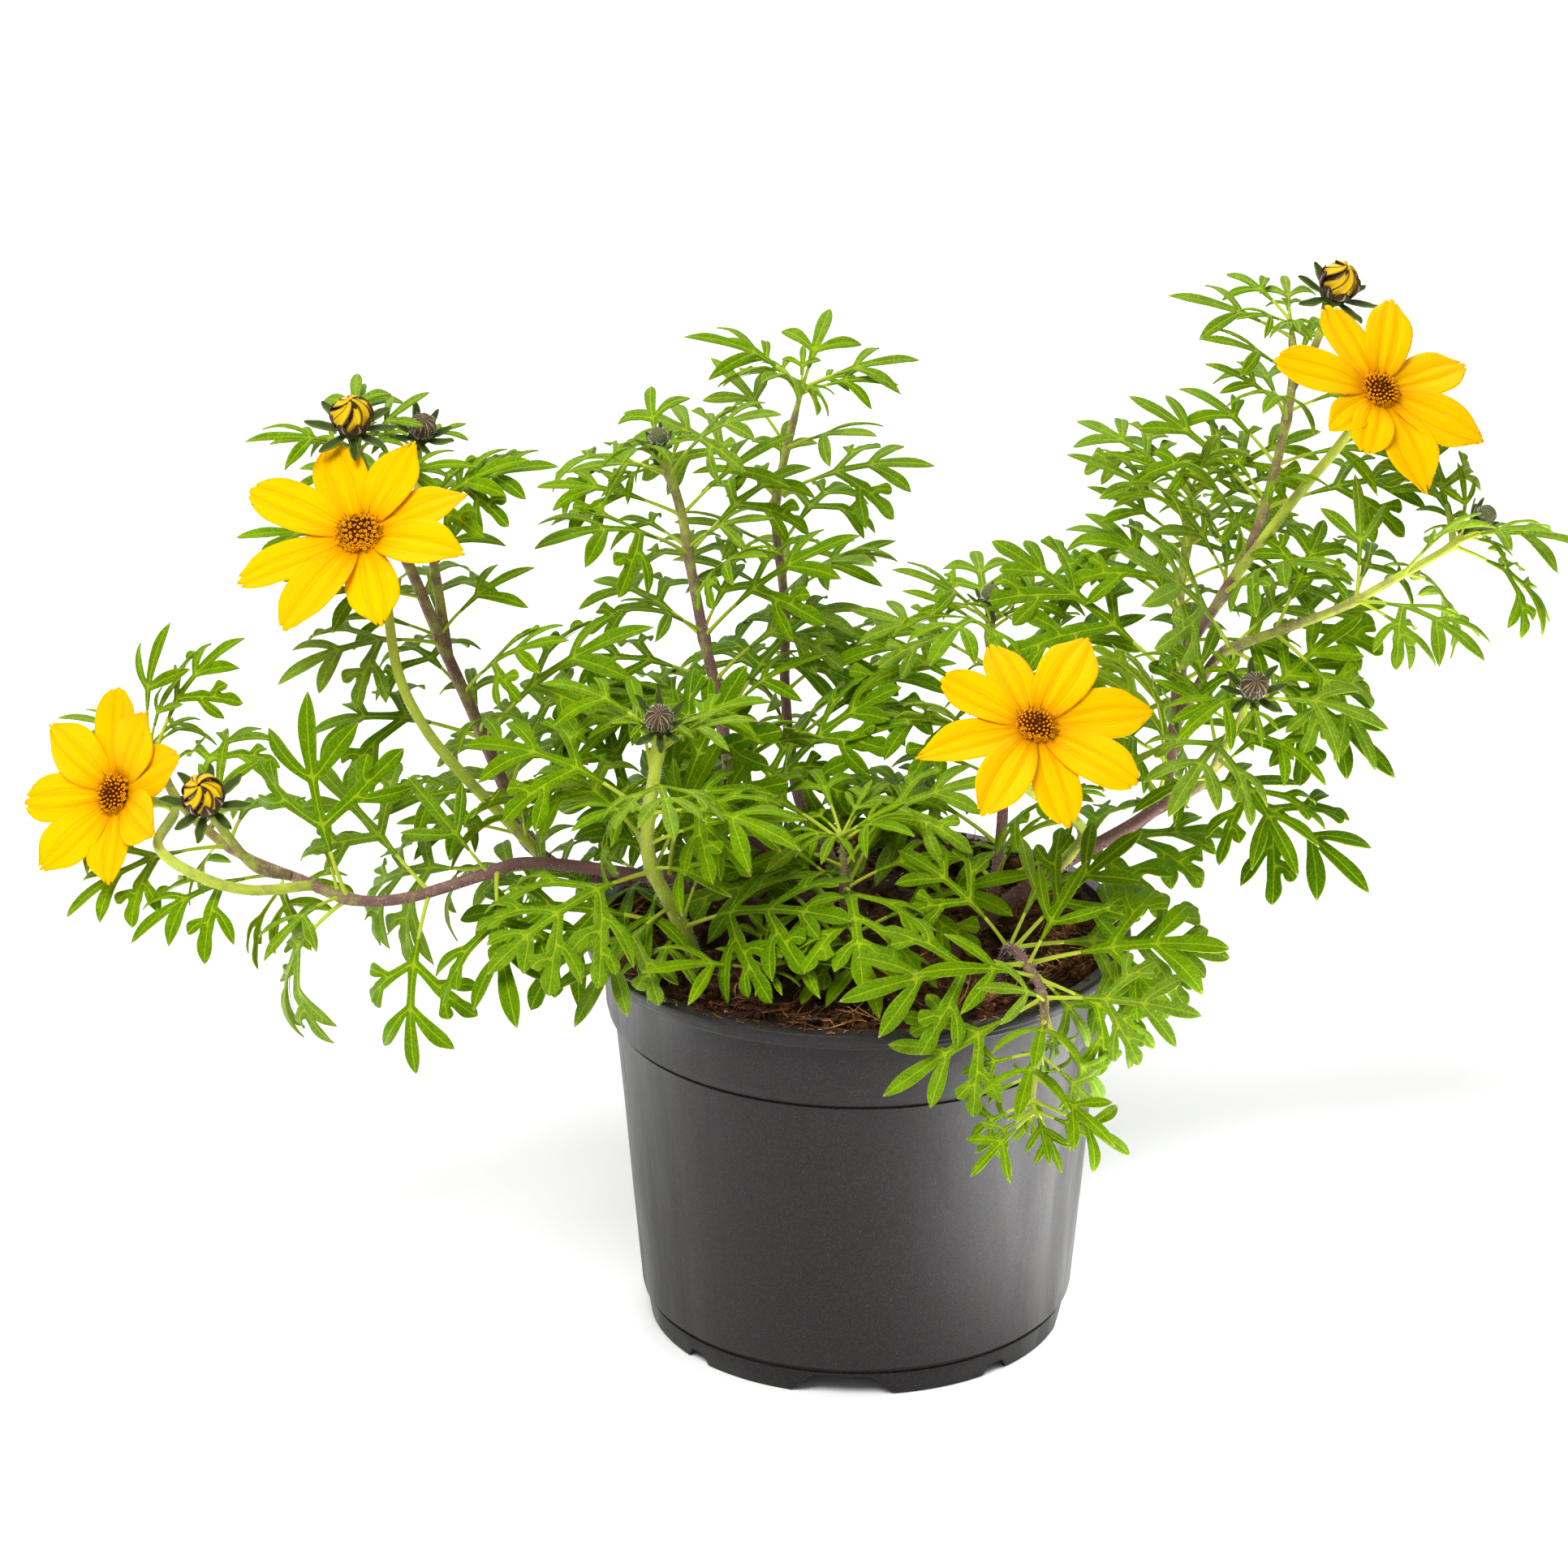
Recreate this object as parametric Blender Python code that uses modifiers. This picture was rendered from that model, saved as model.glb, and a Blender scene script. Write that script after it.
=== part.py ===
"""Potted bidens: a thin nursery pot filled with peat, leafy stems with finely cut leaves, blooms and buds.

Metres, +Z up. The pot stands on z = 0. The origin is under the middle of the plant's spread,
so the pot's axis stands a little to its right.
"""

from collections import namedtuple
from itertools import product
from math import asin, atan2, ceil, cos, degrees, pi, radians, sin
import random

import bmesh
import bpy
import numpy as np
from mathutils import Matrix, Vector

# The object and its place
OBJECT_NAME = "potted_bidens"
POT_AXIS = Vector((0.0129, -0.0059, 0.0))
FIT = 0.0003

# Pot
POT_HEIGHT = 0.092
LIP_RADIUS = 0.060
LIP_DEPTH = 0.0034
LIP_CROWN = 0.0012
LIP_CORNER = 0.0009
LIP_TAPER = 0.0004
LIP_FILLET = 0.0006
MOUTH_FLARE = 0.0004
COLLAR_RADIUS = 0.0561
COLLAR_FOOT_RADIUS = 0.0555
COLLAR_FOOT_Z = 0.0755
COLLAR_INNER_RISE = 0.0006
STEP_WIDTH = 0.0008
STEP_HEIGHT = 0.0004
BODY_TOP_RADIUS = 0.0538
BODY_TOP_Z = 0.0733
BODY_FOOT_RADIUS = 0.0481
BODY_FOOT_Z = 0.0068
FOOT_RADIUS = 0.0463
FOOT_STEP_WIDTH = 0.0008
FOOT_STEP_HEIGHT = 0.0005
FOOT_DRAFT = 0.0002
WALL = 0.0012
FLOOR_Z = 0.0050
POT_STEPS = 28
SHARP_ANGLE = radians(35)
NOTCH_TURN = radians(-94.5)
NOTCH_REACH = 0.008
WIDE_NOTCH = (0.0245, 0.0125, 0.0048)
NARROW_NOTCH = (0.0078, 0.0040, 0.0026)
DRAIN_RADIUS = 0.0040
DRAIN_RING = 0.030
DRAIN_SIDES = 7
CUT_OVERRUN = 0.001
MERGE_REACH = 1e-6
WELD_REACH = 1e-5

# Soil
SOIL_RIM_Z = 0.0882
SOIL_RADIUS = 0.0537
SOIL_RINGS = 3
SOIL_LUMP = 0.0009
SOIL_WAVES = (410.0, 365.0, 790.0, 610.0)
SOIL_PHASE = 1.0
SOIL_CROSS_LUMP = 0.6
SOIL_RIM_FADE = 3.0
MOUND_HEIGHT = 0.0030
MOUND_RADIUS = 0.030
MOUND_PLACE = (0.022, 0.026)
HOLE_FIT = 0.0005
HOLE_LENGTH = 0.030
HOLE_SIDES = 6

# Leaves. A leaf kind is its least length, then as shares of its length: the height of its lowest
# pair of lobes, and the number of its pairs. A lobe pair is its turn from the leaf's axis in degrees,
# its reach as a share of the leaf's length, and its width as a share of the common lobe width.
LEAF_THICKNESS = 0.00070
STALK_WIDTH = 0.0017
LEAF_ANGLE = radians(60)
LEAF_RISE = 0.15
LOBE_WIDTH_SHARE = 0.092
LEAF_KINDS = {"full": (0.049, 0.34, 2), "small": (0.034, 0.37, 2), "tiny": (0.0, 0.44, 1)}
LOBE_PAIRS = ((56, 0.44, 1.0), (43, 0.32, 0.95))
PAIR_SPACING = 0.22
LOBE_FOOT = 0.62
TIP_WIDTH = 1.2
TINY_WIDTH = 1.25
TOOTH = (48, 0.60)
TOOTH_START = 0.12
SIDE_SAG = 0.9
BELLY_PLAIN = 0.44
BELLY_TOOTHED = 0.34
LEAST_DROOP = 0.02

# Placing the leaves
LIGHT = Vector((0.0, -0.50, 0.80))
LIGHT_TILT = 0.35
NEAR_DEPTH = 0.9
LEAF_GAP = 0.0022
SAMPLE_STEP = 0.0022
BARE_STALK = 0.0070
SOIL_GAP = 0.0020
LIP_GAP = 0.0030
GROUND_GAP = 0.004
SPREAD_POWER = 0.85
WOBBLE = 14
SIZE_SPREAD = 0.08
DROOP_SPREAD = 12
SCALE_TRIES = (1.0, 0.84, 0.70)
DROOP_TRIES = (0, 22, -25)
TURN_TRIES = (0, 16, -16, 32, -32)
SEED = 7

# Blooms and buds
DISC_RADIUS = 0.0046
DISC_HEIGHT = 0.0032
PETAL_ROOT = 0.0042
PETAL_FOOT = 0.0027
PETAL_WIDTH = 0.0112
PETAL_BREADTH = 0.5
PETAL_ROWS = ((0.30, 0.80), (0.74, 0.94))
PETAL_BOW = 0.10
PETAL_GROOVE = 0.0012
PETAL_LAYER_TURN = 3
PETAL_LAYER_STEP = 0.0003
PETAL_LAYER_EASE = 4
PETAL_THICKNESS = 0.0007
HUB_HALF = PETAL_THICKNESS / 2
FLORET_SPOKES = 10
FLORET_RINGS = 9
FLORET_SWELL = (0.97, 1.14)
DISC_CUT = 0.02
FLORET_START = 0.05
CUP_DROP = 0.0062
CUP_FOOT_RADIUS = 0.0012
CUP_EDGE = 0.0012
BRACT_COUNT = 7
STALK_RUN = 3
STALK_OVERLAP = 0.001
YOUNG_RADIUS = 0.0021
YOUNG_RISE = 0.45
YOUNG_SPOKES = 7
YOUNG_RINGS = 4
BUD_SPOKES = 10
BUD_RINGS = 5
BUD_SIZES = {"opening": (0.0039, 0.0074), "closed": (0.0030, 0.0046)}
BUD_GROOVE = 0.88

# The balls that keep the leaves clear of the heads, their petals and the stems
HEAD_BALLS = {"bloom": 0.0050, "opening": 0.0050, "closed": 0.0040, "young": 0.0028}
HEAD_BALL_RISE = 0.003
BRACT_BALL = 0.0008
BRACT_BALL_TURN = 45
BRACT_BALL_SHARES = (0.4, 0.7, 1.0)
BRACT_BALL_REACH = 0.003
BRACT_BALL_DROP = 0.002
PETAL_BALL = 0.0010
PETAL_BALL_STEPS = 12
PETAL_BALL_SPOTS = (-0.0045, -0.0022, 0.0, 0.0022, 0.0045)
STEM_BALL_STEP = 0.0015
STEM_BALL_SHRINK = 0.0006

# Under a head of each kind: the cup's radius, the bracts' reach and how far their tips sink
RECEPTACLES = {
    "bloom": (0.0036, 0.0092, 0.0020),
    "opening": (0.0034, 0.0086, 0.0005),
    "closed": (0.0026, 0.0068, -0.0004),
    "young": (0.0018, 0.0044, -0.0012),
}
STEM_SPACING = 0.0150
STEM_LEAST_RINGS = 3

# Colours and roughness
FINISHES = {
    "pot_plastic": ((0.055, 0.053, 0.055), 0.45),
    "peat": ((0.045, 0.026, 0.016), 0.95),
    "foliage": ((0.115, 0.270, 0.030), 0.50),
    "petal_yellow": ((0.900, 0.560, 0.010), 0.50),
    "floret_orange": ((0.480, 0.190, 0.015), 0.70),
    "bud_yellow": ((0.620, 0.450, 0.030), 0.55),
    "bud_brown": ((0.110, 0.075, 0.045), 0.60),
}

# A shoot starts free, in the soil, or at a share of the length of an earlier shoot of the same stem.
# It carries pairs of leaves between two shares of its length, each pair turned a quarter from the
# last, and their sizes run from large to small. It may end in a head.
Shoot = namedtuple("Shoot", "fork route base tip pairs first last turn large small droop head")
Head = namedtuple("Head", "kind centre azimuth elevation lift petals")


def shoot(route, base, tip, leaves=None, fork=None, head=None):
    """A shoot from its route, its radius at the base and tip, and its leaves."""
    pairs, first, last, turn, large, small, droop = leaves or (0, 0, 0, 0, 0, 0, 0)
    return Shoot(fork, route, base, tip, pairs, first, last, turn, large, small, droop, head)


# Heads: the place of the middle, and the way that it faces, from the pot's axis.
# A petal is its turn round the bloom in degrees and its length.
HEADS = {
    "bloom_left_low": Head("bloom", (-0.159, -0.025, 0.133), -42, 27, 20, (
        (104, 0.0225), (72, 0.0205), (35, 0.0215), (346, 0.0210),
        (296, 0.0205), (247, 0.0230), (200, 0.0235), (154, 0.0225))),
    "bloom_left_high": Head("bloom", (-0.106, -0.015, 0.188), -20, 52, 8, (
        (123, 0.0250), (76, 0.0235), (34, 0.0235), (354, 0.0250),
        (299, 0.0235), (254, 0.0275), (213, 0.0270), (167, 0.0270))),
    "bloom_middle": Head("bloom", (0.036, -0.050, 0.158), 18, 56, 6, (
        (97, 0.0225), (49, 0.0260), (4, 0.0265), (313, 0.0240),
        (271, 0.0235), (229, 0.0275), (186, 0.0260), (141, 0.0215))),
    "bloom_right_high": Head("bloom", (0.110, 0.000, 0.215), 29, 49, 5, (
        (94, 0.0225), (58, 0.0240), (8, 0.0240), (317, 0.0240),
        (273, 0.0240), (234, 0.0170), (203, 0.0160), (152, 0.0235))),
    "bud_left_low": Head("opening", (-0.138, -0.042, 0.138), -10, 50, 0, ()),
    "bud_left_high": Head("opening", (-0.1085, 0.005, 0.206), 0, 62, 0, ()),
    "bud_right_high": Head("opening", (0.1026, 0.028, 0.2287), 35, 60, 0, ()),
    "bud_left_back": Head("closed", (-0.0945, 0.015, 0.2010), 20, 55, 0, ()),
    "bud_front": Head("closed", (-0.0425, -0.036, 0.1535), 0, 48, 0, ()),
    "bud_right": Head("closed", (0.0835, -0.019, 0.1545), 10, 45, 0, ()),
    "bud_middle": Head("young", (0.029, 0.022, 0.1600), 0, 80, 0, ()),
    "bud_right_tip": Head("young", (0.1335, 0.004, 0.1850), 70, 45, 0, ()),
    "bud_back_left": Head("young", (-0.0440, 0.041, 0.1900), 0, 75, 0, ()),
}

# The leafy stems, from the left round to the right
STEMS = {
    "leafy_stem_left_low": (
        shoot(((-0.023, 0.004, 0.074), (-0.024, 0.003, 0.091), (-0.036, -0.006, 0.103),
               (-0.050, -0.014, 0.110), (-0.071, -0.020, 0.115), (-0.080, -0.025, 0.1145),
               (-0.097, -0.030, 0.111), (-0.109, -0.032, 0.1115), (-0.119, -0.030, 0.115),
               (-0.134, -0.021, 0.118), (-0.147, -0.010, 0.125), (-0.155, 0.002, 0.136)),
              0.0018, 0.0011, (5, 0.24, 0.97, 20, 0.055, 0.036, 40)),
        shoot(((-0.130, -0.040, 0.117), (-0.141, -0.043, 0.122), (-0.149, -0.037, 0.126)),
              0.0013, 0.0012, fork=(0, 0.690), head="bloom_left_low"),
        shoot(((-0.129, -0.036, 0.121),), 0.0012, 0.0011, fork=(0, 0.720), head="bud_left_low"),
    ),
    "leafy_stem_left_tall": (
        shoot(((-0.019, 0.013, 0.074), (-0.021, 0.013, 0.090), (-0.040, 0.010, 0.098),
               (-0.060, 0.006, 0.101), (-0.072, 0.005, 0.109), (-0.078, 0.005, 0.124),
               (-0.084, 0.005, 0.140), (-0.090, 0.005, 0.155), (-0.095, 0.006, 0.168),
               (-0.101, 0.008, 0.182), (-0.106, 0.008, 0.193)),
              0.0019, 0.0012, (6, 0.24, 0.97, 10, 0.056, 0.033, 35), head="bud_left_high"),
        shoot(((-0.092, 0.010, 0.172), (-0.095, 0.014, 0.187)),
              0.0012, 0.0010, (1, 0.62, 0.62, 50, 0.040, 0.040, 25), (0, 0.690), "bud_left_back"),
        shoot(((-0.086, -0.008, 0.131), (-0.094, -0.012, 0.144), (-0.099, -0.013, 0.157)),
              0.0014, 0.0012, fork=(0, 0.400), head="bloom_left_high"),
    ),
    "leafy_stem_back_left": (
        shoot(((-0.013, 0.022, 0.074), (-0.014, 0.022, 0.091), (-0.026, 0.024, 0.109),
               (-0.031, 0.030, 0.134), (-0.034, 0.035, 0.146), (-0.037, 0.038, 0.162),
               (-0.039, 0.040, 0.174), (-0.042, 0.042, 0.183)),
              0.0017, 0.0011, (5, 0.28, 0.96, 35, 0.055, 0.037, 30), head="bud_back_left"),
    ),
    "leafy_stem_back": (
        shoot(((-0.004, 0.034, 0.074), (-0.005, 0.035, 0.091), (-0.013, 0.045, 0.104),
               (-0.016, 0.058, 0.124), (-0.016, 0.064, 0.142), (-0.018, 0.067, 0.159),
               (-0.018, 0.068, 0.168), (-0.016, 0.068, 0.178), (-0.012, 0.068, 0.195)),
              0.0015, 0.0009, (4, 0.36, 0.97, 5, 0.050, 0.036, 29)),
    ),
    "leafy_stem_front": (
        shoot(((-0.035, -0.013, 0.074), (-0.036, -0.015, 0.091), (-0.040, -0.021, 0.104),
               (-0.045, -0.029, 0.119), (-0.045, -0.033, 0.132), (-0.0435, -0.035, 0.142)),
              0.0020, 0.0014, (4, 0.32, 0.95, 50, 0.054, 0.038, 36), head="bud_front"),
    ),
    "leafy_stem_centre": (
        shoot(((-0.004, -0.010, 0.074), (-0.004, -0.011, 0.091), (-0.003, -0.015, 0.104),
               (-0.004, -0.016, 0.120)),
              0.0015, 0.0011, (3, 0.40, 0.96, 15, 0.054, 0.040, 36)),
    ),
    "leafy_stem_middle": (
        shoot(((0.029, 0.005, 0.074), (0.029, 0.005, 0.091), (0.031, 0.010, 0.103),
               (0.032, 0.015, 0.115), (0.031, 0.020, 0.131), (0.029, 0.022, 0.150)),
              0.0015, 0.0011, (4, 0.30, 0.95, 0, 0.053, 0.038, 30), head="bud_middle"),
    ),
    "leafy_stem_right_tall": (
        shoot(((0.021, -0.008, 0.074), (0.022, -0.008, 0.090), (0.034, -0.001, 0.099),
               (0.044, 0.000, 0.106), (0.062, 0.005, 0.115), (0.067, 0.008, 0.120),
               (0.069, 0.010, 0.134), (0.071, 0.012, 0.150), (0.079, 0.015, 0.163),
               (0.084, 0.018, 0.171), (0.088, 0.021, 0.181), (0.092, 0.025, 0.196),
               (0.094, 0.027, 0.210), (0.093, 0.027, 0.224)),
              0.0019, 0.0010, (6, 0.38, 0.97, 80, 0.053, 0.031, 32)),
        shoot(((0.046, -0.014, 0.115), (0.047, -0.026, 0.126)),
              0.0014, 0.0012, fork=(0, 0.240), head="bloom_middle"),
        shoot(((0.094, 0.016, 0.185), (0.101, 0.012, 0.196)),
              0.0013, 0.0011, fork=(0, 0.670), head="bloom_right_high"),
        shoot(((0.0990, 0.029, 0.2165),), 0.0010, 0.0010, fork=(0, 0.905), head="bud_right_high"),
        shoot(((0.070, 0.020, 0.158), (0.072, 0.027, 0.171), (0.073, 0.030, 0.183)),
              0.0014, 0.0009, (3, 0.42, 0.96, 20, 0.047, 0.036, 32), (0, 0.510)),
        shoot(((0.077, 0.005, 0.152), (0.083, 0.000, 0.158), (0.092, -0.004, 0.163),
               (0.104, -0.004, 0.168), (0.117, 0.000, 0.174), (0.127, 0.003, 0.179)),
              0.0013, 0.0009, (3, 0.30, 0.95, 0, 0.046, 0.037, 22), (0, 0.475), "bud_right_tip"),
        shoot(((0.075, 0.001, 0.125), (0.078, -0.007, 0.135), (0.081, -0.013, 0.144)),
              0.0013, 0.0010, (2, 0.34, 0.80, 30, 0.048, 0.040, 40), (0, 0.375), "bud_right"),
    ),
    "leafy_stem_front_right": (
        shoot(((0.031, -0.020, 0.074), (0.031, -0.022, 0.091), (0.032, -0.034, 0.101),
               (0.035, -0.047, 0.103), (0.038, -0.058, 0.101), (0.038, -0.065, 0.096),
               (0.036, -0.070, 0.088), (0.036, -0.072, 0.079)),
              0.0014, 0.0009, (5, 0.36, 0.96, 0, 0.050, 0.026, 43)),
    ),
    "seedling": (
        shoot(((-0.020, -0.033, 0.078), (-0.020, -0.034, 0.090), (-0.021, -0.036, 0.098)),
              0.0010, 0.0008, (1, 0.93, 0.93, 10, 0.028, 0.028, 18)),
    ),
}


def clear_scene():
    """Remove everything that the file starts with."""
    for thing in list(bpy.data.objects):
        bpy.data.objects.remove(thing, do_unlink=True)


def make_collection(name):
    """A new collection in the scene."""
    collection = bpy.data.collections.new(name)
    bpy.context.scene.collection.children.link(collection)
    return collection


def make_material(name):
    """A Principled material of one colour."""
    colour, roughness = FINISHES[name]
    material = bpy.data.materials.new(name)
    material.use_nodes = True
    shader = material.node_tree.nodes["Principled BSDF"]
    shader.inputs["Base Color"].default_value = (*colour, 1.0)
    shader.inputs["Roughness"].default_value = roughness
    shader.inputs["Metallic"].default_value = 0.0
    return material


def make_object(name, mesh, collection, material=None):
    """An object in a collection, with its material."""
    thing = bpy.data.objects.new(name, mesh)
    collection.objects.link(thing)
    if material:
        mesh.materials.clear()
        mesh.materials.append(material)
    return thing


def mesh_from(bm, name):
    """A mesh from a bmesh, which is freed."""
    mesh = bpy.data.meshes.new(name)
    bm.to_mesh(mesh)
    bm.free()
    return mesh


def bake(thing):
    """Put an object's modifiers into its mesh."""
    bpy.context.view_layer.update()
    graph = bpy.context.evaluated_depsgraph_get()
    mesh = bpy.data.meshes.new_from_object(thing.evaluated_get(graph))
    thing.modifiers.clear()
    old = thing.data
    thing.data = mesh
    bpy.data.meshes.remove(old)


def combine(thing, others, operation):
    """One exact Boolean between an object and a collection, whose objects are then removed."""
    modifier = thing.modifiers.new(operation.lower(), "BOOLEAN")
    modifier.operation = operation
    modifier.operand_type = "COLLECTION"
    modifier.collection = others
    modifier.solver = "EXACT"
    bake(thing)
    for other in list(others.objects):
        bpy.data.objects.remove(other, do_unlink=True)
    bpy.data.collections.remove(others)


def keep_largest(thing):
    """Drop the loose scraps that a union may leave, and split what is left into triangles."""
    bm = bmesh.new()
    bm.from_mesh(thing.data)
    bmesh.ops.remove_doubles(bm, verts=bm.verts, dist=MERGE_REACH)
    seen = set()
    groups = []
    for start in bm.verts:
        if start in seen:
            continue
        group = []
        waiting = [start]
        seen.add(start)
        while waiting:
            vertex = waiting.pop()
            group.append(vertex)
            for edge in vertex.link_edges:
                other = edge.other_vert(vertex)
                if other not in seen:
                    seen.add(other)
                    waiting.append(other)
        groups.append(group)
    groups.sort(key=len)
    for group in groups[:-1]:
        bmesh.ops.delete(bm, geom=group, context="VERTS")
    idle = [vertex for vertex in bm.verts if len(vertex.link_edges) == 2]
    bmesh.ops.dissolve_verts(bm, verts=idle)
    bmesh.ops.triangulate(bm, faces=bm.faces)
    bm.to_mesh(thing.data)
    bm.free()


def turned(name, profile, steps, collection, material):
    """A solid turned round the pot's axis from a profile of (radius, height) points."""
    bm = bmesh.new()
    points = [bm.verts.new((radius, 0.0, height)) for radius, height in profile]
    for one, other in zip(points, points[1:]):
        bm.edges.new((one, other))
    if profile[0][0] > 0 and profile[-1][0] > 0:
        bm.edges.new((points[-1], points[0]))
    thing = make_object(name, mesh_from(bm, name), collection, material)
    screw = thing.modifiers.new("turn", "SCREW")
    screw.steps = steps
    screw.render_steps = steps
    screw.use_merge_vertices = True
    screw.merge_threshold = WELD_REACH
    screw.use_normal_calculate = True
    bake(thing)
    thing.location = POT_AXIS
    return thing


def smooth(thing):
    """Shade round faces smooth and keep the sharp edges."""
    thing.data.shade_smooth()
    thing.data.set_sharp_from_angle(angle=SHARP_ANGLE)


def pot_profile():
    """The pot's section: down the outside, over the floor's underside and up the inside."""
    lip_bottom = POT_HEIGHT - LIP_DEPTH
    return (
        (LIP_RADIUS - LIP_CROWN, POT_HEIGHT),
        (LIP_RADIUS, POT_HEIGHT - LIP_CORNER),
        (LIP_RADIUS - LIP_TAPER, lip_bottom),
        (COLLAR_RADIUS, lip_bottom - LIP_FILLET),
        (COLLAR_FOOT_RADIUS, COLLAR_FOOT_Z),
        (BODY_TOP_RADIUS + STEP_WIDTH, BODY_TOP_Z + STEP_HEIGHT),
        (BODY_TOP_RADIUS, BODY_TOP_Z),
        (BODY_FOOT_RADIUS, BODY_FOOT_Z),
        (FOOT_RADIUS + FOOT_STEP_WIDTH, BODY_FOOT_Z - FOOT_STEP_HEIGHT),
        (FOOT_RADIUS, 0.0),
        (FOOT_RADIUS - WALL - FOOT_DRAFT, 0.0),
        (FOOT_RADIUS - WALL + FOOT_DRAFT, FLOOR_Z),
        (0.0, FLOOR_Z),
        (0.0, FLOOR_Z + WALL),
        (BODY_FOOT_RADIUS - WALL, FLOOR_Z + WALL),
        (BODY_TOP_RADIUS - WALL, BODY_TOP_Z + STEP_HEIGHT),
        (COLLAR_FOOT_RADIUS - WALL, COLLAR_FOOT_Z + COLLAR_INNER_RISE),
        (COLLAR_RADIUS - WALL, lip_bottom - LIP_FILLET),
        (COLLAR_RADIUS + MOUTH_FLARE, POT_HEIGHT),
    )


def notch_cutter(size, turn, cutters):
    """A wedge that opens a notch in the foot ring, wider at the bottom."""
    bottom, top, height = size
    bm = bmesh.new()
    bmesh.ops.create_cube(bm, size=1.0)
    for vertex in bm.verts:
        width = bottom if vertex.co.z < 0 else top
        vertex.co.x = FOOT_RADIUS + vertex.co.x * NOTCH_REACH
        vertex.co.y *= width
        vertex.co.z = height if vertex.co.z > 0 else -CUT_OVERRUN
    cutter = make_object("notch_cutter", mesh_from(bm, "notch_cutter"), cutters)
    cutter.matrix_world = Matrix.Translation(POT_AXIS) @ Matrix.Rotation(turn, 4, "Z")


def drain_cutter(turn, cutters):
    """A round drain hole through the pot's floor."""
    bm = bmesh.new()
    bmesh.ops.create_cone(bm, cap_ends=True, segments=DRAIN_SIDES, radius1=DRAIN_RADIUS,
                          radius2=DRAIN_RADIUS, depth=WALL + 2 * CUT_OVERRUN)
    cutter = make_object("drain_cutter", mesh_from(bm, "drain_cutter"), cutters)
    cutter.location = POT_AXIS + Vector((cos(turn), sin(turn), 0)) * DRAIN_RING
    cutter.location.z = FLOOR_Z + WALL / 2


def build_pot(collection, material):
    """The pot, with four wide and four narrow notches in its foot and four drain holes."""
    pot = turned("pot", pot_profile(), POT_STEPS, collection, material)
    cutters = make_collection("pot_cutters")
    for quarter in range(4):
        notch_cutter(WIDE_NOTCH, NOTCH_TURN + quarter * pi / 2, cutters)
        notch_cutter(NARROW_NOTCH, NOTCH_TURN + (quarter + 0.5) * pi / 2, cutters)
        drain_cutter(NOTCH_TURN + quarter * pi / 2, cutters)
    combine(pot, cutters, "DIFFERENCE")
    smooth(pot)
    return pot


def soil_height(x, y):
    """The soil's own surface over a point, from the pot's axis: low lumps and a mound at the back."""
    reach = (x * x + y * y) ** 0.5 / SOIL_RADIUS
    lumps = sin(x * SOIL_WAVES[0] + SOIL_PHASE) * cos(y * SOIL_WAVES[1])
    lumps += SOIL_CROSS_LUMP * sin(x * SOIL_WAVES[2] + y * SOIL_WAVES[3])
    aside = ((x - MOUND_PLACE[0]) ** 2 + (y - MOUND_PLACE[1]) ** 2) / MOUND_RADIUS ** 2
    fade = min(1.0, SOIL_RIM_FADE * (1.0 - reach))
    return SOIL_RIM_Z + SOIL_LUMP * lumps * fade + MOUND_HEIGHT * max(0.0, 1.0 - aside)


def build_soil(collection, material):
    """The soil: a plug that fills the pot, with a lumpy top and a plain hole for each stem."""
    inner_foot = BODY_FOOT_RADIUS - WALL - FIT
    inner_top = BODY_TOP_RADIUS - WALL - FIT
    floor = FLOOR_Z + WALL + FIT
    profile = [(SOIL_RADIUS * ring / SOIL_RINGS, SOIL_RIM_Z) for ring in range(SOIL_RINGS + 1)]
    profile += [(inner_top, BODY_TOP_Z), (inner_foot, floor), (0.0, floor)]
    soil = turned("soil", profile, POT_STEPS, collection, material)
    for vertex in soil.data.vertices:
        if vertex.co.z > SOIL_RIM_Z - WELD_REACH:
            vertex.co.z = soil_height(vertex.co.x, vertex.co.y)
    holes = make_collection("soil_cutters")
    for shoots in STEMS.values():
        main = shoots[0]
        foot = Vector(main.route[0])
        radius = main.base + HOLE_FIT
        bm = bmesh.new()
        bmesh.ops.create_cone(bm, cap_ends=True, segments=HOLE_SIDES, radius1=radius, radius2=radius,
                              depth=1.0)
        hole = make_object("stem_hole", mesh_from(bm, "stem_hole"), holes)
        up = (Vector(main.route[1]) - foot).normalized()
        start = foot - up * FIT
        end = foot + up * HOLE_LENGTH
        hole.matrix_world = (Matrix.Translation(POT_AXIS + (start + end) / 2)
                             @ up.to_track_quat("Z", "Y").to_matrix().to_4x4()
                             @ Matrix.Diagonal((1, 1, (end - start).length, 1)))
    combine(soil, holes, "DIFFERENCE")
    keep_largest(soil)
    return soil


def curve_point(route, share):
    """A point and direction on the smooth curve through a route's points."""
    lengths = [0.0]
    for one, other in zip(route, route[1:]):
        lengths.append(lengths[-1] + (other - one).length)
    place = share * lengths[-1]
    last = len(route) - 2
    index = next((i for i in range(last + 1) if place <= lengths[i + 1]), last)
    before = route[index - 1] if index > 0 else route[0] * 2 - route[1]
    start = route[index]
    end = route[index + 1]
    after = route[index + 2] if index + 2 < len(route) else end * 2 - start
    t = (place - lengths[index]) / (lengths[index + 1] - lengths[index])
    a = end - before
    b = before * 2 - start * 5 + end * 4 - after
    c = start * 3 - before - end * 3 + after
    point = start + (a * t + b * t * t + c * t * t * t) / 2
    heading = a + b * 2 * t + c * 3 * t * t
    return point, heading.normalized()


def route_length(route):
    """The length of a route, straight from point to point."""
    return sum((other - one).length for one, other in zip(route, route[1:]))


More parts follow.
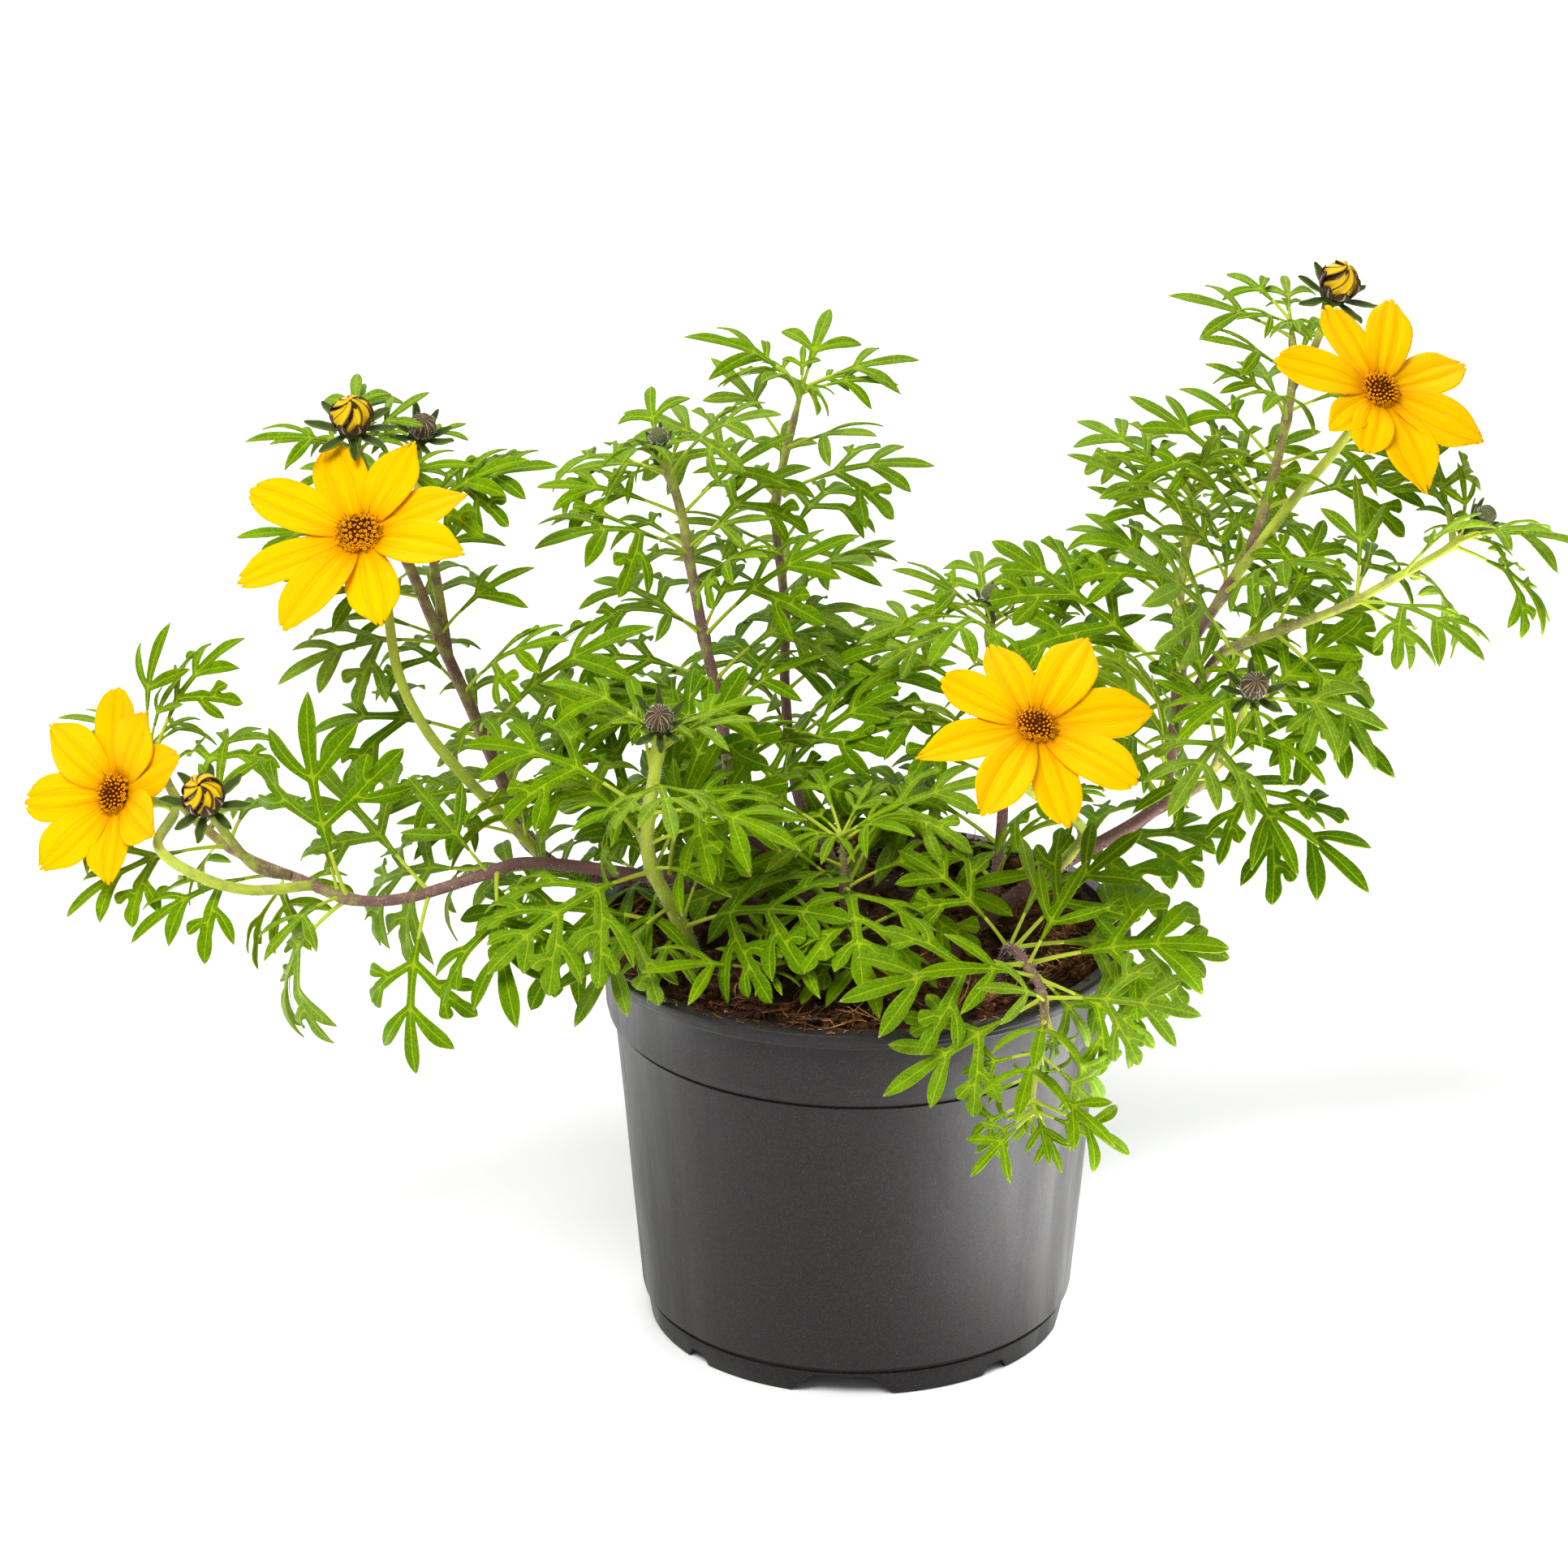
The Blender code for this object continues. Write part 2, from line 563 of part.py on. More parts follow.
def facing(head):
    """The way that a head faces."""
    azimuth = radians(head.azimuth)
    elevation = radians(head.elevation)
    return Vector((sin(azimuth) * cos(elevation), -cos(azimuth) * cos(elevation), sin(elevation)))


def head_matrix(head):
    """The place of a head, its face along the matrix's +Z and its highest side along +Y."""
    normal = facing(head)
    right = Vector((0, 0, 1)).cross(normal).normalized()
    up = normal.cross(right)
    turn = Matrix((right, up, normal)).transposed().to_4x4()
    return Matrix.Translation(Vector(head.centre)) @ turn


def full_routes(shoots):
    """Each shoot's whole route, with the point that it forks from and the way into its head."""
    routes = []
    for part in shoots:
        route = [Vector(point) for point in part.route]
        if part.fork:
            route.insert(0, curve_point(routes[part.fork[0]], part.fork[1])[0])
        if part.head:
            head = HEADS[part.head]
            centre = Vector(head.centre)
            if head.kind == "bloom":
                route.append(centre - facing(head) * CUP_DROP * STALK_RUN)
            route.append(centre - facing(head) * (CUP_DROP - STALK_OVERLAP))
        routes.append(route)
    return routes


def tube(name, route, base, tip, straight, collection):
    """A round stem along a route, thinner towards its tip, straight over its first share."""
    count = max(STEM_LEAST_RINGS, ceil(route_length(route) * (1 - straight) / STEM_SPACING) + 1)
    shares = [straight + (1 - straight) * index / (count - 1) for index in range(count)]
    if straight:
        shares.insert(0, 0.0)
    curve = bpy.data.curves.new(name, "CURVE")
    curve.dimensions = "3D"
    curve.bevel_depth = base
    curve.bevel_resolution = 1
    curve.use_fill_caps = True
    line = curve.splines.new("POLY")
    line.points.add(len(shares) - 1)
    for share, point in zip(shares, line.points):
        point.co = (*curve_point(route, share)[0], 1.0)
        point.radius = 1.0 + (tip / base - 1.0) * share
    holder = bpy.data.objects.new(name + "_line", curve)
    collection.objects.link(holder)
    bpy.context.view_layer.update()
    graph = bpy.context.evaluated_depsgraph_get()
    mesh = bpy.data.meshes.new_from_object(holder.evaluated_get(graph))
    bm = bmesh.new()
    bm.from_mesh(mesh)
    bmesh.ops.remove_doubles(bm, verts=bm.verts, dist=MERGE_REACH)
    bmesh.ops.recalc_face_normals(bm, faces=bm.faces)
    bm.to_mesh(mesh)
    bm.free()
    stem = make_object(name, mesh, collection)
    stem.matrix_world = holder.matrix_world
    bpy.data.objects.remove(holder, do_unlink=True)
    return stem


def grow(bm, foot, heading, reach, width, teeth=()):
    """Grow a pointed lobe in a leaf's plane from an edge, with a tooth on one side or both.

    The foot is the edge's left and right vertex as seen along the heading, which is an angle to the
    right of the leaf's own direction. A tooth is its side, 1 for right, its turn away from the
    heading in degrees and its share of the reach.
    """
    along = Vector((sin(heading), cos(heading), 0.0))
    across = Vector((cos(heading), -sin(heading), 0.0))
    middle = (foot[0].co + foot[1].co) / 2
    belly = middle + along * reach * (BELLY_TOOTHED if teeth else BELLY_PLAIN)
    left = bm.verts.new(belly - across * width / 2)
    right = bm.verts.new(belly + across * width / 2)
    tip = bm.verts.new(middle + along * reach)
    bm.faces.new((foot[0], foot[1], right, left))
    bm.faces.new((left, right, tip))
    for side, spread, share in teeth:
        edge = (right, foot[1]) if side > 0 else (foot[0], left)
        turn = heading + side * radians(spread)
        aside = Vector((sin(turn), cos(turn), 0.0))
        point = middle + (along * TOOTH_START + aside * share) * reach
        bm.faces.new((edge[0], edge[1], bm.verts.new(point)))


def leaf_sheet(size, kind):
    """A cut leaf in its own plane: the stalk runs from the origin along +Y."""
    bm = bmesh.new()
    least, lowest, pairs = LEAF_KINDS[kind]
    width = LOBE_WIDTH_SHARE * size * (TINY_WIDTH if kind == "tiny" else 1.0)
    heights = [0.0]
    for pair in range(pairs):
        height = (lowest + PAIR_SPACING * pair) * size
        heights += [height, height + LOBE_FOOT * width]
    rows = []
    for height in heights:
        rows.append([bm.verts.new((side * STALK_WIDTH / 2, height, 0)) for side in (-1, 1)])
    for lower, upper in zip(rows, rows[1:]):
        bm.faces.new((lower[0], lower[1], upper[1], upper[0]))
    grow(bm, rows[-1], 0.0, size - heights[-1], width * TIP_WIDTH)
    for pair in range(pairs):
        turn, reach, breadth = LOBE_PAIRS[pair]
        lower = rows[2 * pair + 1]
        upper = rows[2 * pair + 2]
        for side in (-1, 1):
            edge = (upper[1], lower[1]) if side > 0 else (lower[0], upper[0])
            teeth = ((side, *TOOTH),) if kind == "full" else ()
            grow(bm, edge, side * radians(turn), reach * size, width * breadth, teeth)
    bmesh.ops.triangulate(bm, faces=bm.faces)
    return bm


def bend_leaf(bm, size, place, heading, normal, droop):
    """Set a flat leaf in space: it arches away from its normal along its length and to its sides."""
    side = heading.cross(normal).normalized()
    normal = side.cross(heading).normalized()
    rate = max(droop, LEAST_DROOP) / size
    for vertex in bm.verts:
        x, y, z = vertex.co
        turn = rate * y
        middle = heading * sin(turn) / rate - normal * (1 - cos(turn)) / rate
        local = normal * cos(turn) + heading * sin(turn)
        sag = SIDE_SAG * abs(x) / size
        vertex.co = place + middle + side * x * cos(sag) - local * abs(x) * sin(sag)
    bm.normal_update()


def samples(bm, skip):
    """Points spread over a leaf, for measuring gaps, but for the ball at its foot that is skipped."""
    found = {}
    start, bare = skip
    for face in bm.faces:
        a, b, c = (vertex.co for vertex in face.verts)
        count = max(1, ceil(max((a - b).length, (b - c).length, (c - a).length) / SAMPLE_STEP))
        for i in range(count + 1):
            for j in range(count + 1 - i):
                point = a + (b - a) * (i / count) + (c - a) * (j / count)
                if (point - start).length > bare:
                    key = tuple(round(value / SAMPLE_STEP) for value in point)
                    found[key] = point
    return np.array([tuple(point) for point in found.values()])


def is_clear(points, crowd):
    """Whether points keep clear of the crowd, of the pot and the soil, and of the ground."""
    reach = np.hypot(points[:, 0], points[:, 1])
    height = points[:, 2]
    over_soil = (reach < SOIL_RADIUS) & (height < SOIL_RIM_Z + MOUND_HEIGHT + SOIL_GAP)
    over_lip = (reach >= SOIL_RADIUS) & (reach < LIP_RADIUS + LIP_GAP) & (height < POT_HEIGHT + SOIL_GAP)
    if over_soil.any() or over_lip.any() or (height < GROUND_GAP).any():
        return False
    margin = max(HEAD_BALLS.values()) + LEAF_GAP
    low = points.min(axis=0) - margin
    high = points.max(axis=0) + margin
    near = crowd[np.all((crowd[:, :3] > low) & (crowd[:, :3] < high), axis=1)]
    if len(near) == 0:
        return True
    apart = np.linalg.norm(points[:, None, :] - near[None, :, :3], axis=2) - near[None, :, 3]
    return apart.min() > LEAF_GAP


def head_balls(head):
    """A head as balls, in its own frame: a ball is its middle and its radius."""
    radius = HEAD_BALLS[head.kind]
    balls = [(Vector((0, 0, 0)), radius), (Vector((0, 0, HEAD_BALL_RISE)), radius)]
    for turn in range(0, 360, BRACT_BALL_TURN):
        for share in BRACT_BALL_SHARES:
            reach = (radius + BRACT_BALL_REACH) * share
            spot = Vector((cos(radians(turn)) * reach, sin(radians(turn)) * reach, -BRACT_BALL_DROP))
            balls.append((spot, BRACT_BALL))
    for turn, length in head.petals:
        spin = Matrix.Rotation(radians(turn), 3, "Z")
        for step in range(1, PETAL_BALL_STEPS + 1):
            along = PETAL_ROOT + (length - PETAL_ROOT) * step / PETAL_BALL_STEPS
            for across in PETAL_BALL_SPOTS:
                balls.append((spin @ petal_point(length, head, 0, along, across), PETAL_BALL))
    return balls


def stem_crowd():
    """The stems and heads of the whole plant as balls: a row is a middle and a radius."""
    rows = []
    for shoots in STEMS.values():
        for part, route in zip(shoots, full_routes(shoots)):
            count = max(2, ceil(route_length(route) / STEM_BALL_STEP))
            for index in range(count + 1):
                rows.append((*curve_point(route, index / count)[0], part.base - STEM_BALL_SHRINK))
    for head in HEADS.values():
        frame = head_matrix(head)
        for place, radius in head_balls(head):
            rows.append((*(frame @ place), radius))
    return np.array(rows)


def leaf_places(part):
    """Where a shoot's leaves stand: the share of its length, the turn and the size of each."""
    for index in range(part.pairs):
        share = index / max(1, part.pairs - 1)
        where = part.first + (part.last - part.first) * share ** SPREAD_POWER
        size = part.large + (part.small - part.large) * share
        for side in (0, 180):
            yield where, part.turn + 90 * index + side, size


def lay_leaf(route, where, turn, size, droop, kind):
    """A leaf on its stem, before its thickness, and the points that its gaps are measured from."""
    place, tangent = curve_point(route, where)
    reference = Vector((0, 1, 0)) if abs(tangent.y) < NEAR_DEPTH else Vector((1, 0, 0))
    across = tangent.cross(reference).normalized()
    depth = across.cross(tangent).normalized()
    out = across * cos(radians(turn)) + depth * sin(radians(turn))
    heading = tangent * cos(LEAF_ANGLE) + out * sin(LEAF_ANGLE)
    heading = (heading + Vector((0, 0, LEAF_RISE))).normalized()
    normal = LIGHT + tangent * LIGHT_TILT
    bm = leaf_sheet(size, kind)
    bend_leaf(bm, size, place, heading, normal, radians(droop))
    return bm, samples(bm, (place, BARE_STALK))


def place_leaves(shoots, crowd, draw):
    """Lay every leaf of a stem: each takes the first turn, droop and size that keeps it clear."""
    laid = []
    for part, route in zip(shoots, full_routes(shoots)):
        for where, turn, size in leaf_places(part):
            wobble = draw.uniform(-WOBBLE, WOBBLE)
            size *= draw.uniform(1 - SIZE_SPREAD, 1 + SIZE_SPREAD)
            droop = part.droop + draw.uniform(-DROOP_SPREAD, DROOP_SPREAD)
            for scale, sink, shift in product(SCALE_TRIES, DROOP_TRIES, TURN_TRIES):
                length = size * scale
                kind = next(name for name, values in LEAF_KINDS.items() if length >= values[0])
                bm, points = lay_leaf(route, where, turn + wobble + shift, length, droop + sink, kind)
                if is_clear(points, crowd):
                    cover = np.full((len(points), 1), LEAF_THICKNESS / 2)
                    crowd = np.vstack((crowd, np.hstack((points, cover))))
                    laid.append(bm)
                    break
                bm.free()
    return laid, crowd


def thicken(thing, thickness):
    """Give a sheet its thickness, half to each side."""
    solidify = thing.modifiers.new("thickness", "SOLIDIFY")
    solidify.thickness = thickness
    solidify.offset = 0.0


def add_receptacle(head, collection):
    """The green cup under a head and its ring of pointed bracts, which are part of the stem."""
    radius, reach, drop = RECEPTACLES[head.kind]
    top = -HUB_HALF - FIT
    sides = BRACT_COUNT
    bm = bmesh.new()
    foot = []
    waist = []
    rim = []
    for index in range(sides):
        turn = 2 * pi * index / sides
        out = Vector((cos(turn), sin(turn), 0))
        foot.append(bm.verts.new(out * CUP_FOOT_RADIUS + Vector((0, 0, -CUP_DROP))))
        waist.append(bm.verts.new(out * radius + Vector((0, 0, top - CUP_EDGE))))
        rim.append(bm.verts.new(out * radius + Vector((0, 0, top))))
        turn += pi / sides
        out = Vector((cos(turn), sin(turn), 0))
        rim.append(bm.verts.new(out * reach + Vector((0, 0, top - drop))))
    bm.faces.new(list(reversed(foot)))
    middle = bm.verts.new((0, 0, top))
    for index in range(sides):
        after = (index + 1) % sides
        bm.faces.new((foot[index], foot[after], waist[after], waist[index]))
        bm.faces.new((waist[index], waist[after], rim[2 * index + 1]))
        bm.faces.new((waist[index], rim[2 * index + 1], rim[2 * index]))
        bm.faces.new((waist[after], rim[2 * after], rim[2 * index + 1]))
        bm.faces.new((middle, rim[2 * index], rim[2 * index + 1]))
        bm.faces.new((middle, rim[2 * index + 1], rim[2 * after]))
    cup = make_object("cup", mesh_from(bm, "cup"), collection)
    cup.matrix_world = head_matrix(head)
    if head.kind == "young":
        bm = bmesh.new()
        bmesh.ops.create_uvsphere(bm, u_segments=YOUNG_SPOKES, v_segments=YOUNG_RINGS,
                                  radius=YOUNG_RADIUS)
        bmesh.ops.translate(bm, verts=bm.verts, vec=(0, 0, YOUNG_RADIUS * YOUNG_RISE))
        knob = make_object("young_bud", mesh_from(bm, "young_bud"), collection)
        knob.matrix_world = head_matrix(head)


def build_stem(name, shoots, leaves, collection, material):
    """One leafy stem: its shoots, leaves, cups and bracts in one solid."""
    pieces = make_collection(name + "_pieces")
    routes = full_routes(shoots)
    stem = None
    for part, route in zip(shoots, routes):
        if part.fork:
            tube(name + "_fork", route, part.base, part.tip, 0.0, pieces)
        else:
            straight = (route[1] - route[0]).length / route_length(route)
            stem = tube(name, route, part.base, part.tip, straight, collection)
            stem.data.materials.append(material)
        if part.head:
            add_receptacle(HEADS[part.head], pieces)
    for bm in leaves:
        leaf = make_object("leaf", mesh_from(bm, "leaf"), pieces)
        thicken(leaf, LEAF_THICKNESS)
    combine(stem, pieces, "UNION")
    keep_largest(stem)
    stem.data.transform(Matrix.Translation(POT_AXIS))
    return stem


def petal_point(length, head, layer, along, across):
    """A point of a petal, from its place along the petal and across it.

    The petal rises from the hub, bows down towards its tip and has a groove along its middle.
    """
    lift = radians(head.lift + layer * PETAL_LAYER_TURN)
    share = max(0.0, (along - PETAL_ROOT) / (length - PETAL_ROOT))
    rise = sin(lift) * (along - PETAL_ROOT) - PETAL_BOW * length * share ** 2
    groove = PETAL_GROOVE * abs(across) / PETAL_WIDTH
    rise += groove + layer * PETAL_LAYER_STEP * min(1, share * PETAL_LAYER_EASE)
    return Vector((PETAL_ROOT + (along - PETAL_ROOT) * cos(lift), across, rise))


def build_petals(name, head, collection, material):
    """A bloom's ray petals as one cut sheet round a small hub, every second petal a little higher."""
    bm = bmesh.new()
    middle = bm.verts.new((0, 0, 0))
    ring = []
    for index, (turn, length) in enumerate(sorted(head.petals)):
        spin = Matrix.Rotation(radians(turn), 3, "Z")
        layer = 1 if index % 2 else -1
        width = min(PETAL_WIDTH, length * PETAL_BREADTH)
        foot = [bm.verts.new(spin @ Vector((PETAL_ROOT, side * PETAL_FOOT / 2, 0)))
                for side in (-1, 1)]
        rows = []
        for share, breadth in PETAL_ROWS:
            along = PETAL_ROOT + (length - PETAL_ROOT) * share
            spots = [petal_point(length, head, layer, along, side * width * breadth / 2)
                     for side in (-1, 0, 1)]
            rows.append([bm.verts.new(spin @ spot) for spot in spots])
        tip = bm.verts.new(spin @ petal_point(length, head, layer, length, 0))
        bm.faces.new((foot[0], rows[0][0], rows[0][1]))
        bm.faces.new((foot[0], rows[0][1], foot[1]))
        bm.faces.new((foot[1], rows[0][1], rows[0][2]))
        for lower, upper in zip(rows, rows[1:]):
            for side in (0, 1):
                bm.faces.new((lower[side], upper[side], upper[side + 1], lower[side + 1]))
        bm.faces.new((rows[-1][0], tip, rows[-1][1]))
        bm.faces.new((rows[-1][1], tip, rows[-1][2]))
        ring += foot
    for index, vertex in enumerate(ring):
        bm.faces.new((middle, vertex, ring[(index + 1) % len(ring)]))
    bmesh.ops.triangulate(bm, faces=bm.faces)
    bloom = make_object(name, mesh_from(bm, name), collection, material)
    thicken(bloom, PETAL_THICKNESS)
    bloom.matrix_world = Matrix.Translation(POT_AXIS) @ head_matrix(head)
    return bloom


def build_disc(name, head, collection, material):
    """A bloom's domed disc, with its florets as rows of points in low relief."""
    bm = bmesh.new()
    bmesh.ops.create_uvsphere(bm, u_segments=FLORET_SPOKES, v_segments=FLORET_RINGS, radius=1.0)
    cut = bmesh.ops.bisect_plane(bm, geom=bm.verts[:] + bm.edges[:] + bm.faces[:],
                                 plane_co=(0, 0, DISC_CUT), plane_no=(0, 0, -1), clear_outer=True)
    edges = [item for item in cut["geom_cut"] if isinstance(item, bmesh.types.BMEdge)]
    bmesh.ops.contextual_create(bm, geom=edges)
    for vertex in bm.verts:
        ring = round(degrees(asin(min(1.0, vertex.co.z))) * FLORET_RINGS / 180)
        raised = (ring + spoke_of(vertex, FLORET_SPOKES)) % 2 == 0 and vertex.co.z > FLORET_START
        swell = FLORET_SWELL[1] if raised else FLORET_SWELL[0]
        vertex.co.x *= DISC_RADIUS * swell
        vertex.co.y *= DISC_RADIUS * swell
        vertex.co.z *= DISC_HEIGHT * swell
    bmesh.ops.translate(bm, verts=bm.verts, vec=(0, 0, HUB_HALF + FIT))
    bmesh.ops.recalc_face_normals(bm, faces=bm.faces)
    bmesh.ops.triangulate(bm, faces=bm.faces)
    disc = make_object(name, mesh_from(bm, name), collection, material)
    disc.matrix_world = Matrix.Translation(POT_AXIS) @ head_matrix(head)
    return disc


def spoke_of(vertex, spokes):
    """The number of the spoke, counted round the axis, that a vertex of a round solid lies on."""
    return round(atan2(vertex.co.y, vertex.co.x) % (2 * pi) / (2 * pi / spokes))


def build_bud(name, head, collection, material):
    """A bud's own body: a ribbed ball for an opening one, a low ribbed button for a closed one."""
    radius, height = BUD_SIZES[head.kind]
    bm = bmesh.new()
    bmesh.ops.create_uvsphere(bm, u_segments=BUD_SPOKES, v_segments=BUD_RINGS, radius=1.0)
    for vertex in bm.verts:
        swell = 1.0 if spoke_of(vertex, BUD_SPOKES) % 2 else BUD_GROOVE
        vertex.co.x *= radius * swell
        vertex.co.y *= radius * swell
        vertex.co.z = (vertex.co.z + 1.0) * height / 2 - HUB_HALF
    bmesh.ops.triangulate(bm, faces=bm.faces)
    bud = make_object(name, mesh_from(bm, name), collection, material)
    bud.matrix_world = Matrix.Translation(POT_AXIS) @ head_matrix(head)
    return bud


def main():
    """Build the whole plant in its pot."""
    clear_scene()
    parts = make_collection(OBJECT_NAME)
    finishes = {name: make_material(name) for name in FINISHES}
    build_pot(parts, finishes["pot_plastic"])
    build_soil(parts, finishes["peat"])
    draw = random.Random(SEED)
    crowd = stem_crowd()
    for name, shoots in STEMS.items():
        leaves, crowd = place_leaves(shoots, crowd, draw)
        build_stem(name, shoots, leaves, parts, finishes["foliage"])
    for name, head in HEADS.items():
        if head.kind == "bloom":
            build_petals(name + "_petals", head, parts, finishes["petal_yellow"])
            build_disc(name + "_disc", head, parts, finishes["floret_orange"])
        elif head.kind == "opening":
            build_bud(name, head, parts, finishes["bud_yellow"])
        elif head.kind == "closed":
            build_bud(name, head, parts, finishes["bud_brown"])


main()
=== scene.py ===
"""Looks of the potted bidens: pot, peat, leafy stems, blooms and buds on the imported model's frame.

Everything is in metres, +Z up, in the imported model's own frame. The stems, heads and leaves stand
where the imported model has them, because this file repeats their plan and the rule that places them.
"""

import random
from collections import namedtuple
from itertools import product
from math import ceil, cos, exp, pi, radians, sin, sqrt

import bmesh
import bpy
import numpy as np
from bpy.props import FloatProperty, FloatVectorProperty, IntProperty, PointerProperty
from bpy.types import Operator, Panel, PropertyGroup
from mathutils import Matrix, Vector, noise


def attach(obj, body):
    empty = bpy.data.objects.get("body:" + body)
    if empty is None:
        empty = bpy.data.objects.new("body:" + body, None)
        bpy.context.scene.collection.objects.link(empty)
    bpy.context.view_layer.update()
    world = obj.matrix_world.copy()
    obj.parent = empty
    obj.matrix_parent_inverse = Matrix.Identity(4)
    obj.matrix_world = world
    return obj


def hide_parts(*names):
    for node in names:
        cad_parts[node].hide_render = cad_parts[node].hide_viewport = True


bl_info = {
    "name": "Potted Bidens",
    "version": (1, 0, 0),
    "blender": (4, 5, 0),
    "location": "3D View > Sidebar > Bidens",
    "description": "Builds a potted bidens with its blooms, cut leaves, peat and nursery pot",
    "category": "Add Mesh",
}

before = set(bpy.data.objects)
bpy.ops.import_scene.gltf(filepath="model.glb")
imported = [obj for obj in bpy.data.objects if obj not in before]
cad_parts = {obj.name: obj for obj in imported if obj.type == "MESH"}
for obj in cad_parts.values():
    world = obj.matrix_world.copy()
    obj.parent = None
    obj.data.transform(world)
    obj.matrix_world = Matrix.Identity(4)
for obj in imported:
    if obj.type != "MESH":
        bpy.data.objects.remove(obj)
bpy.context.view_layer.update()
ROOT = "root"

# The pot's axis and its measures
POT_AXIS = Vector((0.0129, -0.0059, 0.0))
POT_HEIGHT = 0.092
LIP_RADIUS = 0.060
LIP_DEPTH = 0.0034
COLLAR_RADIUS = 0.0561
COLLAR_FOOT_RADIUS = 0.0555
COLLAR_FOOT_Z = 0.0755
BODY_TOP_RADIUS = 0.0538
BODY_TOP_Z = 0.0733
BODY_FOOT_RADIUS = 0.0481
BODY_FOOT_Z = 0.0068
FOOT_RADIUS = 0.0463
WALL = 0.0012
FLOOR_Z = 0.0050
NOTCH_TURN = radians(-94.5)
WIDE_NOTCH = (0.0245, 0.0125, 0.0048)
NARROW_NOTCH = (0.0078, 0.0040, 0.0026)
NOTCH_DIP = 0.0006
NOTCH_REACH = 0.010
DRAIN_RADIUS = 0.0040
DRAIN_RING = 0.030
DRAIN_SIDES = 32
FOOT_EDGE = 0.0003
FLOOR_CENTRE = 0.004
FLOOR_MIDDLE = 0.020
BODY_BELLY = ((0.0500, 0.0295), (0.0518, 0.0520))
SMOOTH_ANGLE = radians(32)

# Soil
SOIL_RIM_Z = 0.0882
SOIL_RADIUS = 0.0537
SOIL_LUMP = 0.0009
SOIL_WAVES = (410.0, 365.0, 790.0, 610.0)
SOIL_PHASE = 1.0
SOIL_CROSS_LUMP = 0.6
SOIL_RIM_FADE = 3.0
CLOD_RATE = 190
CLOD_NOISE = (0.8, 2.2, 4)
CLOD_HEIGHT = 0.0011
CLOD_DROP = 0.0002
BANK_START = 0.74
BANK_HEIGHT = 0.0030
MOUND_HEIGHT = 0.0030
MOUND_RADIUS = 0.030
MOUND_PLACE = (0.022, 0.026)
SOIL_RINGS = 54
SOIL_SIDES = 120
SOIL_CENTRE = 0.0008
SOIL_EDGE_GAP = 0.0002
SOIL_WALL_GAP = 0.0003
WELD_REACH = 1e-5

# What is strewn over the soil: its smallest and largest size, and how much rarer the large ones are
CRUMB_SIZES = (0.0002, 0.0015, 2.6)
CLOD_SIZES = (0.0003, 0.0017, 2.2)
MOSS_SIZES = (0.0003, 0.0011, 1.8)
PALE_SIZES = (0.0003, 0.0009, 1.5)
CLOD_INNER = 0.80
CLOD_HEAP = 0.0022
HEAP_POWER = 1.6
PALE_BITS = 46
MOSS_COLOURS = ((0.060, 0.130, 0.012), (0.020, 0.050, 0.006))
MOSS_ROUGHNESS = 0.55
PALE_COLOURS = ((0.55, 0.50, 0.42), (0.30, 0.25, 0.19))
CRUMB_SINK = (-0.1, 0.5)
CRUMB_SQUASH = ((0.6, 1.3), (0.6, 1.1), (0.5, 0.9))
CRUMB_ROUGH = (0.75, 1.2)
FIBRE_EDGE = 0.98
FIBRE_INNER = 0.78
FIBRE_RISE = 0.0024
FIBRE_LENGTH = (0.002, 0.009)
FIBRE_LIFT = (-0.05, 0.40)
FIBRE_BEND = 0.8
FIBRE_GIRTH = (0.00008, 0.00026)
FIBRE_POINTS = 5
FIBRE_TAPER = 0.15
FIBRE_SIDES = 4
FIBRE_CLEAR = 0.0001
FIBRE_OVER = 0.0004
SPILL_FIBRES = 110
SPILL_SPREAD = 0.9
SPILL_INSET = (0.0004, 0.0008)
SPILL_TILT = (-0.1, 0.25)
SPILL_HALF = (0.0004, 0.0014)
SPILL_BEND = 0.0003
SPILL_RISE = 0.4
SPILL_GIRTH = (0.00008, 0.00020)

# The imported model's own leaves, which only serve to find the places that it chose
STALK_WIDTH = 0.0017
LEAF_THICKNESS = 0.00070
LEAF_ANGLE = radians(60)
LEAF_RISE = 0.15
LOBE_WIDTH_SHARE = 0.092
LEAF_KINDS = {"full": (0.049, 0.34, 2), "small": (0.034, 0.37, 2), "tiny": (0.0, 0.44, 1)}
LOBE_PAIRS = ((56, 0.44, 1.0), (43, 0.32, 0.95))
PAIR_SPACING = 0.22
LOBE_FOOT = 0.62
TIP_WIDTH = 1.2
TINY_WIDTH = 1.25
TOOTH = (48, 0.60)
TOOTH_START = 0.12
BELLY_PLAIN = 0.44
BELLY_TOOTHED = 0.34
SIDE_SAG = 0.9
LEAST_DROOP = 0.02
NEAR_DEPTH = 0.9
LIGHT = Vector((0.0, -0.50, 0.80))
LIGHT_TILT = 0.35
LEAF_GAP = 0.0022
YOUNG_GAP = 0.0009
SAMPLE_STEP = 0.0022
BARE_STALK = 0.0070
SOIL_GAP = 0.0020
LIP_GAP = 0.0030
GROUND_GAP = 0.004
SPREAD_POWER = 0.85
WOBBLE = 14
SIZE_SPREAD = 0.08
DROOP_SPREAD = 12
SCALE_TRIES = (1.0, 0.84, 0.70)
DROOP_TRIES = (0, 22, -25)
TURN_TRIES = (0, 16, -16, 32, -32)
SEED = 7
YOUNG_SEED = SEED + 9
HAIR_SEED = SEED + 1
BLOOM_SEED = SEED + 2
BUD_SEED = SEED + 3

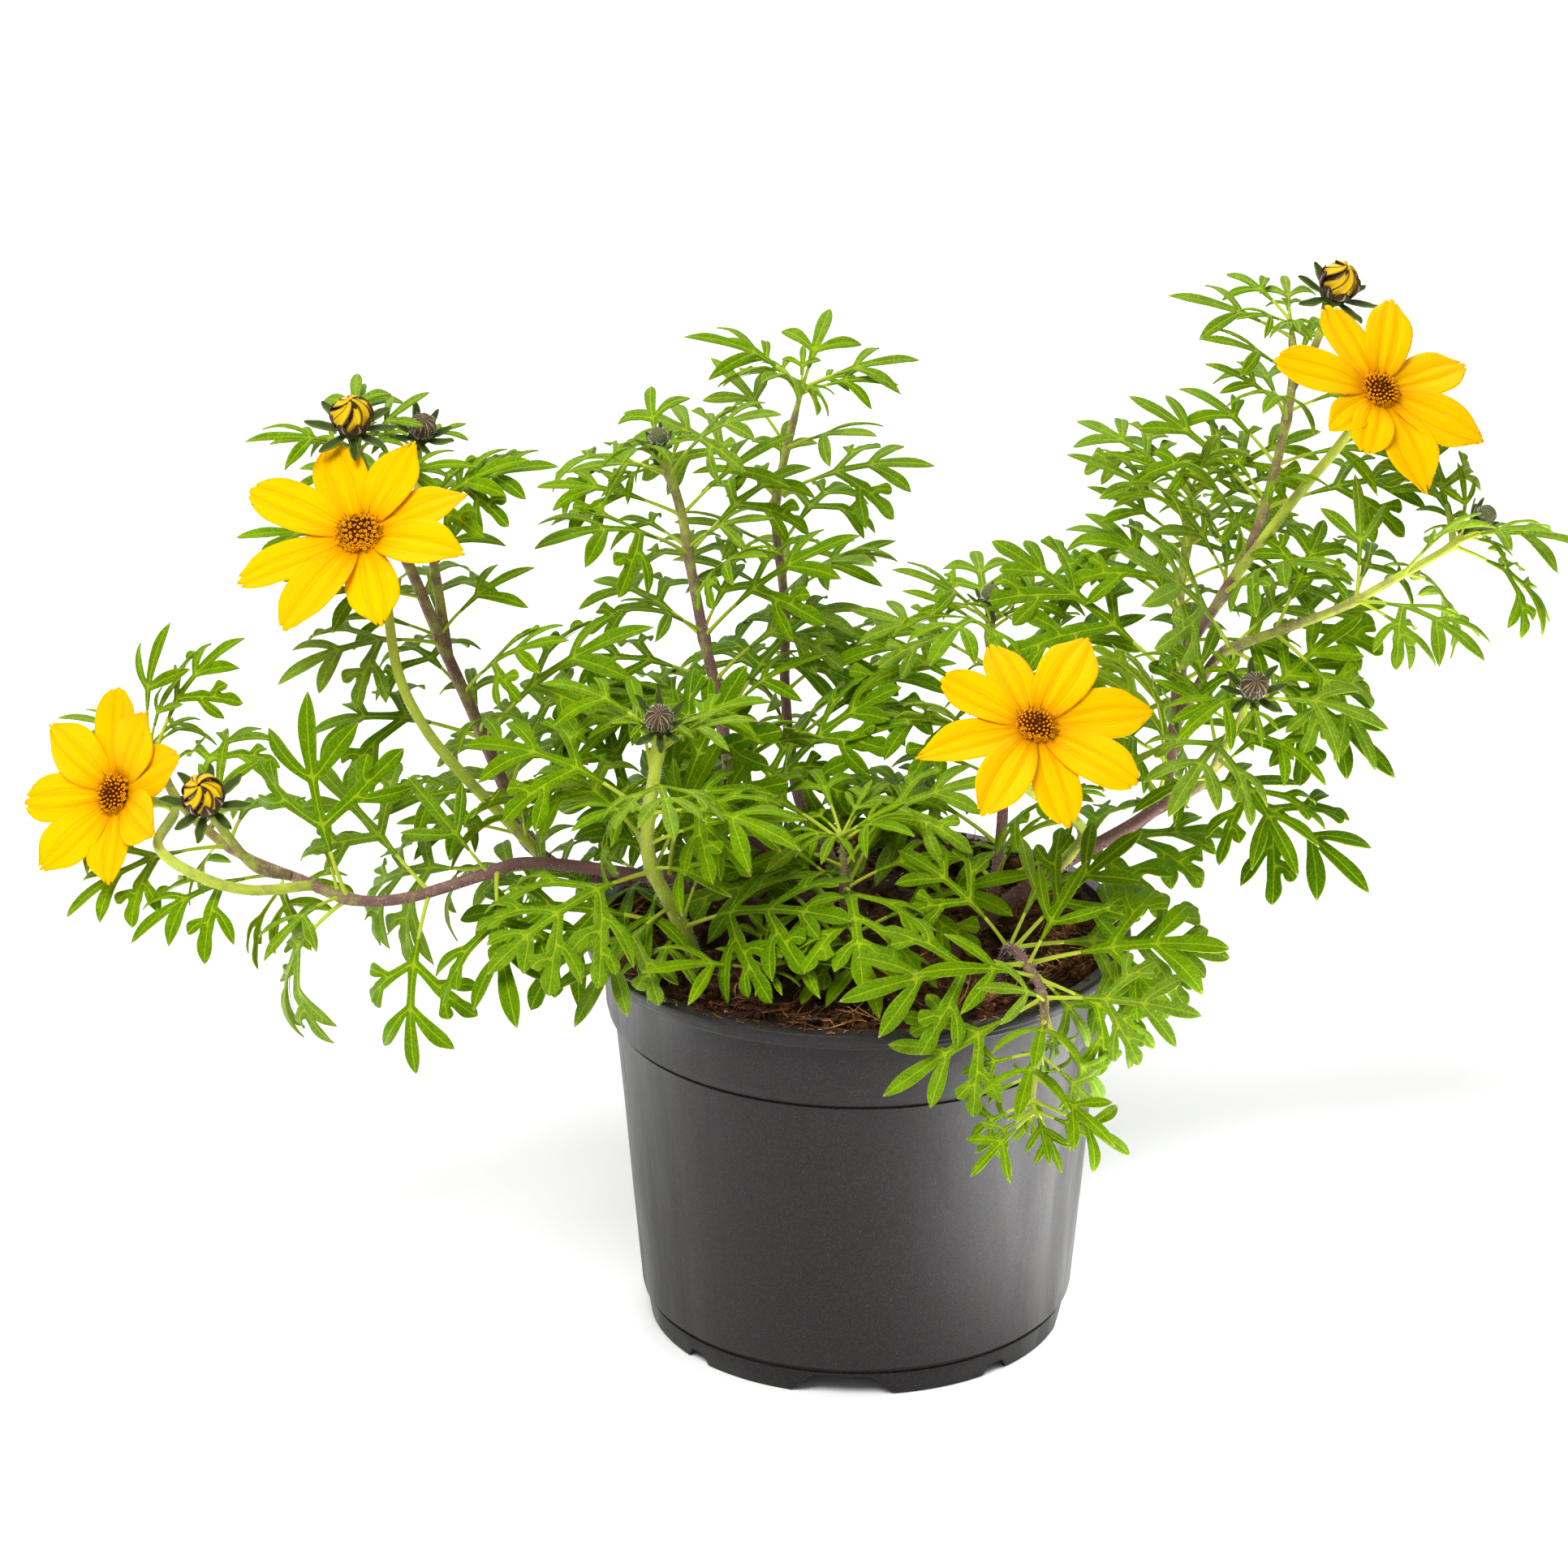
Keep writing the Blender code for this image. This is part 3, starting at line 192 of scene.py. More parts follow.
# The young leaves, which only this file has: at the joints, between the pairs and at a shoot's tip.
# A row is their turns, how far ahead of the joint they stand, and their share of the pair's size. The way
# ahead is a share of the shoot's length at the joints, and of the way to the next joint between the pairs.
JOINT_LEAVES = ((90, 270), 0.01, 0.62)
BETWEEN_LEAVES = ((40, 220), 0.45, 0.80)
TIP_PLACE = 0.985
TIP_SIZE = 0.016
LAST_PLACE = 0.99

# Blooms and buds
PETAL_ROOT = 0.0042
PETAL_WIDTH = 0.0112
PETAL_BOW = 0.10
PETAL_GROOVE = 0.0012
PETAL_LAYER_TURN = 3
PETAL_LAYER_STEP = 0.0003
PETAL_LAYER_EASE = 4
PETAL_BREADTH = 0.5
CUP_DROP = 0.0062
STALK_RUN = 3
STALK_OVERLAP = 0.001
BUD_SIZES = {"opening": (0.0039, 0.0074), "closed": (0.0030, 0.0046), "young": (0.0021, 0.0036)}
HEAD_BALLS = {"bloom": 0.0050, "opening": 0.0050, "closed": 0.0040, "young": 0.0028}
HEAD_BALL_RISE = 0.003
BRACT_BALL = 0.0008
BRACT_BALL_TURN = 45
BRACT_BALL_SHARES = (0.4, 0.7, 1.0)
BRACT_BALL_REACH = 0.003
BRACT_BALL_DROP = 0.002
PETAL_BALL = 0.0010
PETAL_BALL_STEPS = 12
PETAL_BALL_SPOTS = (-0.0045, -0.0022, 0.0, 0.0022, 0.0045)
STEM_BALL_STEP = 0.0015
STEM_BALL_SHRINK = 0.0006

# The fine leaves. A tree's row is a pair of lobes: the share of the leaf's length where it starts, its
# turn in degrees, its reach as a share of the length, and its own lobes. A lobe's own lobe is the share
# of the lobe's reach, its side (1 outer, -1 inner), its turn, and its reach as a share of the lobe's.
BLADE_TREES = {
    "full": ((0.37, 55, 0.42, ((0.34, 1, 46, 0.50), (0.50, -1, 42, 0.38), (0.66, 1, 38, 0.18))),
             (0.585, 43, 0.32, ((0.40, 1, 42, 0.44), (0.60, -1, 40, 0.20))),
             (0.76, 36, 0.15, ())),
    "small": ((0.395, 52, 0.39, ((0.40, 1, 44, 0.44), (0.58, -1, 40, 0.22))),
              (0.61, 41, 0.27, ())),
    "tiny": ((0.46, 48, 0.36, ()),),
}
BLADE_START = {"full": 0.24, "small": 0.24, "tiny": 0.26}
BLADE_WIDTH = 0.097
BLADE_END = ((0.15, 0.33), (0.40, 0.46), (0.64, 0.45), (0.85, 0.25))
BLADE_NECKS = (0.24, 0.32)
BLADE_FEET = (0.29, 0.30)
BLADE_CHEVRON = 0.45
SINUS_CREASE = 0.75
BLADE_THICKNESS = 0.00030
BLADE_FOOT_HALF = 0.00035
BLADE_TINY_WIDTH = 1.12
LOBE_APART = 1.15
NECK_BETWEEN = 0.9
NECK_AT = 1.25
NECK_PAST = 1.15
SHORT_LOBE = 0.2
SHORT_LOBE_WIDTH = 0.85
OWN_LOBE_WIDTH = 0.88
TONE_SPREAD = (-0.40, 0.30)
FOLD_SPREAD = 0.16
CURL_RANGE = (0.10, 0.42)
CURL_SHARES = (0.5, 0.85)
LEAST_REACH = 0.004
LOBE_SHIFT = (-0.012, 0.018)
EDGE_JITTER = 0.10
TURN_JITTER = 0.10
REACH_JITTER = 0.09
PLACE_JITTER = 0.05
RIPPLE_DEPTH = 0.10
RIPPLE_RATE = 900

# The disc: a dome and its florets
DOME_RADIUS = 0.0033
DOME_HEIGHT = 0.0019
FLORETS = 96
GOLDEN_TURN = 2.39996
DOME_STEPS = 8
DOME_SIDES = 24
DOME_FOOT = ((0.5, -0.0009), (0.95, -0.0006))
DOME_TOP = 0.00001
DOME_COVER = 0.96
# How dark the dome under the florets is painted: painted shade between the florets
DOME_SHADE = 0.9
FLORET_LOBES = 5
FLORET_HEIGHT = (0.00055, 0.00075)
FLORET_VARY = (0.75, 1.40)
FLORET_WIDTH = (0.00021, 0.00007)
FLORET_RIPE_WIDTH = 0.90
FLORET_SPREAD = 1.52
FLORET_LEAN = 0.85
FLORET_STRAY = 0.12
RIPE_STRAY = 0.10
CLOSED_DARK = 0.25
POST_DARK = 0.8
POST_TIP_DARK = (0.6, 1.0)
POST_HEIGHT = 0.5
POST_WIDTH = 0.6
POST_REACH = (1.2, 1.9)
POST_LEAN = 0.3
NO_POST = 0.4
GLOOM = (0.62, 1.1, 1.4)
LOBE_CURL = (1.7, 2.5)
LOBE_RISE = (0.70, 1.15)
LOBE_DARK = (0.0, 0.0, 0.1, 0.3)

# A floret's rings as radius, height and darkness, for a ripe one and for a closed one. The darkness, most at
# the foot, is painted shade between the florets.
RIPE_RINGS = ((0.5, 0.0, 1.0), (0.7, 0.45, 0.55), (1.15, 0.82, 0.0))
CLOSED_RINGS = ((0.5, 0.0, 1.0), (1.05, 0.62, 0.30), (0.85, 0.92, 0.0))

# From which share of a disc's radius its florets are ripe, and how much larger than the plain disc it is
RIPE_FROM = {"bloom_left_low": 0.80, "bloom_left_high": 0.12, "bloom_middle": 0.74,
             "bloom_right_high": 0.80}
DISC_SPREAD = {"bloom_left_low": 1.04, "bloom_left_high": 1.22, "bloom_middle": 1.06,
               "bloom_right_high": 1.04}

# Centimetres and millimetres in a metre, for UV maps, point values and the stems' routes
CM = 100
MM = 1000

# The turns that a random turn is drawn from, in radians
ANY_TURN = (0, 6.28)
ANY_TILT = (0, 3.14)
ANY_SPIN = (0, 6)

# Stems, leaf stalks and ribs
STEM_STEP = 0.0022
STEM_LEAST = 6
STEM_SIDES = 12
STEM_RIDGES = 4
STEM_RIDGE = 0.05
STEM_SLIM = 0.90
JOINT_SWELL = 0.26
JOINT_REACH = 0.0026
TIP_TAPER = 0.0080
TIP_LEAST = 0.25
NEAR_UPRIGHT = 0.9
PALE_STEMS = ("leafy_stem_front", "seedling")
STEM_AGES = {"flower": (0.28, 0.0), "fork": (0.60, 0.18), "pale": (0.20, 0.02), "main": (1.0, 0.35)}
STALK_SINK = 0.02
STALK_POINTS = 8
STALK_SIDES = 7
STALK_GIRTH = 0.00030
STALK_GROWTH = 0.005
STALK_FOOT = 1.35
STALK_FLARE = 0.35
STALK_TAPER = 0.030
STALK_AGE = 0.12
STALK_PALE = 0.6
RIB_GIRTH = (0.00030, 0.00022)
RIB_LEAST = 0.6
RIB_GROWTH = 8
RIB_SINK = 0.75
RIB_TAPER = 0.75
RIB_SIDES = 5

# Hairs: how dense they are on a plain length, and what a joint, the plant's foot and a pale stem add to it
HAIR_PLAIN = 0.45
HAIR_JOINT = 3.0
HAIR_FOOT = 0.9
HAIR_PALE = 0.8
HAIRY_HEIGHT = 0.135
HAIR_RADIUS = 0.00006
HAIR_LENGTH = (0.0005, 0.0014)
HAIR_LEAN = 0.5
HAIR_STRAY = 0.3
HAIR_SINK = 0.9
FRINGE_HAIRS = 240
FRINGE_FOOT = ((0.04, 0.30), (0.0006, 0.0015))
FRINGE_OVER = ((0.3, 0.85), (0.0003, 0.0007))
FRINGE_RISE = 1.3
FRINGE_SINK = 0.93
FRINGE_GIRTH = 1.5

# Petals. A pair or a row of three is a size with the power or the rate that shapes it.
PETAL_ROWS = 20
PETAL_COLUMNS = 16
PETAL_THICKNESS = 0.00028
PETAL_BELLY = 0.54
PETAL_TIPS = ((0.24, 2.1), (0.32, 2.3), (0.44, 2.4), (0.54, 2.7), (0.62, 2.9))
PETAL_WAIST = 0.30
PETAL_SWELL = 0.85
PETAL_REACH = 1.04
PETAL_CREASE = 0.00060
PETAL_SPREAD = (0.90, 1.12)
PETAL_TWIST = 0.26
PETAL_CUP = (-0.20, 0.30)
PETAL_CUPPING = (1.5, 0.07)
PETAL_FOOT = 0.70
PETAL_RELIEF = 0.4
GROOVE_PLACE = (0.24, 0.40)
GROOVE_WIDTH = 0.13
GROOVE_FADE = (1.02, 0.6)
END_ROUND = (0.115, 2.2)
END_NOTCH = (0.060, 1.1, 0.17)
END_DEPTH = (0.5, 1.3)
END_EASE = 2.5
END_NARROW = (0.05, 4)
EDGE_WAVE = (0.00035, 3, 8)
LONG_WAVE = (0.00050, 2, 4.2)

# The shared patterns: the grain beside the blotches, and the leaves' ribs, side veins and puckers
GRAIN_RATE = 9.0
RIB_WIDTH = (0.06, 0.26)
RIB_DEPTH = 0.9
VEIN_RATE = 46.0
VEIN_SLANT = 0.9
VEIN_FROM = 0.72
VEIN_DEPTH = 0.6
VEIN_WANDER = 0.06
WANDER_RATE = 700.0
PUCKER_RATE = 1250.0
PUCKER_EDGE = 0.16
PUCKER_DEPTH = 0.6
NET_SHARE = 0.5

# Under a head of each kind: the cup's radius, its bracts' reach, how far they rise and their width
CALYXES = {
    "bloom": (0.0036, 0.0088, -0.0010, 0.0019),
    "opening": (0.0033, 0.0102, 0.0012, 0.0022),
    "closed": (0.0026, 0.0078, 0.0032, 0.0018),
    "young": (0.0018, 0.0050, 0.0036, 0.0014),
}
LID_DROP = -0.00055
BRACTS = 8
BRACT_STEPS = 7
BRACT_THICKNESS = 0.00030
BRACT_FOOT = 0.75
BRACT_SINK = 0.0012
BRACT_RISE = 0.0011
BRACT_RISE_POWER = 1.4
BRACT_STRAY = 0.16
BRACT_REACH = (0.86, 1.08)
BRACT_BREADTH = (0.88, 1.12)
BRACT_WANDER = 0.01
INNER_FOOT = 0.8
INNER_REACH = 0.0048
INNER_RISE = 0.0004
INNER_WIDTH = 1.7
INNER_BROWN = 0.7
INNER_SINK = 0.0006
STRIP_HOLLOW = 0.40
STRIP_OUT = 0.4
STRIP_UP = 0.5
STRIP_ROUND = 0.5
LEAST_OUT = 0.001
CUP_SIDES = 20
CUP_STALK = ((0.0010, 1.0), (0.0012, 0.80))
CUP_WALL = ((0.50, 0.52), (0.84, 0.32))
CUP_LID = 0.97
CUP_RIDGE = 0.05

# A bud's body, and the folded petals and scales of an opening one
BODY_STEPS = 18
BODY_SIDES = 72
BODY_FOOT = 0.03
BODY_RIDGE = (0.94, 0.07)
OPENING_GIRTH = (0.985, 0.17, 0.80, 0.62)
CLOSED_GIRTH = (0.0006, 0.92)
CORE_SHARES = (0.86, 0.93)
FOLDS = 8
FOLD_STEPS = 11
FOLD_THICKNESS = 0.00026
FOLD_STRAY = 0.13
FOLD_SWING = (0.80, 1.55)
FOLD_BULGE = (0.95, 1.13)
FOLD_TOP = (0.93, 1.04)
FOLD_FOOT = (0.10, 0.90)
FOLD_LAYER = 0.0004
FOLD_CLOSE = (0.92, 5)
FOLD_POWER = 2.2
FOLD_WIDTH = 0.84
SCALE_STEPS = 8
SCALE_THICKNESS = 0.00024
SCALE_STRAY = 0.1
SCALE_TOP = (0.48, 0.74)
SCALE_OUT = (1.08, 0.00030)
SCALE_FOOT = 0.02
SCALE_WIDTH = 0.80
BRACT_SHAPE = (0.50, 0.72, 0.92, 1.0, 0.98, 0.84, 0.52)
FOLD_SHAPE = (0.80, 0.86, 0.90, 0.92, 0.92, 0.90, 0.84, 0.74, 0.62, 0.48, 0.34)
SCALE_SHAPE = (0.80, 0.95, 1.0, 1.0, 0.95, 0.82, 0.62, 0.36)

# Colours that no setting changes
LEAF_TIP = (0.42, 0.42, 0.20)
HAIR_COLOURS = ((0.80, 0.80, 0.72), (0.62, 0.62, 0.55))
POT_DUST = (0.30, 0.27, 0.24)
# The foot ring gets a less glossy copy of the plastic, so that it reads darker: painted shade near the floor
POT_GLOSS = (("pot_plastic", 0.27), ("pot_foot_shaded", 0.17))
BUD_SEAMS = 9

# Camera, and the lights as name, place, width and height, the place that they aim at, their spread and power
CAMERA_PLACE = (-0.0034, -1.2018, 0.6013)
CAMERA_TILT = radians(68.295)
CAMERA_LENS = 135.7
CAMERA_SENSOR = 36.0
CAMERA_NEAR = 0.05
WORLD_LIGHT = 0.47
LIGHTS = (
    ("key", (-0.45, -0.90, 1.55), (0.95, 0.95), (0, 0, 0.11), 180, 33.0),
    ("back", (0.00, 1.50, 1.60), (1.8, 1.8), (0, 0, 0.11), 180, 31.0),
    ("right_card", (0.24, -0.08, 0.10), (0.28, 0.20), (0.24, -0.08, 0.0), 90, 1.7),
    ("left_card", (-0.32, 0.04, 0.10), (0.24, 0.18), (-0.32, 0.04, 0.0), 90, 1.1),
)

Shoot = namedtuple("Shoot", "fork route base tip pairs first last turn large small droop head")
Head = namedtuple("Head", "kind centre azimuth elevation lift petals")
Leaf = namedtuple("Leaf", "kind size to_space youth")
PLAN = {}


def shoot(route, base, tip, leaves=None, fork=None, head=None):
    """A shoot from its route in millimetres, its radius at the base and tip, and its leaves."""
    route = [tuple(value / MM for value in point) for point in route]
    pairs, first, last, turn, large, small, droop = leaves or (0, 0, 0, 0, 0, 0, 0)
    return Shoot(fork, route, base, tip, pairs, first, last, turn, large, small, droop, head)


# Heads: the place of the middle, and the way that it faces, from the pot's axis.
# A petal is its turn round the bloom in degrees and its length.
HEADS = {
    "bloom_left_low": Head("bloom", (-0.159, -0.025, 0.133), -42, 27, 20, (
        (104, 0.0225), (72, 0.0205), (35, 0.0215), (346, 0.0210),
        (296, 0.0205), (247, 0.0230), (200, 0.0235), (154, 0.0225))),
    "bloom_left_high": Head("bloom", (-0.106, -0.015, 0.188), -20, 52, 8, (
        (123, 0.0250), (76, 0.0235), (34, 0.0235), (354, 0.0250),
        (299, 0.0235), (254, 0.0275), (213, 0.0270), (167, 0.0270))),
    "bloom_middle": Head("bloom", (0.036, -0.050, 0.158), 18, 56, 6, (
        (97, 0.0225), (49, 0.0260), (4, 0.0265), (313, 0.0240),
        (271, 0.0235), (229, 0.0275), (186, 0.0260), (141, 0.0215))),
    "bloom_right_high": Head("bloom", (0.110, 0.000, 0.215), 29, 49, 5, (
        (94, 0.0225), (58, 0.0240), (8, 0.0240), (317, 0.0240),
        (273, 0.0240), (234, 0.0170), (203, 0.0160), (152, 0.0235))),
    "bud_left_low": Head("opening", (-0.138, -0.042, 0.138), -10, 50, 0, ()),
    "bud_left_high": Head("opening", (-0.1085, 0.005, 0.206), 0, 62, 0, ()),
    "bud_right_high": Head("opening", (0.1026, 0.028, 0.2287), 35, 60, 0, ()),
    "bud_left_back": Head("closed", (-0.0945, 0.015, 0.2010), 20, 55, 0, ()),
    "bud_front": Head("closed", (-0.0425, -0.036, 0.1535), 0, 48, 0, ()),
    "bud_right": Head("closed", (0.0835, -0.019, 0.1545), 10, 45, 0, ()),
    "bud_middle": Head("young", (0.029, 0.022, 0.1600), 0, 80, 0, ()),
    "bud_right_tip": Head("young", (0.1335, 0.004, 0.1850), 70, 45, 0, ()),
    "bud_back_left": Head("young", (-0.0440, 0.041, 0.1900), 0, 75, 0, ()),
}

# The leafy stems, from the left round to the right, their routes in millimetres from the pot's axis
STEMS = {
    "leafy_stem_left_low": (
        shoot(((-23, 4, 74), (-24, 3, 91), (-36, -6, 103), (-50, -14, 110), (-71, -20, 115),
              (-80, -25, 114.5), (-97, -30, 111), (-109, -32, 111.5), (-119, -30, 115),
              (-134, -21, 118), (-147, -10, 125), (-155, 2, 136)), 0.0018, 0.0011, (5, 0.24, 0.97, 20,
              0.055, 0.036, 40)),
        shoot(((-130, -40, 117), (-141, -43, 122), (-149, -37, 126)), 0.0013, 0.0012, fork=(0, 0.690),
              head="bloom_left_low"),
        shoot(((-129, -36, 121),), 0.0012, 0.0011, fork=(0, 0.720), head="bud_left_low"),
    ),
    "leafy_stem_left_tall": (
        shoot(((-19, 13, 74), (-21, 13, 90), (-40, 10, 98), (-60, 6, 101), (-72, 5, 109), (-78, 5, 124),
              (-84, 5, 140), (-90, 5, 155), (-95, 6, 168), (-101, 8, 182), (-106, 8, 193)), 0.0019,
              0.0012, (6, 0.24, 0.97, 10, 0.056, 0.033, 35), head="bud_left_high"),
        shoot(((-92, 10, 172), (-95, 14, 187)), 0.0012, 0.0010, (1, 0.62, 0.62, 50, 0.040, 0.040, 25),
              (0, 0.690), "bud_left_back"),
        shoot(((-86, -8, 131), (-94, -12, 144), (-99, -13, 157)), 0.0014, 0.0012, fork=(0, 0.400),
              head="bloom_left_high"),
    ),
    "leafy_stem_back_left": (
        shoot(((-13, 22, 74), (-14, 22, 91), (-26, 24, 109), (-31, 30, 134), (-34, 35, 146),
              (-37, 38, 162), (-39, 40, 174), (-42, 42, 183)), 0.0017, 0.0011, (5, 0.28, 0.96, 35,
              0.055, 0.037, 30), head="bud_back_left"),
    ),
    "leafy_stem_back": (
        shoot(((-4, 34, 74), (-5, 35, 91), (-13, 45, 104), (-16, 58, 124), (-16, 64, 142),
              (-18, 67, 159), (-18, 68, 168), (-16, 68, 178), (-12, 68, 195)), 0.0015, 0.0009, (4, 0.36,
              0.97, 5, 0.050, 0.036, 29)),
    ),
    "leafy_stem_front": (
        shoot(((-35, -13, 74), (-36, -15, 91), (-40, -21, 104), (-45, -29, 119), (-45, -33, 132),
              (-43.5, -35, 142)), 0.0020, 0.0014, (4, 0.32, 0.95, 50, 0.054, 0.038, 36),
              head="bud_front"),
    ),
    "leafy_stem_centre": (
        shoot(((-4, -10, 74), (-4, -11, 91), (-3, -15, 104), (-4, -16, 120)), 0.0015, 0.0011, (3, 0.40,
              0.96, 15, 0.054, 0.040, 36)),
    ),
    "leafy_stem_middle": (
        shoot(((29, 5, 74), (29, 5, 91), (31, 10, 103), (32, 15, 115), (31, 20, 131), (29, 22, 150)),
              0.0015, 0.0011, (4, 0.30, 0.95, 0, 0.053, 0.038, 30), head="bud_middle"),
    ),
    "leafy_stem_right_tall": (
        shoot(((21, -8, 74), (22, -8, 90), (34, -1, 99), (44, 0, 106), (62, 5, 115), (67, 8, 120),
              (69, 10, 134), (71, 12, 150), (79, 15, 163), (84, 18, 171), (88, 21, 181), (92, 25, 196),
              (94, 27, 210), (93, 27, 224)), 0.0019, 0.0010, (6, 0.38, 0.97, 80, 0.053, 0.031, 32)),
        shoot(((46, -14, 115), (47, -26, 126)), 0.0014, 0.0012, fork=(0, 0.240), head="bloom_middle"),
        shoot(((94, 16, 185), (101, 12, 196)), 0.0013, 0.0011, fork=(0, 0.670),
              head="bloom_right_high"),
        shoot(((99, 29, 216.5),), 0.0010, 0.0010, fork=(0, 0.905), head="bud_right_high"),
        shoot(((70, 20, 158), (72, 27, 171), (73, 30, 183)), 0.0014, 0.0009, (3, 0.42, 0.96, 20, 0.047,
              0.036, 32), (0, 0.510)),
        shoot(((77, 5, 152), (83, 0, 158), (92, -4, 163), (104, -4, 168), (117, 0, 174), (127, 3, 179)),
              0.0013, 0.0009, (3, 0.30, 0.95, 0, 0.046, 0.037, 22), (0, 0.475), "bud_right_tip"),
        shoot(((75, 1, 125), (78, -7, 135), (81, -13, 144)), 0.0013, 0.0010, (2, 0.34, 0.80, 30, 0.048,
              0.040, 40), (0, 0.375), "bud_right"),
    ),
    "leafy_stem_front_right": (
        shoot(((31, -20, 74), (31, -22, 91), (32, -34, 101), (35, -47, 103), (38, -58, 101),
              (38, -65, 96), (36, -70, 88), (36, -72, 79)), 0.0014, 0.0009, (5, 0.36, 0.96, 0, 0.050,
              0.026, 43)),
    ),
    "seedling": (
        shoot(((-20, -33, 78), (-20, -34, 90), (-21, -36, 98)), 0.0010, 0.0008, (1, 0.93, 0.93, 10,
              0.028, 0.028, 18)),
    ),
}


def curve_point(route, share):
    """A point and direction on the smooth curve through a route's points."""
    lengths = [0.0]
    for one, other in zip(route, route[1:]):
        lengths.append(lengths[-1] + (other - one).length)
    place = share * lengths[-1]
    last = len(route) - 2
    index = next((i for i in range(last + 1) if place <= lengths[i + 1]), last)
    before = route[index - 1] if index > 0 else route[0] * 2 - route[1]
    start = route[index]
    end = route[index + 1]
    after = route[index + 2] if index + 2 < len(route) else end * 2 - start
    t = (place - lengths[index]) / (lengths[index + 1] - lengths[index])
    a = end - before
    b = before * 2 - start * 5 + end * 4 - after
    c = start * 3 - before - end * 3 + after
    point = start + (a * t + b * t * t + c * t * t * t) / 2
    heading = a + b * 2 * t + c * 3 * t * t
    return point, heading.normalized()


def route_length(route):
    """The length of a route, straight from point to point."""
    return sum((other - one).length for one, other in zip(route, route[1:]))


def facing(head):
    """The way that a head faces."""
    azimuth = radians(head.azimuth)
    elevation = radians(head.elevation)
    return Vector((sin(azimuth) * cos(elevation), -cos(azimuth) * cos(elevation), sin(elevation)))


def head_matrix(head):
    """The place of a head, its face along the matrix's +Z and its highest side along +Y."""
    normal = facing(head)
    right = Vector((0, 0, 1)).cross(normal).normalized()
    up = normal.cross(right)
    turn = Matrix((right, up, normal)).transposed().to_4x4()
    return Matrix.Translation(Vector(head.centre)) @ turn


def full_routes(shoots):
    """Each shoot's whole route, with the point that it forks from and the way into its head."""
    routes = []
    for part in shoots:
        route = [Vector(point) for point in part.route]
        if part.fork:
            route.insert(0, curve_point(routes[part.fork[0]], part.fork[1])[0])
        if part.head:
            head = HEADS[part.head]
            centre = Vector(head.centre)
            if head.kind == "bloom":
                route.append(centre - facing(head) * CUP_DROP * STALK_RUN)
            route.append(centre - facing(head) * (CUP_DROP - STALK_OVERLAP))
        routes.append(route)
    return routes


def petal_point(length, head, layer, along, across):
    """A point of a petal, from its place along the petal and across it."""
    lift = radians(head.lift + layer * PETAL_LAYER_TURN)
    share = max(0.0, (along - PETAL_ROOT) / (length - PETAL_ROOT))
    rise = sin(lift) * (along - PETAL_ROOT) - PETAL_BOW * length * share ** 2
    ease = min(1, share * PETAL_LAYER_EASE)
    rise += PETAL_GROOVE * abs(across) / PETAL_WIDTH + layer * PETAL_LAYER_STEP * ease
    return Vector((PETAL_ROOT + (along - PETAL_ROOT) * cos(lift), across, rise))


def grow(bm, foot, heading, reach, width, teeth=()):
    """Grow a plain pointed lobe in a leaf's plane from an edge, with a tooth on one side or both."""
    along = Vector((sin(heading), cos(heading), 0.0))
    across = Vector((cos(heading), -sin(heading), 0.0))
    middle = (foot[0].co + foot[1].co) / 2
    belly = middle + along * reach * (BELLY_TOOTHED if teeth else BELLY_PLAIN)
    left = bm.verts.new(belly - across * width / 2)
    right = bm.verts.new(belly + across * width / 2)
    tip = bm.verts.new(middle + along * reach)
    bm.faces.new((foot[0], foot[1], right, left))
    bm.faces.new((left, right, tip))
    for side, spread, share in teeth:
        edge = (right, foot[1]) if side > 0 else (foot[0], left)
        turn = heading + side * radians(spread)
        aside = Vector((sin(turn), cos(turn), 0.0))
        point = middle + (along * TOOTH_START + aside * share) * reach
        bm.faces.new((edge[0], edge[1], bm.verts.new(point)))


def plain_leaf(size, kind):
    """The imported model's leaf in its own plane: the stalk runs from the origin along +Y."""
    bm = bmesh.new()
    lowest, pairs = LEAF_KINDS[kind][1:]
    width = LOBE_WIDTH_SHARE * size * (TINY_WIDTH if kind == "tiny" else 1.0)
    heights = [0.0]
    for pair in range(pairs):
        height = (lowest + PAIR_SPACING * pair) * size
        heights += [height, height + LOBE_FOOT * width]
    rows = []
    for height in heights:
        rows.append([bm.verts.new((side * STALK_WIDTH / 2, height, 0)) for side in (-1, 1)])
    for lower, upper in zip(rows, rows[1:]):
        bm.faces.new((lower[0], lower[1], upper[1], upper[0]))
    grow(bm, rows[-1], 0.0, size - heights[-1], width * TIP_WIDTH)
    for pair in range(pairs):
        turn, reach, breadth = LOBE_PAIRS[pair]
        lower = rows[2 * pair + 1]
        upper = rows[2 * pair + 2]
        for side in (-1, 1):
            edge = (upper[1], lower[1]) if side > 0 else (lower[0], upper[0])
            teeth = ((side, *TOOTH),) if kind == "full" else ()
            grow(bm, edge, side * radians(turn), reach * size, width * breadth, teeth)
    bmesh.ops.triangulate(bm, faces=bm.faces)
    return bm


def leaf_space(size, place, heading, normal, droop):
    """A function that bends a leaf's own plane into space: it arches along its length and sideways."""
    side = heading.cross(normal).normalized()
    normal = side.cross(heading).normalized()
    rate = max(droop, LEAST_DROOP) / size

    def to_space(x, y, z=0.0):
        turn = rate * y
        middle = heading * sin(turn) / rate - normal * (1 - cos(turn)) / rate
        local = normal * cos(turn) + heading * sin(turn)
        sag = SIDE_SAG * abs(x) / size
        return place + middle + side * x * cos(sag) - local * (abs(x) * sin(sag) - z)

    return to_space


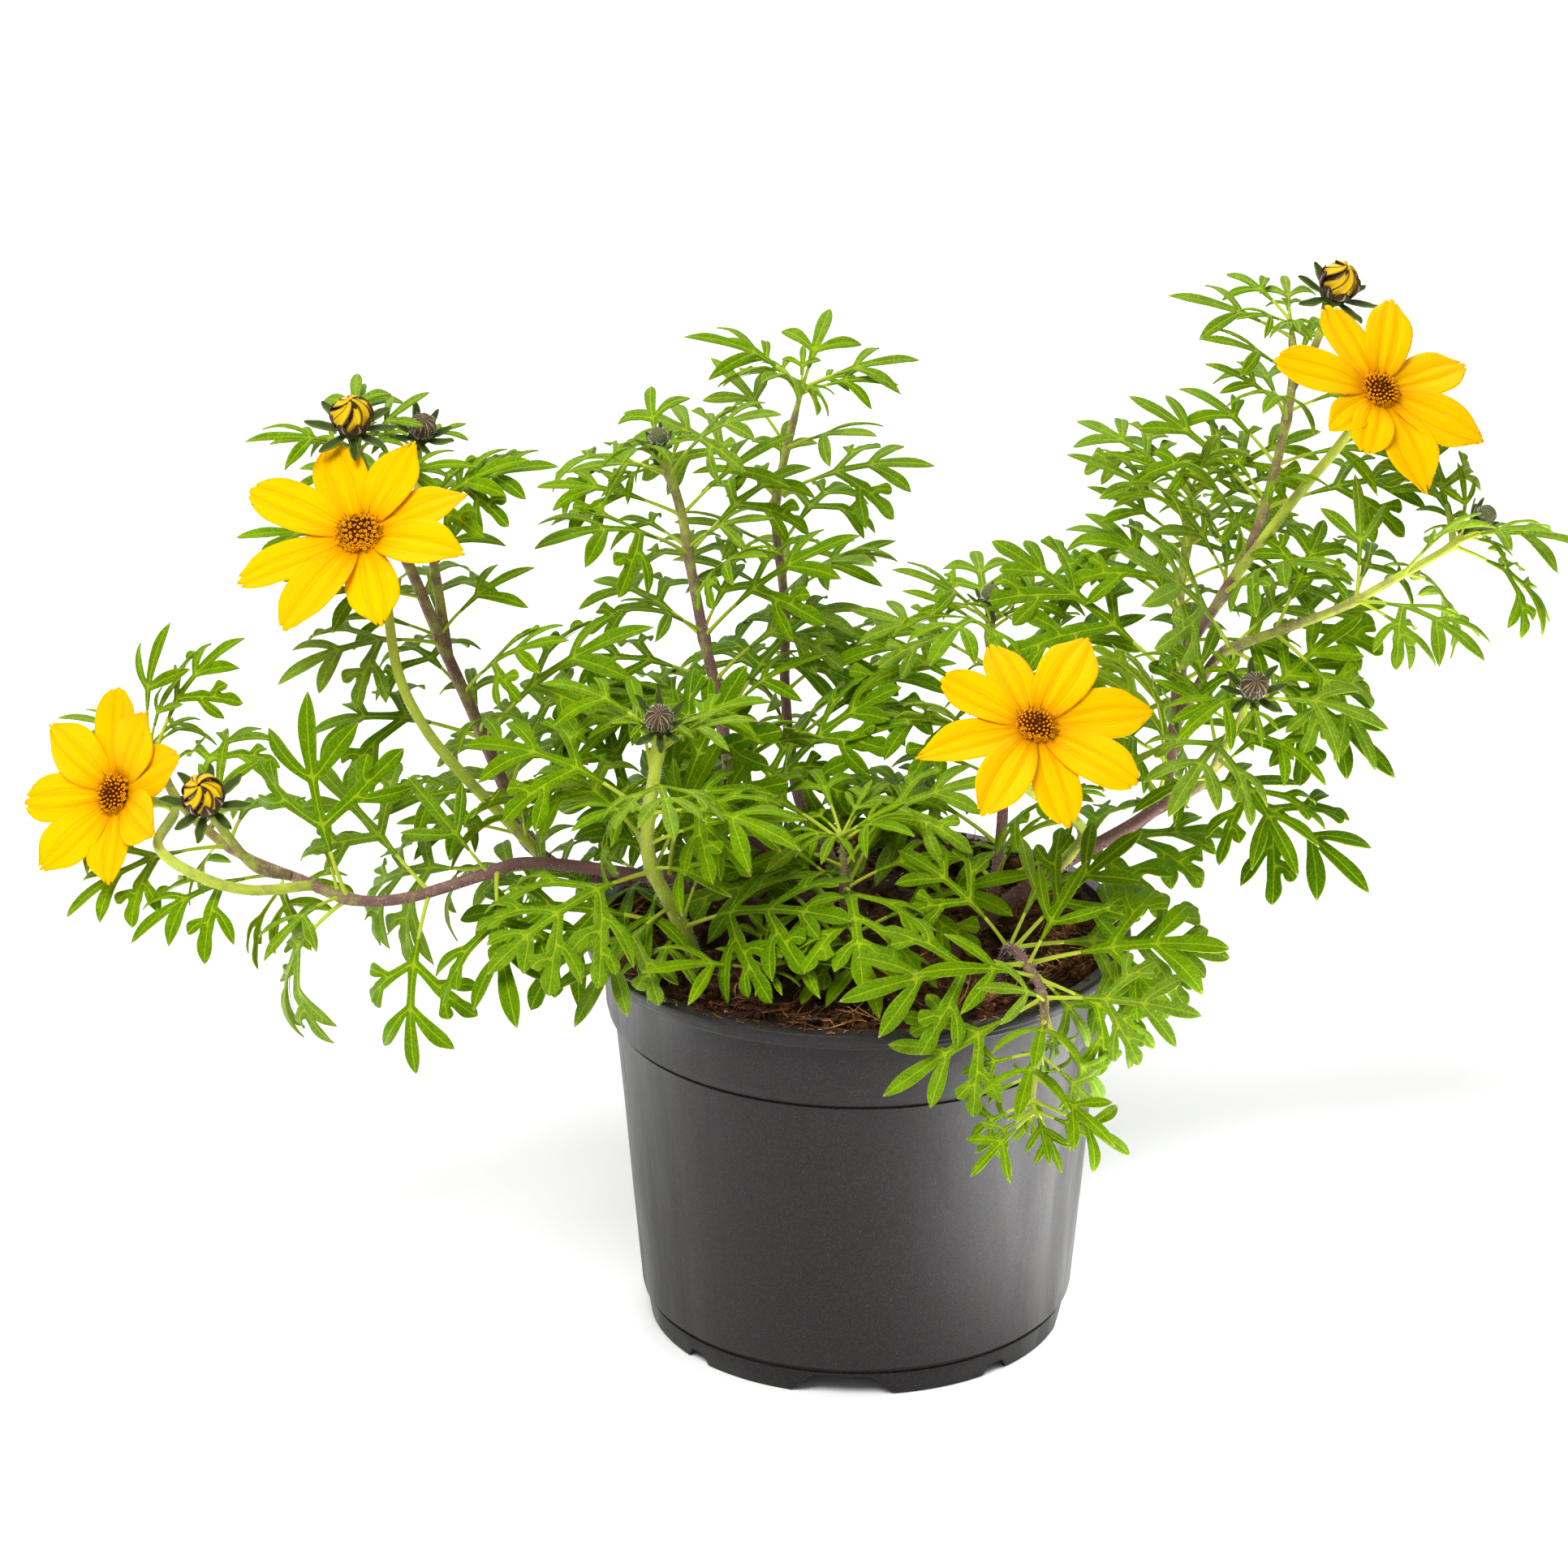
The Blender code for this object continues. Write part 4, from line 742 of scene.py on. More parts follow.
def samples(bm, skip):
    """Points spread over a leaf, for measuring gaps, but for the ball at its foot that is skipped."""
    found = {}
    start, bare = skip
    for face in bm.faces:
        a, b, c = (vertex.co for vertex in face.verts)
        count = max(1, ceil(max((a - b).length, (b - c).length, (c - a).length) / SAMPLE_STEP))
        for i in range(count + 1):
            for j in range(count + 1 - i):
                point = a + (b - a) * (i / count) + (c - a) * (j / count)
                if (point - start).length > bare:
                    key = tuple(round(value / SAMPLE_STEP) for value in point)
                    found[key] = point
    return np.array([tuple(point) for point in found.values()])


def is_clear(points, crowd, gap):
    """Whether points keep clear of the crowd, of the pot and the soil, and of the ground."""
    reach = np.hypot(points[:, 0], points[:, 1])
    height = points[:, 2]
    over_soil = (reach < SOIL_RADIUS) & (height < SOIL_RIM_Z + MOUND_HEIGHT + SOIL_GAP)
    over_lip = (reach >= SOIL_RADIUS) & (reach < LIP_RADIUS + LIP_GAP) & (height < POT_HEIGHT + SOIL_GAP)
    if over_soil.any() or over_lip.any() or (height < GROUND_GAP).any():
        return False
    margin = max(HEAD_BALLS.values()) + gap
    low = points.min(axis=0) - margin
    high = points.max(axis=0) + margin
    near = crowd[np.all((crowd[:, :3] > low) & (crowd[:, :3] < high), axis=1)]
    if len(near) == 0:
        return True
    apart = np.linalg.norm(points[:, None, :] - near[None, :, :3], axis=2) - near[None, :, 3]
    return apart.min() > gap


def head_balls(head):
    """A head as balls, in its own frame: a ball is its middle and its radius."""
    radius = HEAD_BALLS[head.kind]
    balls = [(Vector((0, 0, 0)), radius), (Vector((0, 0, HEAD_BALL_RISE)), radius)]
    for turn in range(0, 360, BRACT_BALL_TURN):
        for share in BRACT_BALL_SHARES:
            reach = (radius + BRACT_BALL_REACH) * share
            spot = Vector((cos(radians(turn)) * reach, sin(radians(turn)) * reach, -BRACT_BALL_DROP))
            balls.append((spot, BRACT_BALL))
    for turn, length in head.petals:
        spin = Matrix.Rotation(radians(turn), 3, "Z")
        for step in range(1, PETAL_BALL_STEPS + 1):
            along = PETAL_ROOT + (length - PETAL_ROOT) * step / PETAL_BALL_STEPS
            for across in PETAL_BALL_SPOTS:
                balls.append((spin @ petal_point(length, head, 0, along, across), PETAL_BALL))
    return balls


def stem_crowd():
    """The stems and heads of the whole plant as balls: a row is a middle and a radius."""
    rows = []
    for shoots in STEMS.values():
        for part, route in zip(shoots, full_routes(shoots)):
            count = max(2, ceil(route_length(route) / STEM_BALL_STEP))
            for index in range(count + 1):
                rows.append((*curve_point(route, index / count)[0], part.base - STEM_BALL_SHRINK))
    for head in HEADS.values():
        frame_of_head = head_matrix(head)
        for place, radius in head_balls(head):
            rows.append((*(frame_of_head @ place), radius))
    return np.array(rows)


def joints(part):
    """A shoot's joints: the number, the share of the shoot's length and the leaves' size of each."""
    for index in range(part.pairs):
        share = index / max(1, part.pairs - 1)
        where = part.first + (part.last - part.first) * share ** SPREAD_POWER
        yield index, where, part.large + (part.small - part.large) * share


def leaf_places(part):
    """Where a shoot's leaves stand: the share of its length, the turn and the size of each."""
    for index, where, size in joints(part):
        for side in (0, 180):
            yield where, part.turn + 90 * index + side, size


def leaf_stance(route, where, turn, size, droop):
    """The bending of a leaf that stands on a route, and its foot."""
    place, tangent = curve_point(route, where)
    reference = Vector((0, 1, 0)) if abs(tangent.y) < NEAR_DEPTH else Vector((1, 0, 0))
    across = tangent.cross(reference).normalized()
    depth = across.cross(tangent).normalized()
    out = across * cos(radians(turn)) + depth * sin(radians(turn))
    heading = tangent * cos(LEAF_ANGLE) + out * sin(LEAF_ANGLE)
    heading = (heading + Vector((0, 0, LEAF_RISE))).normalized()
    normal = LIGHT + tangent * LIGHT_TILT
    return leaf_space(size, place, heading, normal, radians(droop)), place


def side_places(part):
    """The young leaves at a shoot's joints, between its pairs and at its tip: share, turn and size."""
    step = (part.last - part.first) / max(1, part.pairs - 1)
    for index, where, size in joints(part):
        for (sides, ahead, scale), unit in ((JOINT_LEAVES, 1), (BETWEEN_LEAVES, step)):
            for side in sides:
                yield min(LAST_PLACE, where + unit * ahead), part.turn + 90 * index + side, size * scale
    if part.pairs:
        for turn in range(0, 360, 90):
            yield TIP_PLACE, part.turn + turn, TIP_SIZE


def place_leaves(shoots, crowd, draw, places, gap):
    """Find every leaf of a stem: each takes the first turn, droop and size that keeps it clear."""
    laid = []
    for part, route in zip(shoots, full_routes(shoots)):
        for where, turn, size in places(part):
            wobble = draw.uniform(-WOBBLE, WOBBLE)
            size *= draw.uniform(1 - SIZE_SPREAD, 1 + SIZE_SPREAD)
            droop = part.droop + draw.uniform(-DROOP_SPREAD, DROOP_SPREAD)
            for scale, sink, shift in product(SCALE_TRIES, DROOP_TRIES, TURN_TRIES):
                length = size * scale
                kind = next(key for key, values in LEAF_KINDS.items() if length >= values[0])
                to_space, place = leaf_stance(route, where, turn + wobble + shift, length, droop + sink)
                bm = plain_leaf(length, kind)
                for vertex in bm.verts:
                    vertex.co = to_space(vertex.co.x, vertex.co.y)
                points = samples(bm, (place, BARE_STALK))
                bm.free()
                if len(points) == 0 or is_clear(points, crowd, gap):
                    if len(points):
                        cover = np.full((len(points), 1), LEAF_THICKNESS / 2)
                        crowd = np.vstack((crowd, np.hstack((points, cover))))
                    laid.append(Leaf(kind, length, to_space, where))
                    break
    return laid, crowd


class Draft:
    """Points and faces of a mesh that is put together in code, from the pot's axis."""

    def __init__(self, *labels):
        self.points = []
        self.faces = []
        self.uvs = []
        self.values = {label: [] for label in labels}

    def point(self, place, **values):
        """Add a point with its values, and give its number."""
        self.points.append(tuple(place))
        for label, numbers in self.values.items():
            numbers.append(values.get(label, 0.0))
        return len(self.points) - 1

    def face(self, corners, uvs):
        """Add a face from its points' numbers and a place on the UV map for each."""
        self.faces.append(tuple(corners))
        self.uvs.extend(uvs)

    def join_rings(self, rings, levels, capped=True):
        """Join rings of points, each at its level of the UV map, and close the first and the last one."""
        sides = len(rings[0])
        for lower, upper, low, high in zip(rings, rings[1:], levels, levels[1:]):
            for step in range(sides):
                after = (step + 1) % sides
                one, other = step / sides, (step + 1) / sides
                self.face((lower[step], lower[after], upper[after], upper[step]),
                          ((one, low), (other, low), (other, high), (one, high)))
        if capped:
            self.face(reversed(rings[0]), ((0.5, levels[0]),) * sides)
            self.face(rings[-1], ((0.5, levels[-1]),) * sides)

    def make(self, name, materials):
        """Make the piece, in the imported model's frame."""
        mesh = bpy.data.meshes.new(name)
        mesh.from_pydata(self.points, [], self.faces)
        flat = [number for pair in self.uvs for number in pair]
        mesh.uv_layers.new(name="surface").data.foreach_set("uv", flat)
        for label, numbers in self.values.items():
            mesh.attributes.new(label, "FLOAT", "POINT").data.foreach_set("value", numbers)
        for material in materials:
            mesh.materials.append(material)
        mesh.transform(Matrix.Translation(POT_AXIS))
        mesh.shade_smooth()
        piece = bpy.data.objects.new(name, mesh)
        bpy.context.scene.collection.objects.link(piece)
        return piece


def pick(piece):
    """Make a piece the only selected one and the active one."""
    bpy.ops.object.select_all(action="DESELECT")
    piece.select_set(True)
    bpy.context.view_layer.objects.active = piece


def apply_all(piece):
    """Put a piece's modifiers into its mesh."""
    pick(piece)
    for modifier in list(piece.modifiers):
        bpy.ops.object.modifier_apply(modifier=modifier.name)


def settle(piece, slot, *nodes):
    """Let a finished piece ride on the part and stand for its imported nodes."""
    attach(piece, ROOT)
    if nodes:
        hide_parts(*nodes)


def thicken(piece, thickness, round_off=1, under=0):
    """Round a sheet off and give it its thickness; the underside may take another material."""
    if round_off:
        surface = piece.modifiers.new("round_off", "SUBSURF")
        surface.levels = round_off
        surface.render_levels = round_off
    solid = piece.modifiers.new("thickness", "SOLIDIFY")
    solid.thickness = thickness
    solid.offset = 0.0
    solid.material_offset = under
    apply_all(piece)


def frames_along(points):
    """A side direction for each point of a line, turned as little as possible from point to point."""
    count = len(points)
    headings = [(points[min(i + 1, count - 1)] - points[max(i - 1, 0)]).normalized() for i in range(count)]
    start = Vector((0, 0, 1)) if abs(headings[0].z) < NEAR_UPRIGHT else Vector((1, 0, 0))
    side = headings[0].cross(start).normalized()
    sides = []
    for heading in headings:
        side = (side - heading * side.dot(heading)).normalized()
        sides.append(side)
    return headings, sides


def add_tube(draft, points, radii, sides, ridge=0.0, **values):
    """A round stalk through points. Its UV map runs round it from 0 to 1 and along it in centimetres."""
    headings, across = frames_along(points)
    rings = []
    length = 0.0
    levels = []
    for index, (point, radius, heading, side) in enumerate(zip(points, radii, headings, across)):
        length += (point - points[index - 1]).length if index else 0.0
        levels.append(length * CM)
        depth = heading.cross(side)
        numbers = {key: value[index] if isinstance(value, list) else value for key, value in values.items()}
        ring = []
        for step in range(sides):
            turn = 2 * pi * step / sides
            reach = radius * (1 + ridge * cos(turn * STEM_RIDGES))
            ring.append(draft.point(point + (side * cos(turn) + depth * sin(turn)) * reach, **numbers))
        rings.append(ring)
    draft.join_rings(rings, levels)


def add_needle(draft, foot, tip, radius, **values):
    """A hair or fibre end: three sides that meet in a point."""
    along = (tip - foot).normalized()
    side = along.orthogonal().normalized()
    depth = along.cross(side)
    ring = []
    for step in range(3):
        turn = 2 * pi * step / 3
        ring.append(draft.point(foot + (side * cos(turn) + depth * sin(turn)) * radius, **values))
    end = draft.point(tip, **values)
    for step in range(3):
        draft.face((ring[step], ring[(step + 1) % 3], end), ((0, 0), (0, 0), (0, 1)))
    draft.face(tuple(reversed(ring)), ((0, 0),) * 3)


class Blade:
    """One cut leaf: its cage is grown lobe by lobe, and the lines of its ribs are kept."""

    def __init__(self, draft, leaf, draw, settings):
        self.draft = draft
        self.bend = leaf.to_space
        self.size = leaf.size
        self.kind = leaf.kind
        self.draw = draw
        self.tone = min(1.0, max(0.0, leaf.youth + draw.uniform(*TONE_SPREAD)))
        self.cast = draw.random()
        self.fold = settings.fold + draw.uniform(-FOLD_SPREAD, FOLD_SPREAD)
        self.curl = draw.uniform(*CURL_RANGE)
        self.ribs = []

    def jitter(self, value, share):
        """A value, a little changed."""
        return value * (1 + self.draw.uniform(-share, share))

    def put(self, x, y, height, **values):
        """Add a point of the leaf's own plane, bent into space, with the leaf's tone and cast."""
        return self.draft.point(self.bend(x, y, height), tone=self.tone, cast=self.cast, **values)

    def grow_tree(self):
        """The whole leaf, from the top of its stalk."""
        width = BLADE_WIDTH * self.size * (BLADE_TINY_WIDTH if self.kind == "tiny" else 1.0)
        start = self.size * BLADE_START[self.kind]
        length = self.size - start
        lobes = []
        for share, turn, reach, parts in BLADE_TREES[self.kind]:
            place = share + self.draw.uniform(*LOBE_SHIFT)
            lobes += [((place * self.size - start) / length, side, turn, reach, parts) for side in (-1, 1)]
        half = BLADE_FOOT_HALF
        foot = tuple(self.put(side * half, start, 0.0, rib=abs(side) * half * MM) for side in (-1, 0, 1))
        self.grow(foot, Vector((0.0, start)), 0.0, 0.0, length, width, lobes, 0)

    def rows(self, reach, width, lobes, level):
        """The cage's rows along a lobe: distance, half width, and the lobes that start there."""
        found = []
        neck = width * BLADE_NECKS[min(level, 1)]
        half = width * BLADE_FEET[min(level, 1)]
        end = 0.0
        for share in sorted({lobe[0] for lobe in lobes}):
            place = max(share * reach, end + half * LOBE_APART)
            if end and place - half - end > width:
                found.append(((end + place - half) / 2, neck * NECK_BETWEEN, []))
            found.append((place - half, neck, []))
            found.append((place, neck * NECK_AT, [lobe for lobe in lobes if lobe[0] == share]))
            found.append((place + half, neck * NECK_PAST, []))
            end = place + half
        tail = reach - end
        return found + [(end + tail * share, width * breadth, []) for share, breadth in BLADE_END]

    def grow(self, foot, start, lift, turn, reach, width, lobes, level):
        """Grow one lobe from its three foot points, and then the lobes at its sides."""
        along = Vector((sin(turn), cos(turn)))
        across = Vector((cos(turn), -sin(turn)))
        wave = self.draw.uniform(*ANY_TURN)
        bow = CURL_SHARES[min(level, 1)]
        rows = [(foot, 0.0, 0.0)]
        line = [(start.x, start.y, lift)]
        waiting = []
        cage = self.rows(reach, width, lobes, level)
        for index, (distance, half, begun) in enumerate(cage):
            beside = [lobe[1] for place in cage[max(0, index - 1):index + 2] for lobe in place[2]]
            arch = -self.curl * distance * distance / max(reach, LEAST_REACH) * bow
            row = []
            for side in (-1, 0, 1):
                edge = half * self.jitter(1.0, EDGE_JITTER) if side else 0.0
                ahead = distance + edge * BLADE_CHEVRON
                spot = start + along * ahead + across * side * edge
                ripple = RIPPLE_DEPTH * edge * sin(wave + ahead * RIPPLE_RATE + side)
                height = lift + arch + self.fold * edge + ripple * abs(side)
                is_foot = side != 0 and any(lobe[1] == side for lobe in begun)
                is_edge = side != 0 and not is_foot
                row.append(self.put(spot.x, spot.y, height, rib=edge * MM if is_edge else 0.0,
                                    margin=1.0 if is_edge else 0.0,
                                    crease_vert=SINUS_CREASE if is_edge and side in beside else 0.0))
                if is_foot:
                    waiting += [(index, side, lobe, spot, height) for lobe in begun if lobe[1] == side]
            rows.append((row, distance, half))
            line.append((*(start + along * distance), lift + arch))
        point = (*(start + along * reach), lift - self.curl * reach * bow)
        line.append(point)
        self.skin(rows, self.put(*point, tip=1.0, margin=1.0, crease_vert=1.0), reach)
        if level < 2:
            self.ribs.append((line, level))
        for index, side, lobe, spot, height in waiting:
            new_foot = [rows[index + step][0][1 + side] for step in range(3)]
            self.grow_lobe(new_foot[::-side], spot, height, turn, width, lobe, level, reach)

    def skin(self, rows, tip, reach):
        """Cover a lobe's two halves from row to row and at its tip. The UV map is in centimetres."""
        rows = [(row, distance * CM, half * CM) for row, distance, half in rows]
        for (lower, low, thin), (upper, high, wide) in zip(rows, rows[1:]):
            self.draft.face((lower[0], lower[1], upper[1], upper[0]),
                            ((-thin, low), (0, low), (0, high), (-wide, high)))
            self.draft.face((lower[1], lower[2], upper[2], upper[1]),
                            ((0, low), (thin, low), (wide, high), (0, high)))
        last, low, thin = rows[-1]
        self.draft.face((last[0], last[1], tip), ((-thin, low), (0, low), (0, reach * CM)))
        self.draft.face((last[1], last[2], tip), ((0, low), (thin, low), (0, reach * CM)))

    def grow_lobe(self, foot, spot, height, turn, width, lobe, level, reach):
        """A lobe at another's side, with its own small lobes on its outer or inner side."""
        side, angle, share, parts = lobe[1:]
        new_turn = turn + side * radians(self.jitter(angle, TURN_JITTER))
        whole = self.size if level == 0 else reach
        new_reach = self.jitter(share, REACH_JITTER) * whole
        if parts == () and share < SHORT_LOBE:
            width *= SHORT_LOBE_WIDTH
        elif level > 0:
            width *= OWN_LOBE_WIDTH
        parts = [(self.jitter(part[0], PLACE_JITTER), side * part[1], *part[2:], ()) for part in parts]
        self.grow(foot, spot, height, new_turn, new_reach, width, parts, level + 1)


def stalk_line(leaf):
    """The line of a leaf's stalk, from inside the stem to where the blade starts."""
    end = leaf.size * (BLADE_START[leaf.kind] + STALK_SINK)
    return [leaf.to_space(0.0, end * index / (STALK_POINTS - 1), 0.0) for index in range(STALK_POINTS)]


def deal_leaves():
    """The leaves of every stem, found once."""
    if not PLAN:
        draw = random.Random(SEED)
        crowd = stem_crowd()
        for name, shoots in STEMS.items():
            PLAN[name], crowd = place_leaves(shoots, crowd, draw, leaf_places, LEAF_GAP)
        draw = random.Random(YOUNG_SEED)
        for name, shoots in STEMS.items():
            young, crowd = place_leaves(shoots, crowd, draw, side_places, YOUNG_GAP)
            PLAN[name] += young
    return PLAN


def stem_ages(name, part):
    """How woody and purple a shoot is at its base and at its tip."""
    if part.head and HEADS[part.head].kind == "bloom":
        return STEM_AGES["flower"]
    if part.fork:
        return STEM_AGES["fork"]
    return STEM_AGES["pale" if name in PALE_STEMS else "main"]


def stem_line(name, part, route):
    """A shoot's line, radii and ages from its base to its tip, with a swelling at each leaf pair."""
    reach = route_length(route)
    count = max(STEM_LEAST, ceil(reach / STEM_STEP))
    places = [where for _, where, _ in joints(part)]
    base_age, tip_age = stem_ages(name, part)
    points = []
    radii = []
    ages = []
    for index in range(count + 1):
        share = index / count
        points.append(curve_point(route, share)[0])
        radius = part.base + (part.tip - part.base) * share
        near = min((abs(share - place) * reach for place in places), default=1.0)
        radius *= STEM_SLIM + JOINT_SWELL * max(0.0, 1 - near / JOINT_REACH)
        if not part.head:
            radius *= max(TIP_LEAST, min(1.0, (1 - share) * reach / TIP_TAPER))
        radii.append(radius)
        ages.append(base_age + (tip_age - base_age) * share)
    return points, radii, ages


def build_stalks(name, settings):
    """A stem with its forks, flower stalks, leaf stalks and the ribs of its leaves, and its leaves."""
    stalks = Draft("age", "pale")
    sheet = Draft("rib", "tone", "tip", "cast", "margin", "crease_vert")
    draw = random.Random(SEED + sum(ord(letter) for letter in name))
    shoots = STEMS[name]
    for part, route in zip(shoots, full_routes(shoots)):
        points, radii, ages = stem_line(name, part, route)
        add_tube(stalks, points, radii, STEM_SIDES, STEM_RIDGE, age=ages)
    for leaf in deal_leaves()[name]:
        blade = Blade(sheet, leaf, draw, settings)
        blade.grow_tree()
        girth = STALK_GIRTH + STALK_GROWTH * leaf.size
        radii = [girth * (STALK_FOOT - STALK_FLARE * min(1, index / 2) - STALK_TAPER * index)
                 for index in range(STALK_POINTS)]
        age = STALK_AGE * (1 - leaf.youth)
        add_tube(stalks, stalk_line(leaf), radii, STALK_SIDES, age=age, pale=STALK_PALE)
        for rib, level in blade.ribs:
            add_rib(stalks, leaf, rib, level)
    return stalks, sheet


def add_rib(draft, leaf, rib, level):
    """A leaf's rib as a thin stalk half sunk into the blade, thinner towards its tip."""
    keep = rib[:-2] if len(rib) > 4 else rib[:-1]
    if len(keep) < 3:
        return
    thick = RIB_GIRTH[level] * (RIB_LEAST + leaf.size * RIB_GROWTH)
    points = [leaf.to_space(x, y, z - thick * RIB_SINK) for x, y, z in keep]
    radii = [thick * (1 - RIB_TAPER * index / (len(keep) - 1)) for index in range(len(keep))]
    add_tube(draft, points, radii, RIB_SIDES, pale=1.0)


def add_hairs(draft, name, density, draw):
    """White hairs along a stem's shoots, thickest at its joints and towards its foot, and round its buds."""
    shoots = STEMS[name]
    for part, route in zip(shoots, full_routes(shoots)):
        points, radii, _ = stem_line(name, part, route)
        headings, across = frames_along(points)
        for index in range(len(points) - 1):
            woolly = HAIR_PLAIN + HAIR_JOINT * max(0.0, radii[index] / (part.base * STEM_SLIM) - 1.0)
            low = max(0.0, 1 - points[index].z / HAIRY_HEIGHT)
            woolly += HAIR_FOOT * low + HAIR_PALE * (name in PALE_STEMS)
            count = density * woolly * (points[index + 1] - points[index]).length * MM
            for _ in range(int(count + draw.random())):
                share = draw.random()
                centre = points[index].lerp(points[index + 1], share)
                if centre.z < SOIL_RIM_Z:
                    continue
                turn = draw.uniform(0, 2 * pi)
                side = across[index] * cos(turn) + headings[index].cross(across[index]) * sin(turn)
                lean = headings[index] * draw.uniform(-HAIR_LEAN, HAIR_LEAN)
                lean += Vector([draw.uniform(-HAIR_STRAY, HAIR_STRAY) for _ in range(3)])
                foot = centre + side * (radii[index] * HAIR_SINK)
                tip = foot + (side + lean).normalized() * draw.uniform(*HAIR_LENGTH)
                add_needle(draft, foot, tip, HAIR_RADIUS)
        if part.head and HEADS[part.head].kind != "bloom":
            add_fringe(draft, HEADS[part.head], draw)


def add_fringe(draft, head, draw):
    """White hairs round the foot of a bud, and a few over it."""
    matrix = head_matrix(head)
    for index in range(FRINGE_HAIRS):
        places, lengths = FRINGE_FOOT if index % 4 else FRINGE_OVER
        girth, height = body_profile(head, draw.uniform(*places))
        turn = draw.uniform(0, 2 * pi)
        out = Vector((cos(turn), sin(turn), 0))
        foot = out * girth * FRINGE_SINK + Vector((0, 0, height))
        aside = [draw.uniform(-HAIR_LEAN, HAIR_LEAN) for _ in range(2)]
        lean = out + Vector((*aside, draw.uniform(0.0, FRINGE_RISE)))
        tip = foot + lean.normalized() * draw.uniform(*lengths)
        add_needle(draft, matrix @ foot, matrix @ tip, HAIR_RADIUS * FRINGE_GIRTH)


def petal_width(share, tip, blunt):
    """A petal's width along it: narrow at the foot, broad past the middle, then drawn in to its end."""
    if share < PETAL_BELLY:
        return PETAL_WAIST + (1 - PETAL_WAIST) * sin(pi / 2 * share / PETAL_BELLY) ** PETAL_SWELL
    return 1 - (1 - tip) * ((share - PETAL_BELLY) / (1 - PETAL_BELLY)) ** blunt


def add_petal(draft, head, turn, length, layer, draw):
    """One ray petal: a fine grid with two grooves, a waved edge and a toothed tip."""
    spin = head_matrix(head) @ Matrix.Rotation(radians(turn), 4, "Z")
    length *= PETAL_REACH
    half = min(PETAL_WIDTH, length * PETAL_BREADTH) * draw.uniform(*PETAL_SPREAD) / 2
    tip, blunt = draw.choice(PETAL_TIPS)
    deep = draw.uniform(*END_DEPTH)
    phase = draw.uniform(0, 2 * pi)
    shade = draw.uniform(-1, 1)
    twist = draw.uniform(-PETAL_TWIST, PETAL_TWIST)
    cup = draw.uniform(*PETAL_CUP)
    grooves = (draw.uniform(*GROOVE_PLACE), -draw.uniform(*GROOVE_PLACE))
    foot = PETAL_ROOT * PETAL_FOOT
    rows = []
    for i in range(PETAL_ROWS + 1):
        share = i / PETAL_ROWS
        width = half * petal_width(share, tip, blunt)
        row = []
        for j in range(PETAL_COLUMNS + 1):
            across = 2 * j / PETAL_COLUMNS - 1
            end = 1.0 - END_ROUND[0] * abs(across) ** END_ROUND[1]
            for place in grooves:
                end -= END_NOTCH[0] * deep * max(0.0, 1 - abs(across - place * END_NOTCH[1]) / END_NOTCH[2])
            along = share * (1 + (end - 1) * share ** END_EASE)
            x = across * width * (1 - END_NARROW[0] * share ** END_NARROW[1])
            spot = petal_point(length, head, layer, foot + (length - foot) * along, x)
            groove = sum(exp(-((across - place) / GROOVE_WIDTH) ** 2) for place in grooves)
            fade = sin(pi * min(1.0, share * GROOVE_FADE[0])) ** GROOVE_FADE[1]
            lift = -PETAL_CREASE * groove * fade
            lift += EDGE_WAVE[0] * abs(across) ** EDGE_WAVE[1] * sin(phase + share * EDGE_WAVE[2]) * share
            lift += LONG_WAVE[0] * sin(phase * LONG_WAVE[1] + share * LONG_WAVE[2]) * share
            lift += (twist * x + cup * abs(x) ** PETAL_CUPPING[0] / PETAL_CUPPING[1]) * share
            spot.z += lift - PETAL_GROOVE * abs(x) / PETAL_WIDTH * PETAL_RELIEF
            row.append(draft.point(spin @ spot, shade=shade, groove=min(1.0, groove)))
        rows.append(row)
    for i in range(PETAL_ROWS):
        for j in range(PETAL_COLUMNS):
            corners = ((j, i + 1), (j + 1, i + 1), (j + 1, i), (j, i))
            uvs = [(a / PETAL_COLUMNS, b / PETAL_ROWS) for a, b in corners]
            draft.face([rows[b][a] for a, b in corners], uvs)


def add_lathe(draft, matrix, profile, sides, swell=None, **values):
    """A round form about a head's axis from (radius, height) points, its first and last point closed."""
    levels = [index / (len(profile) - 1) for index in range(len(profile))]
    rings = []
    for radius, height in profile:
        ring = []
        for step in range(sides):
            turn = 2 * pi * step / sides
            reach = radius * (swell(turn) if swell else 1.0)
            spot = Vector((cos(turn) * reach, sin(turn) * reach, height))
            ring.append(draft.point(matrix @ spot, **values))
        rings.append(ring)
    draft.join_rings(rings, levels)


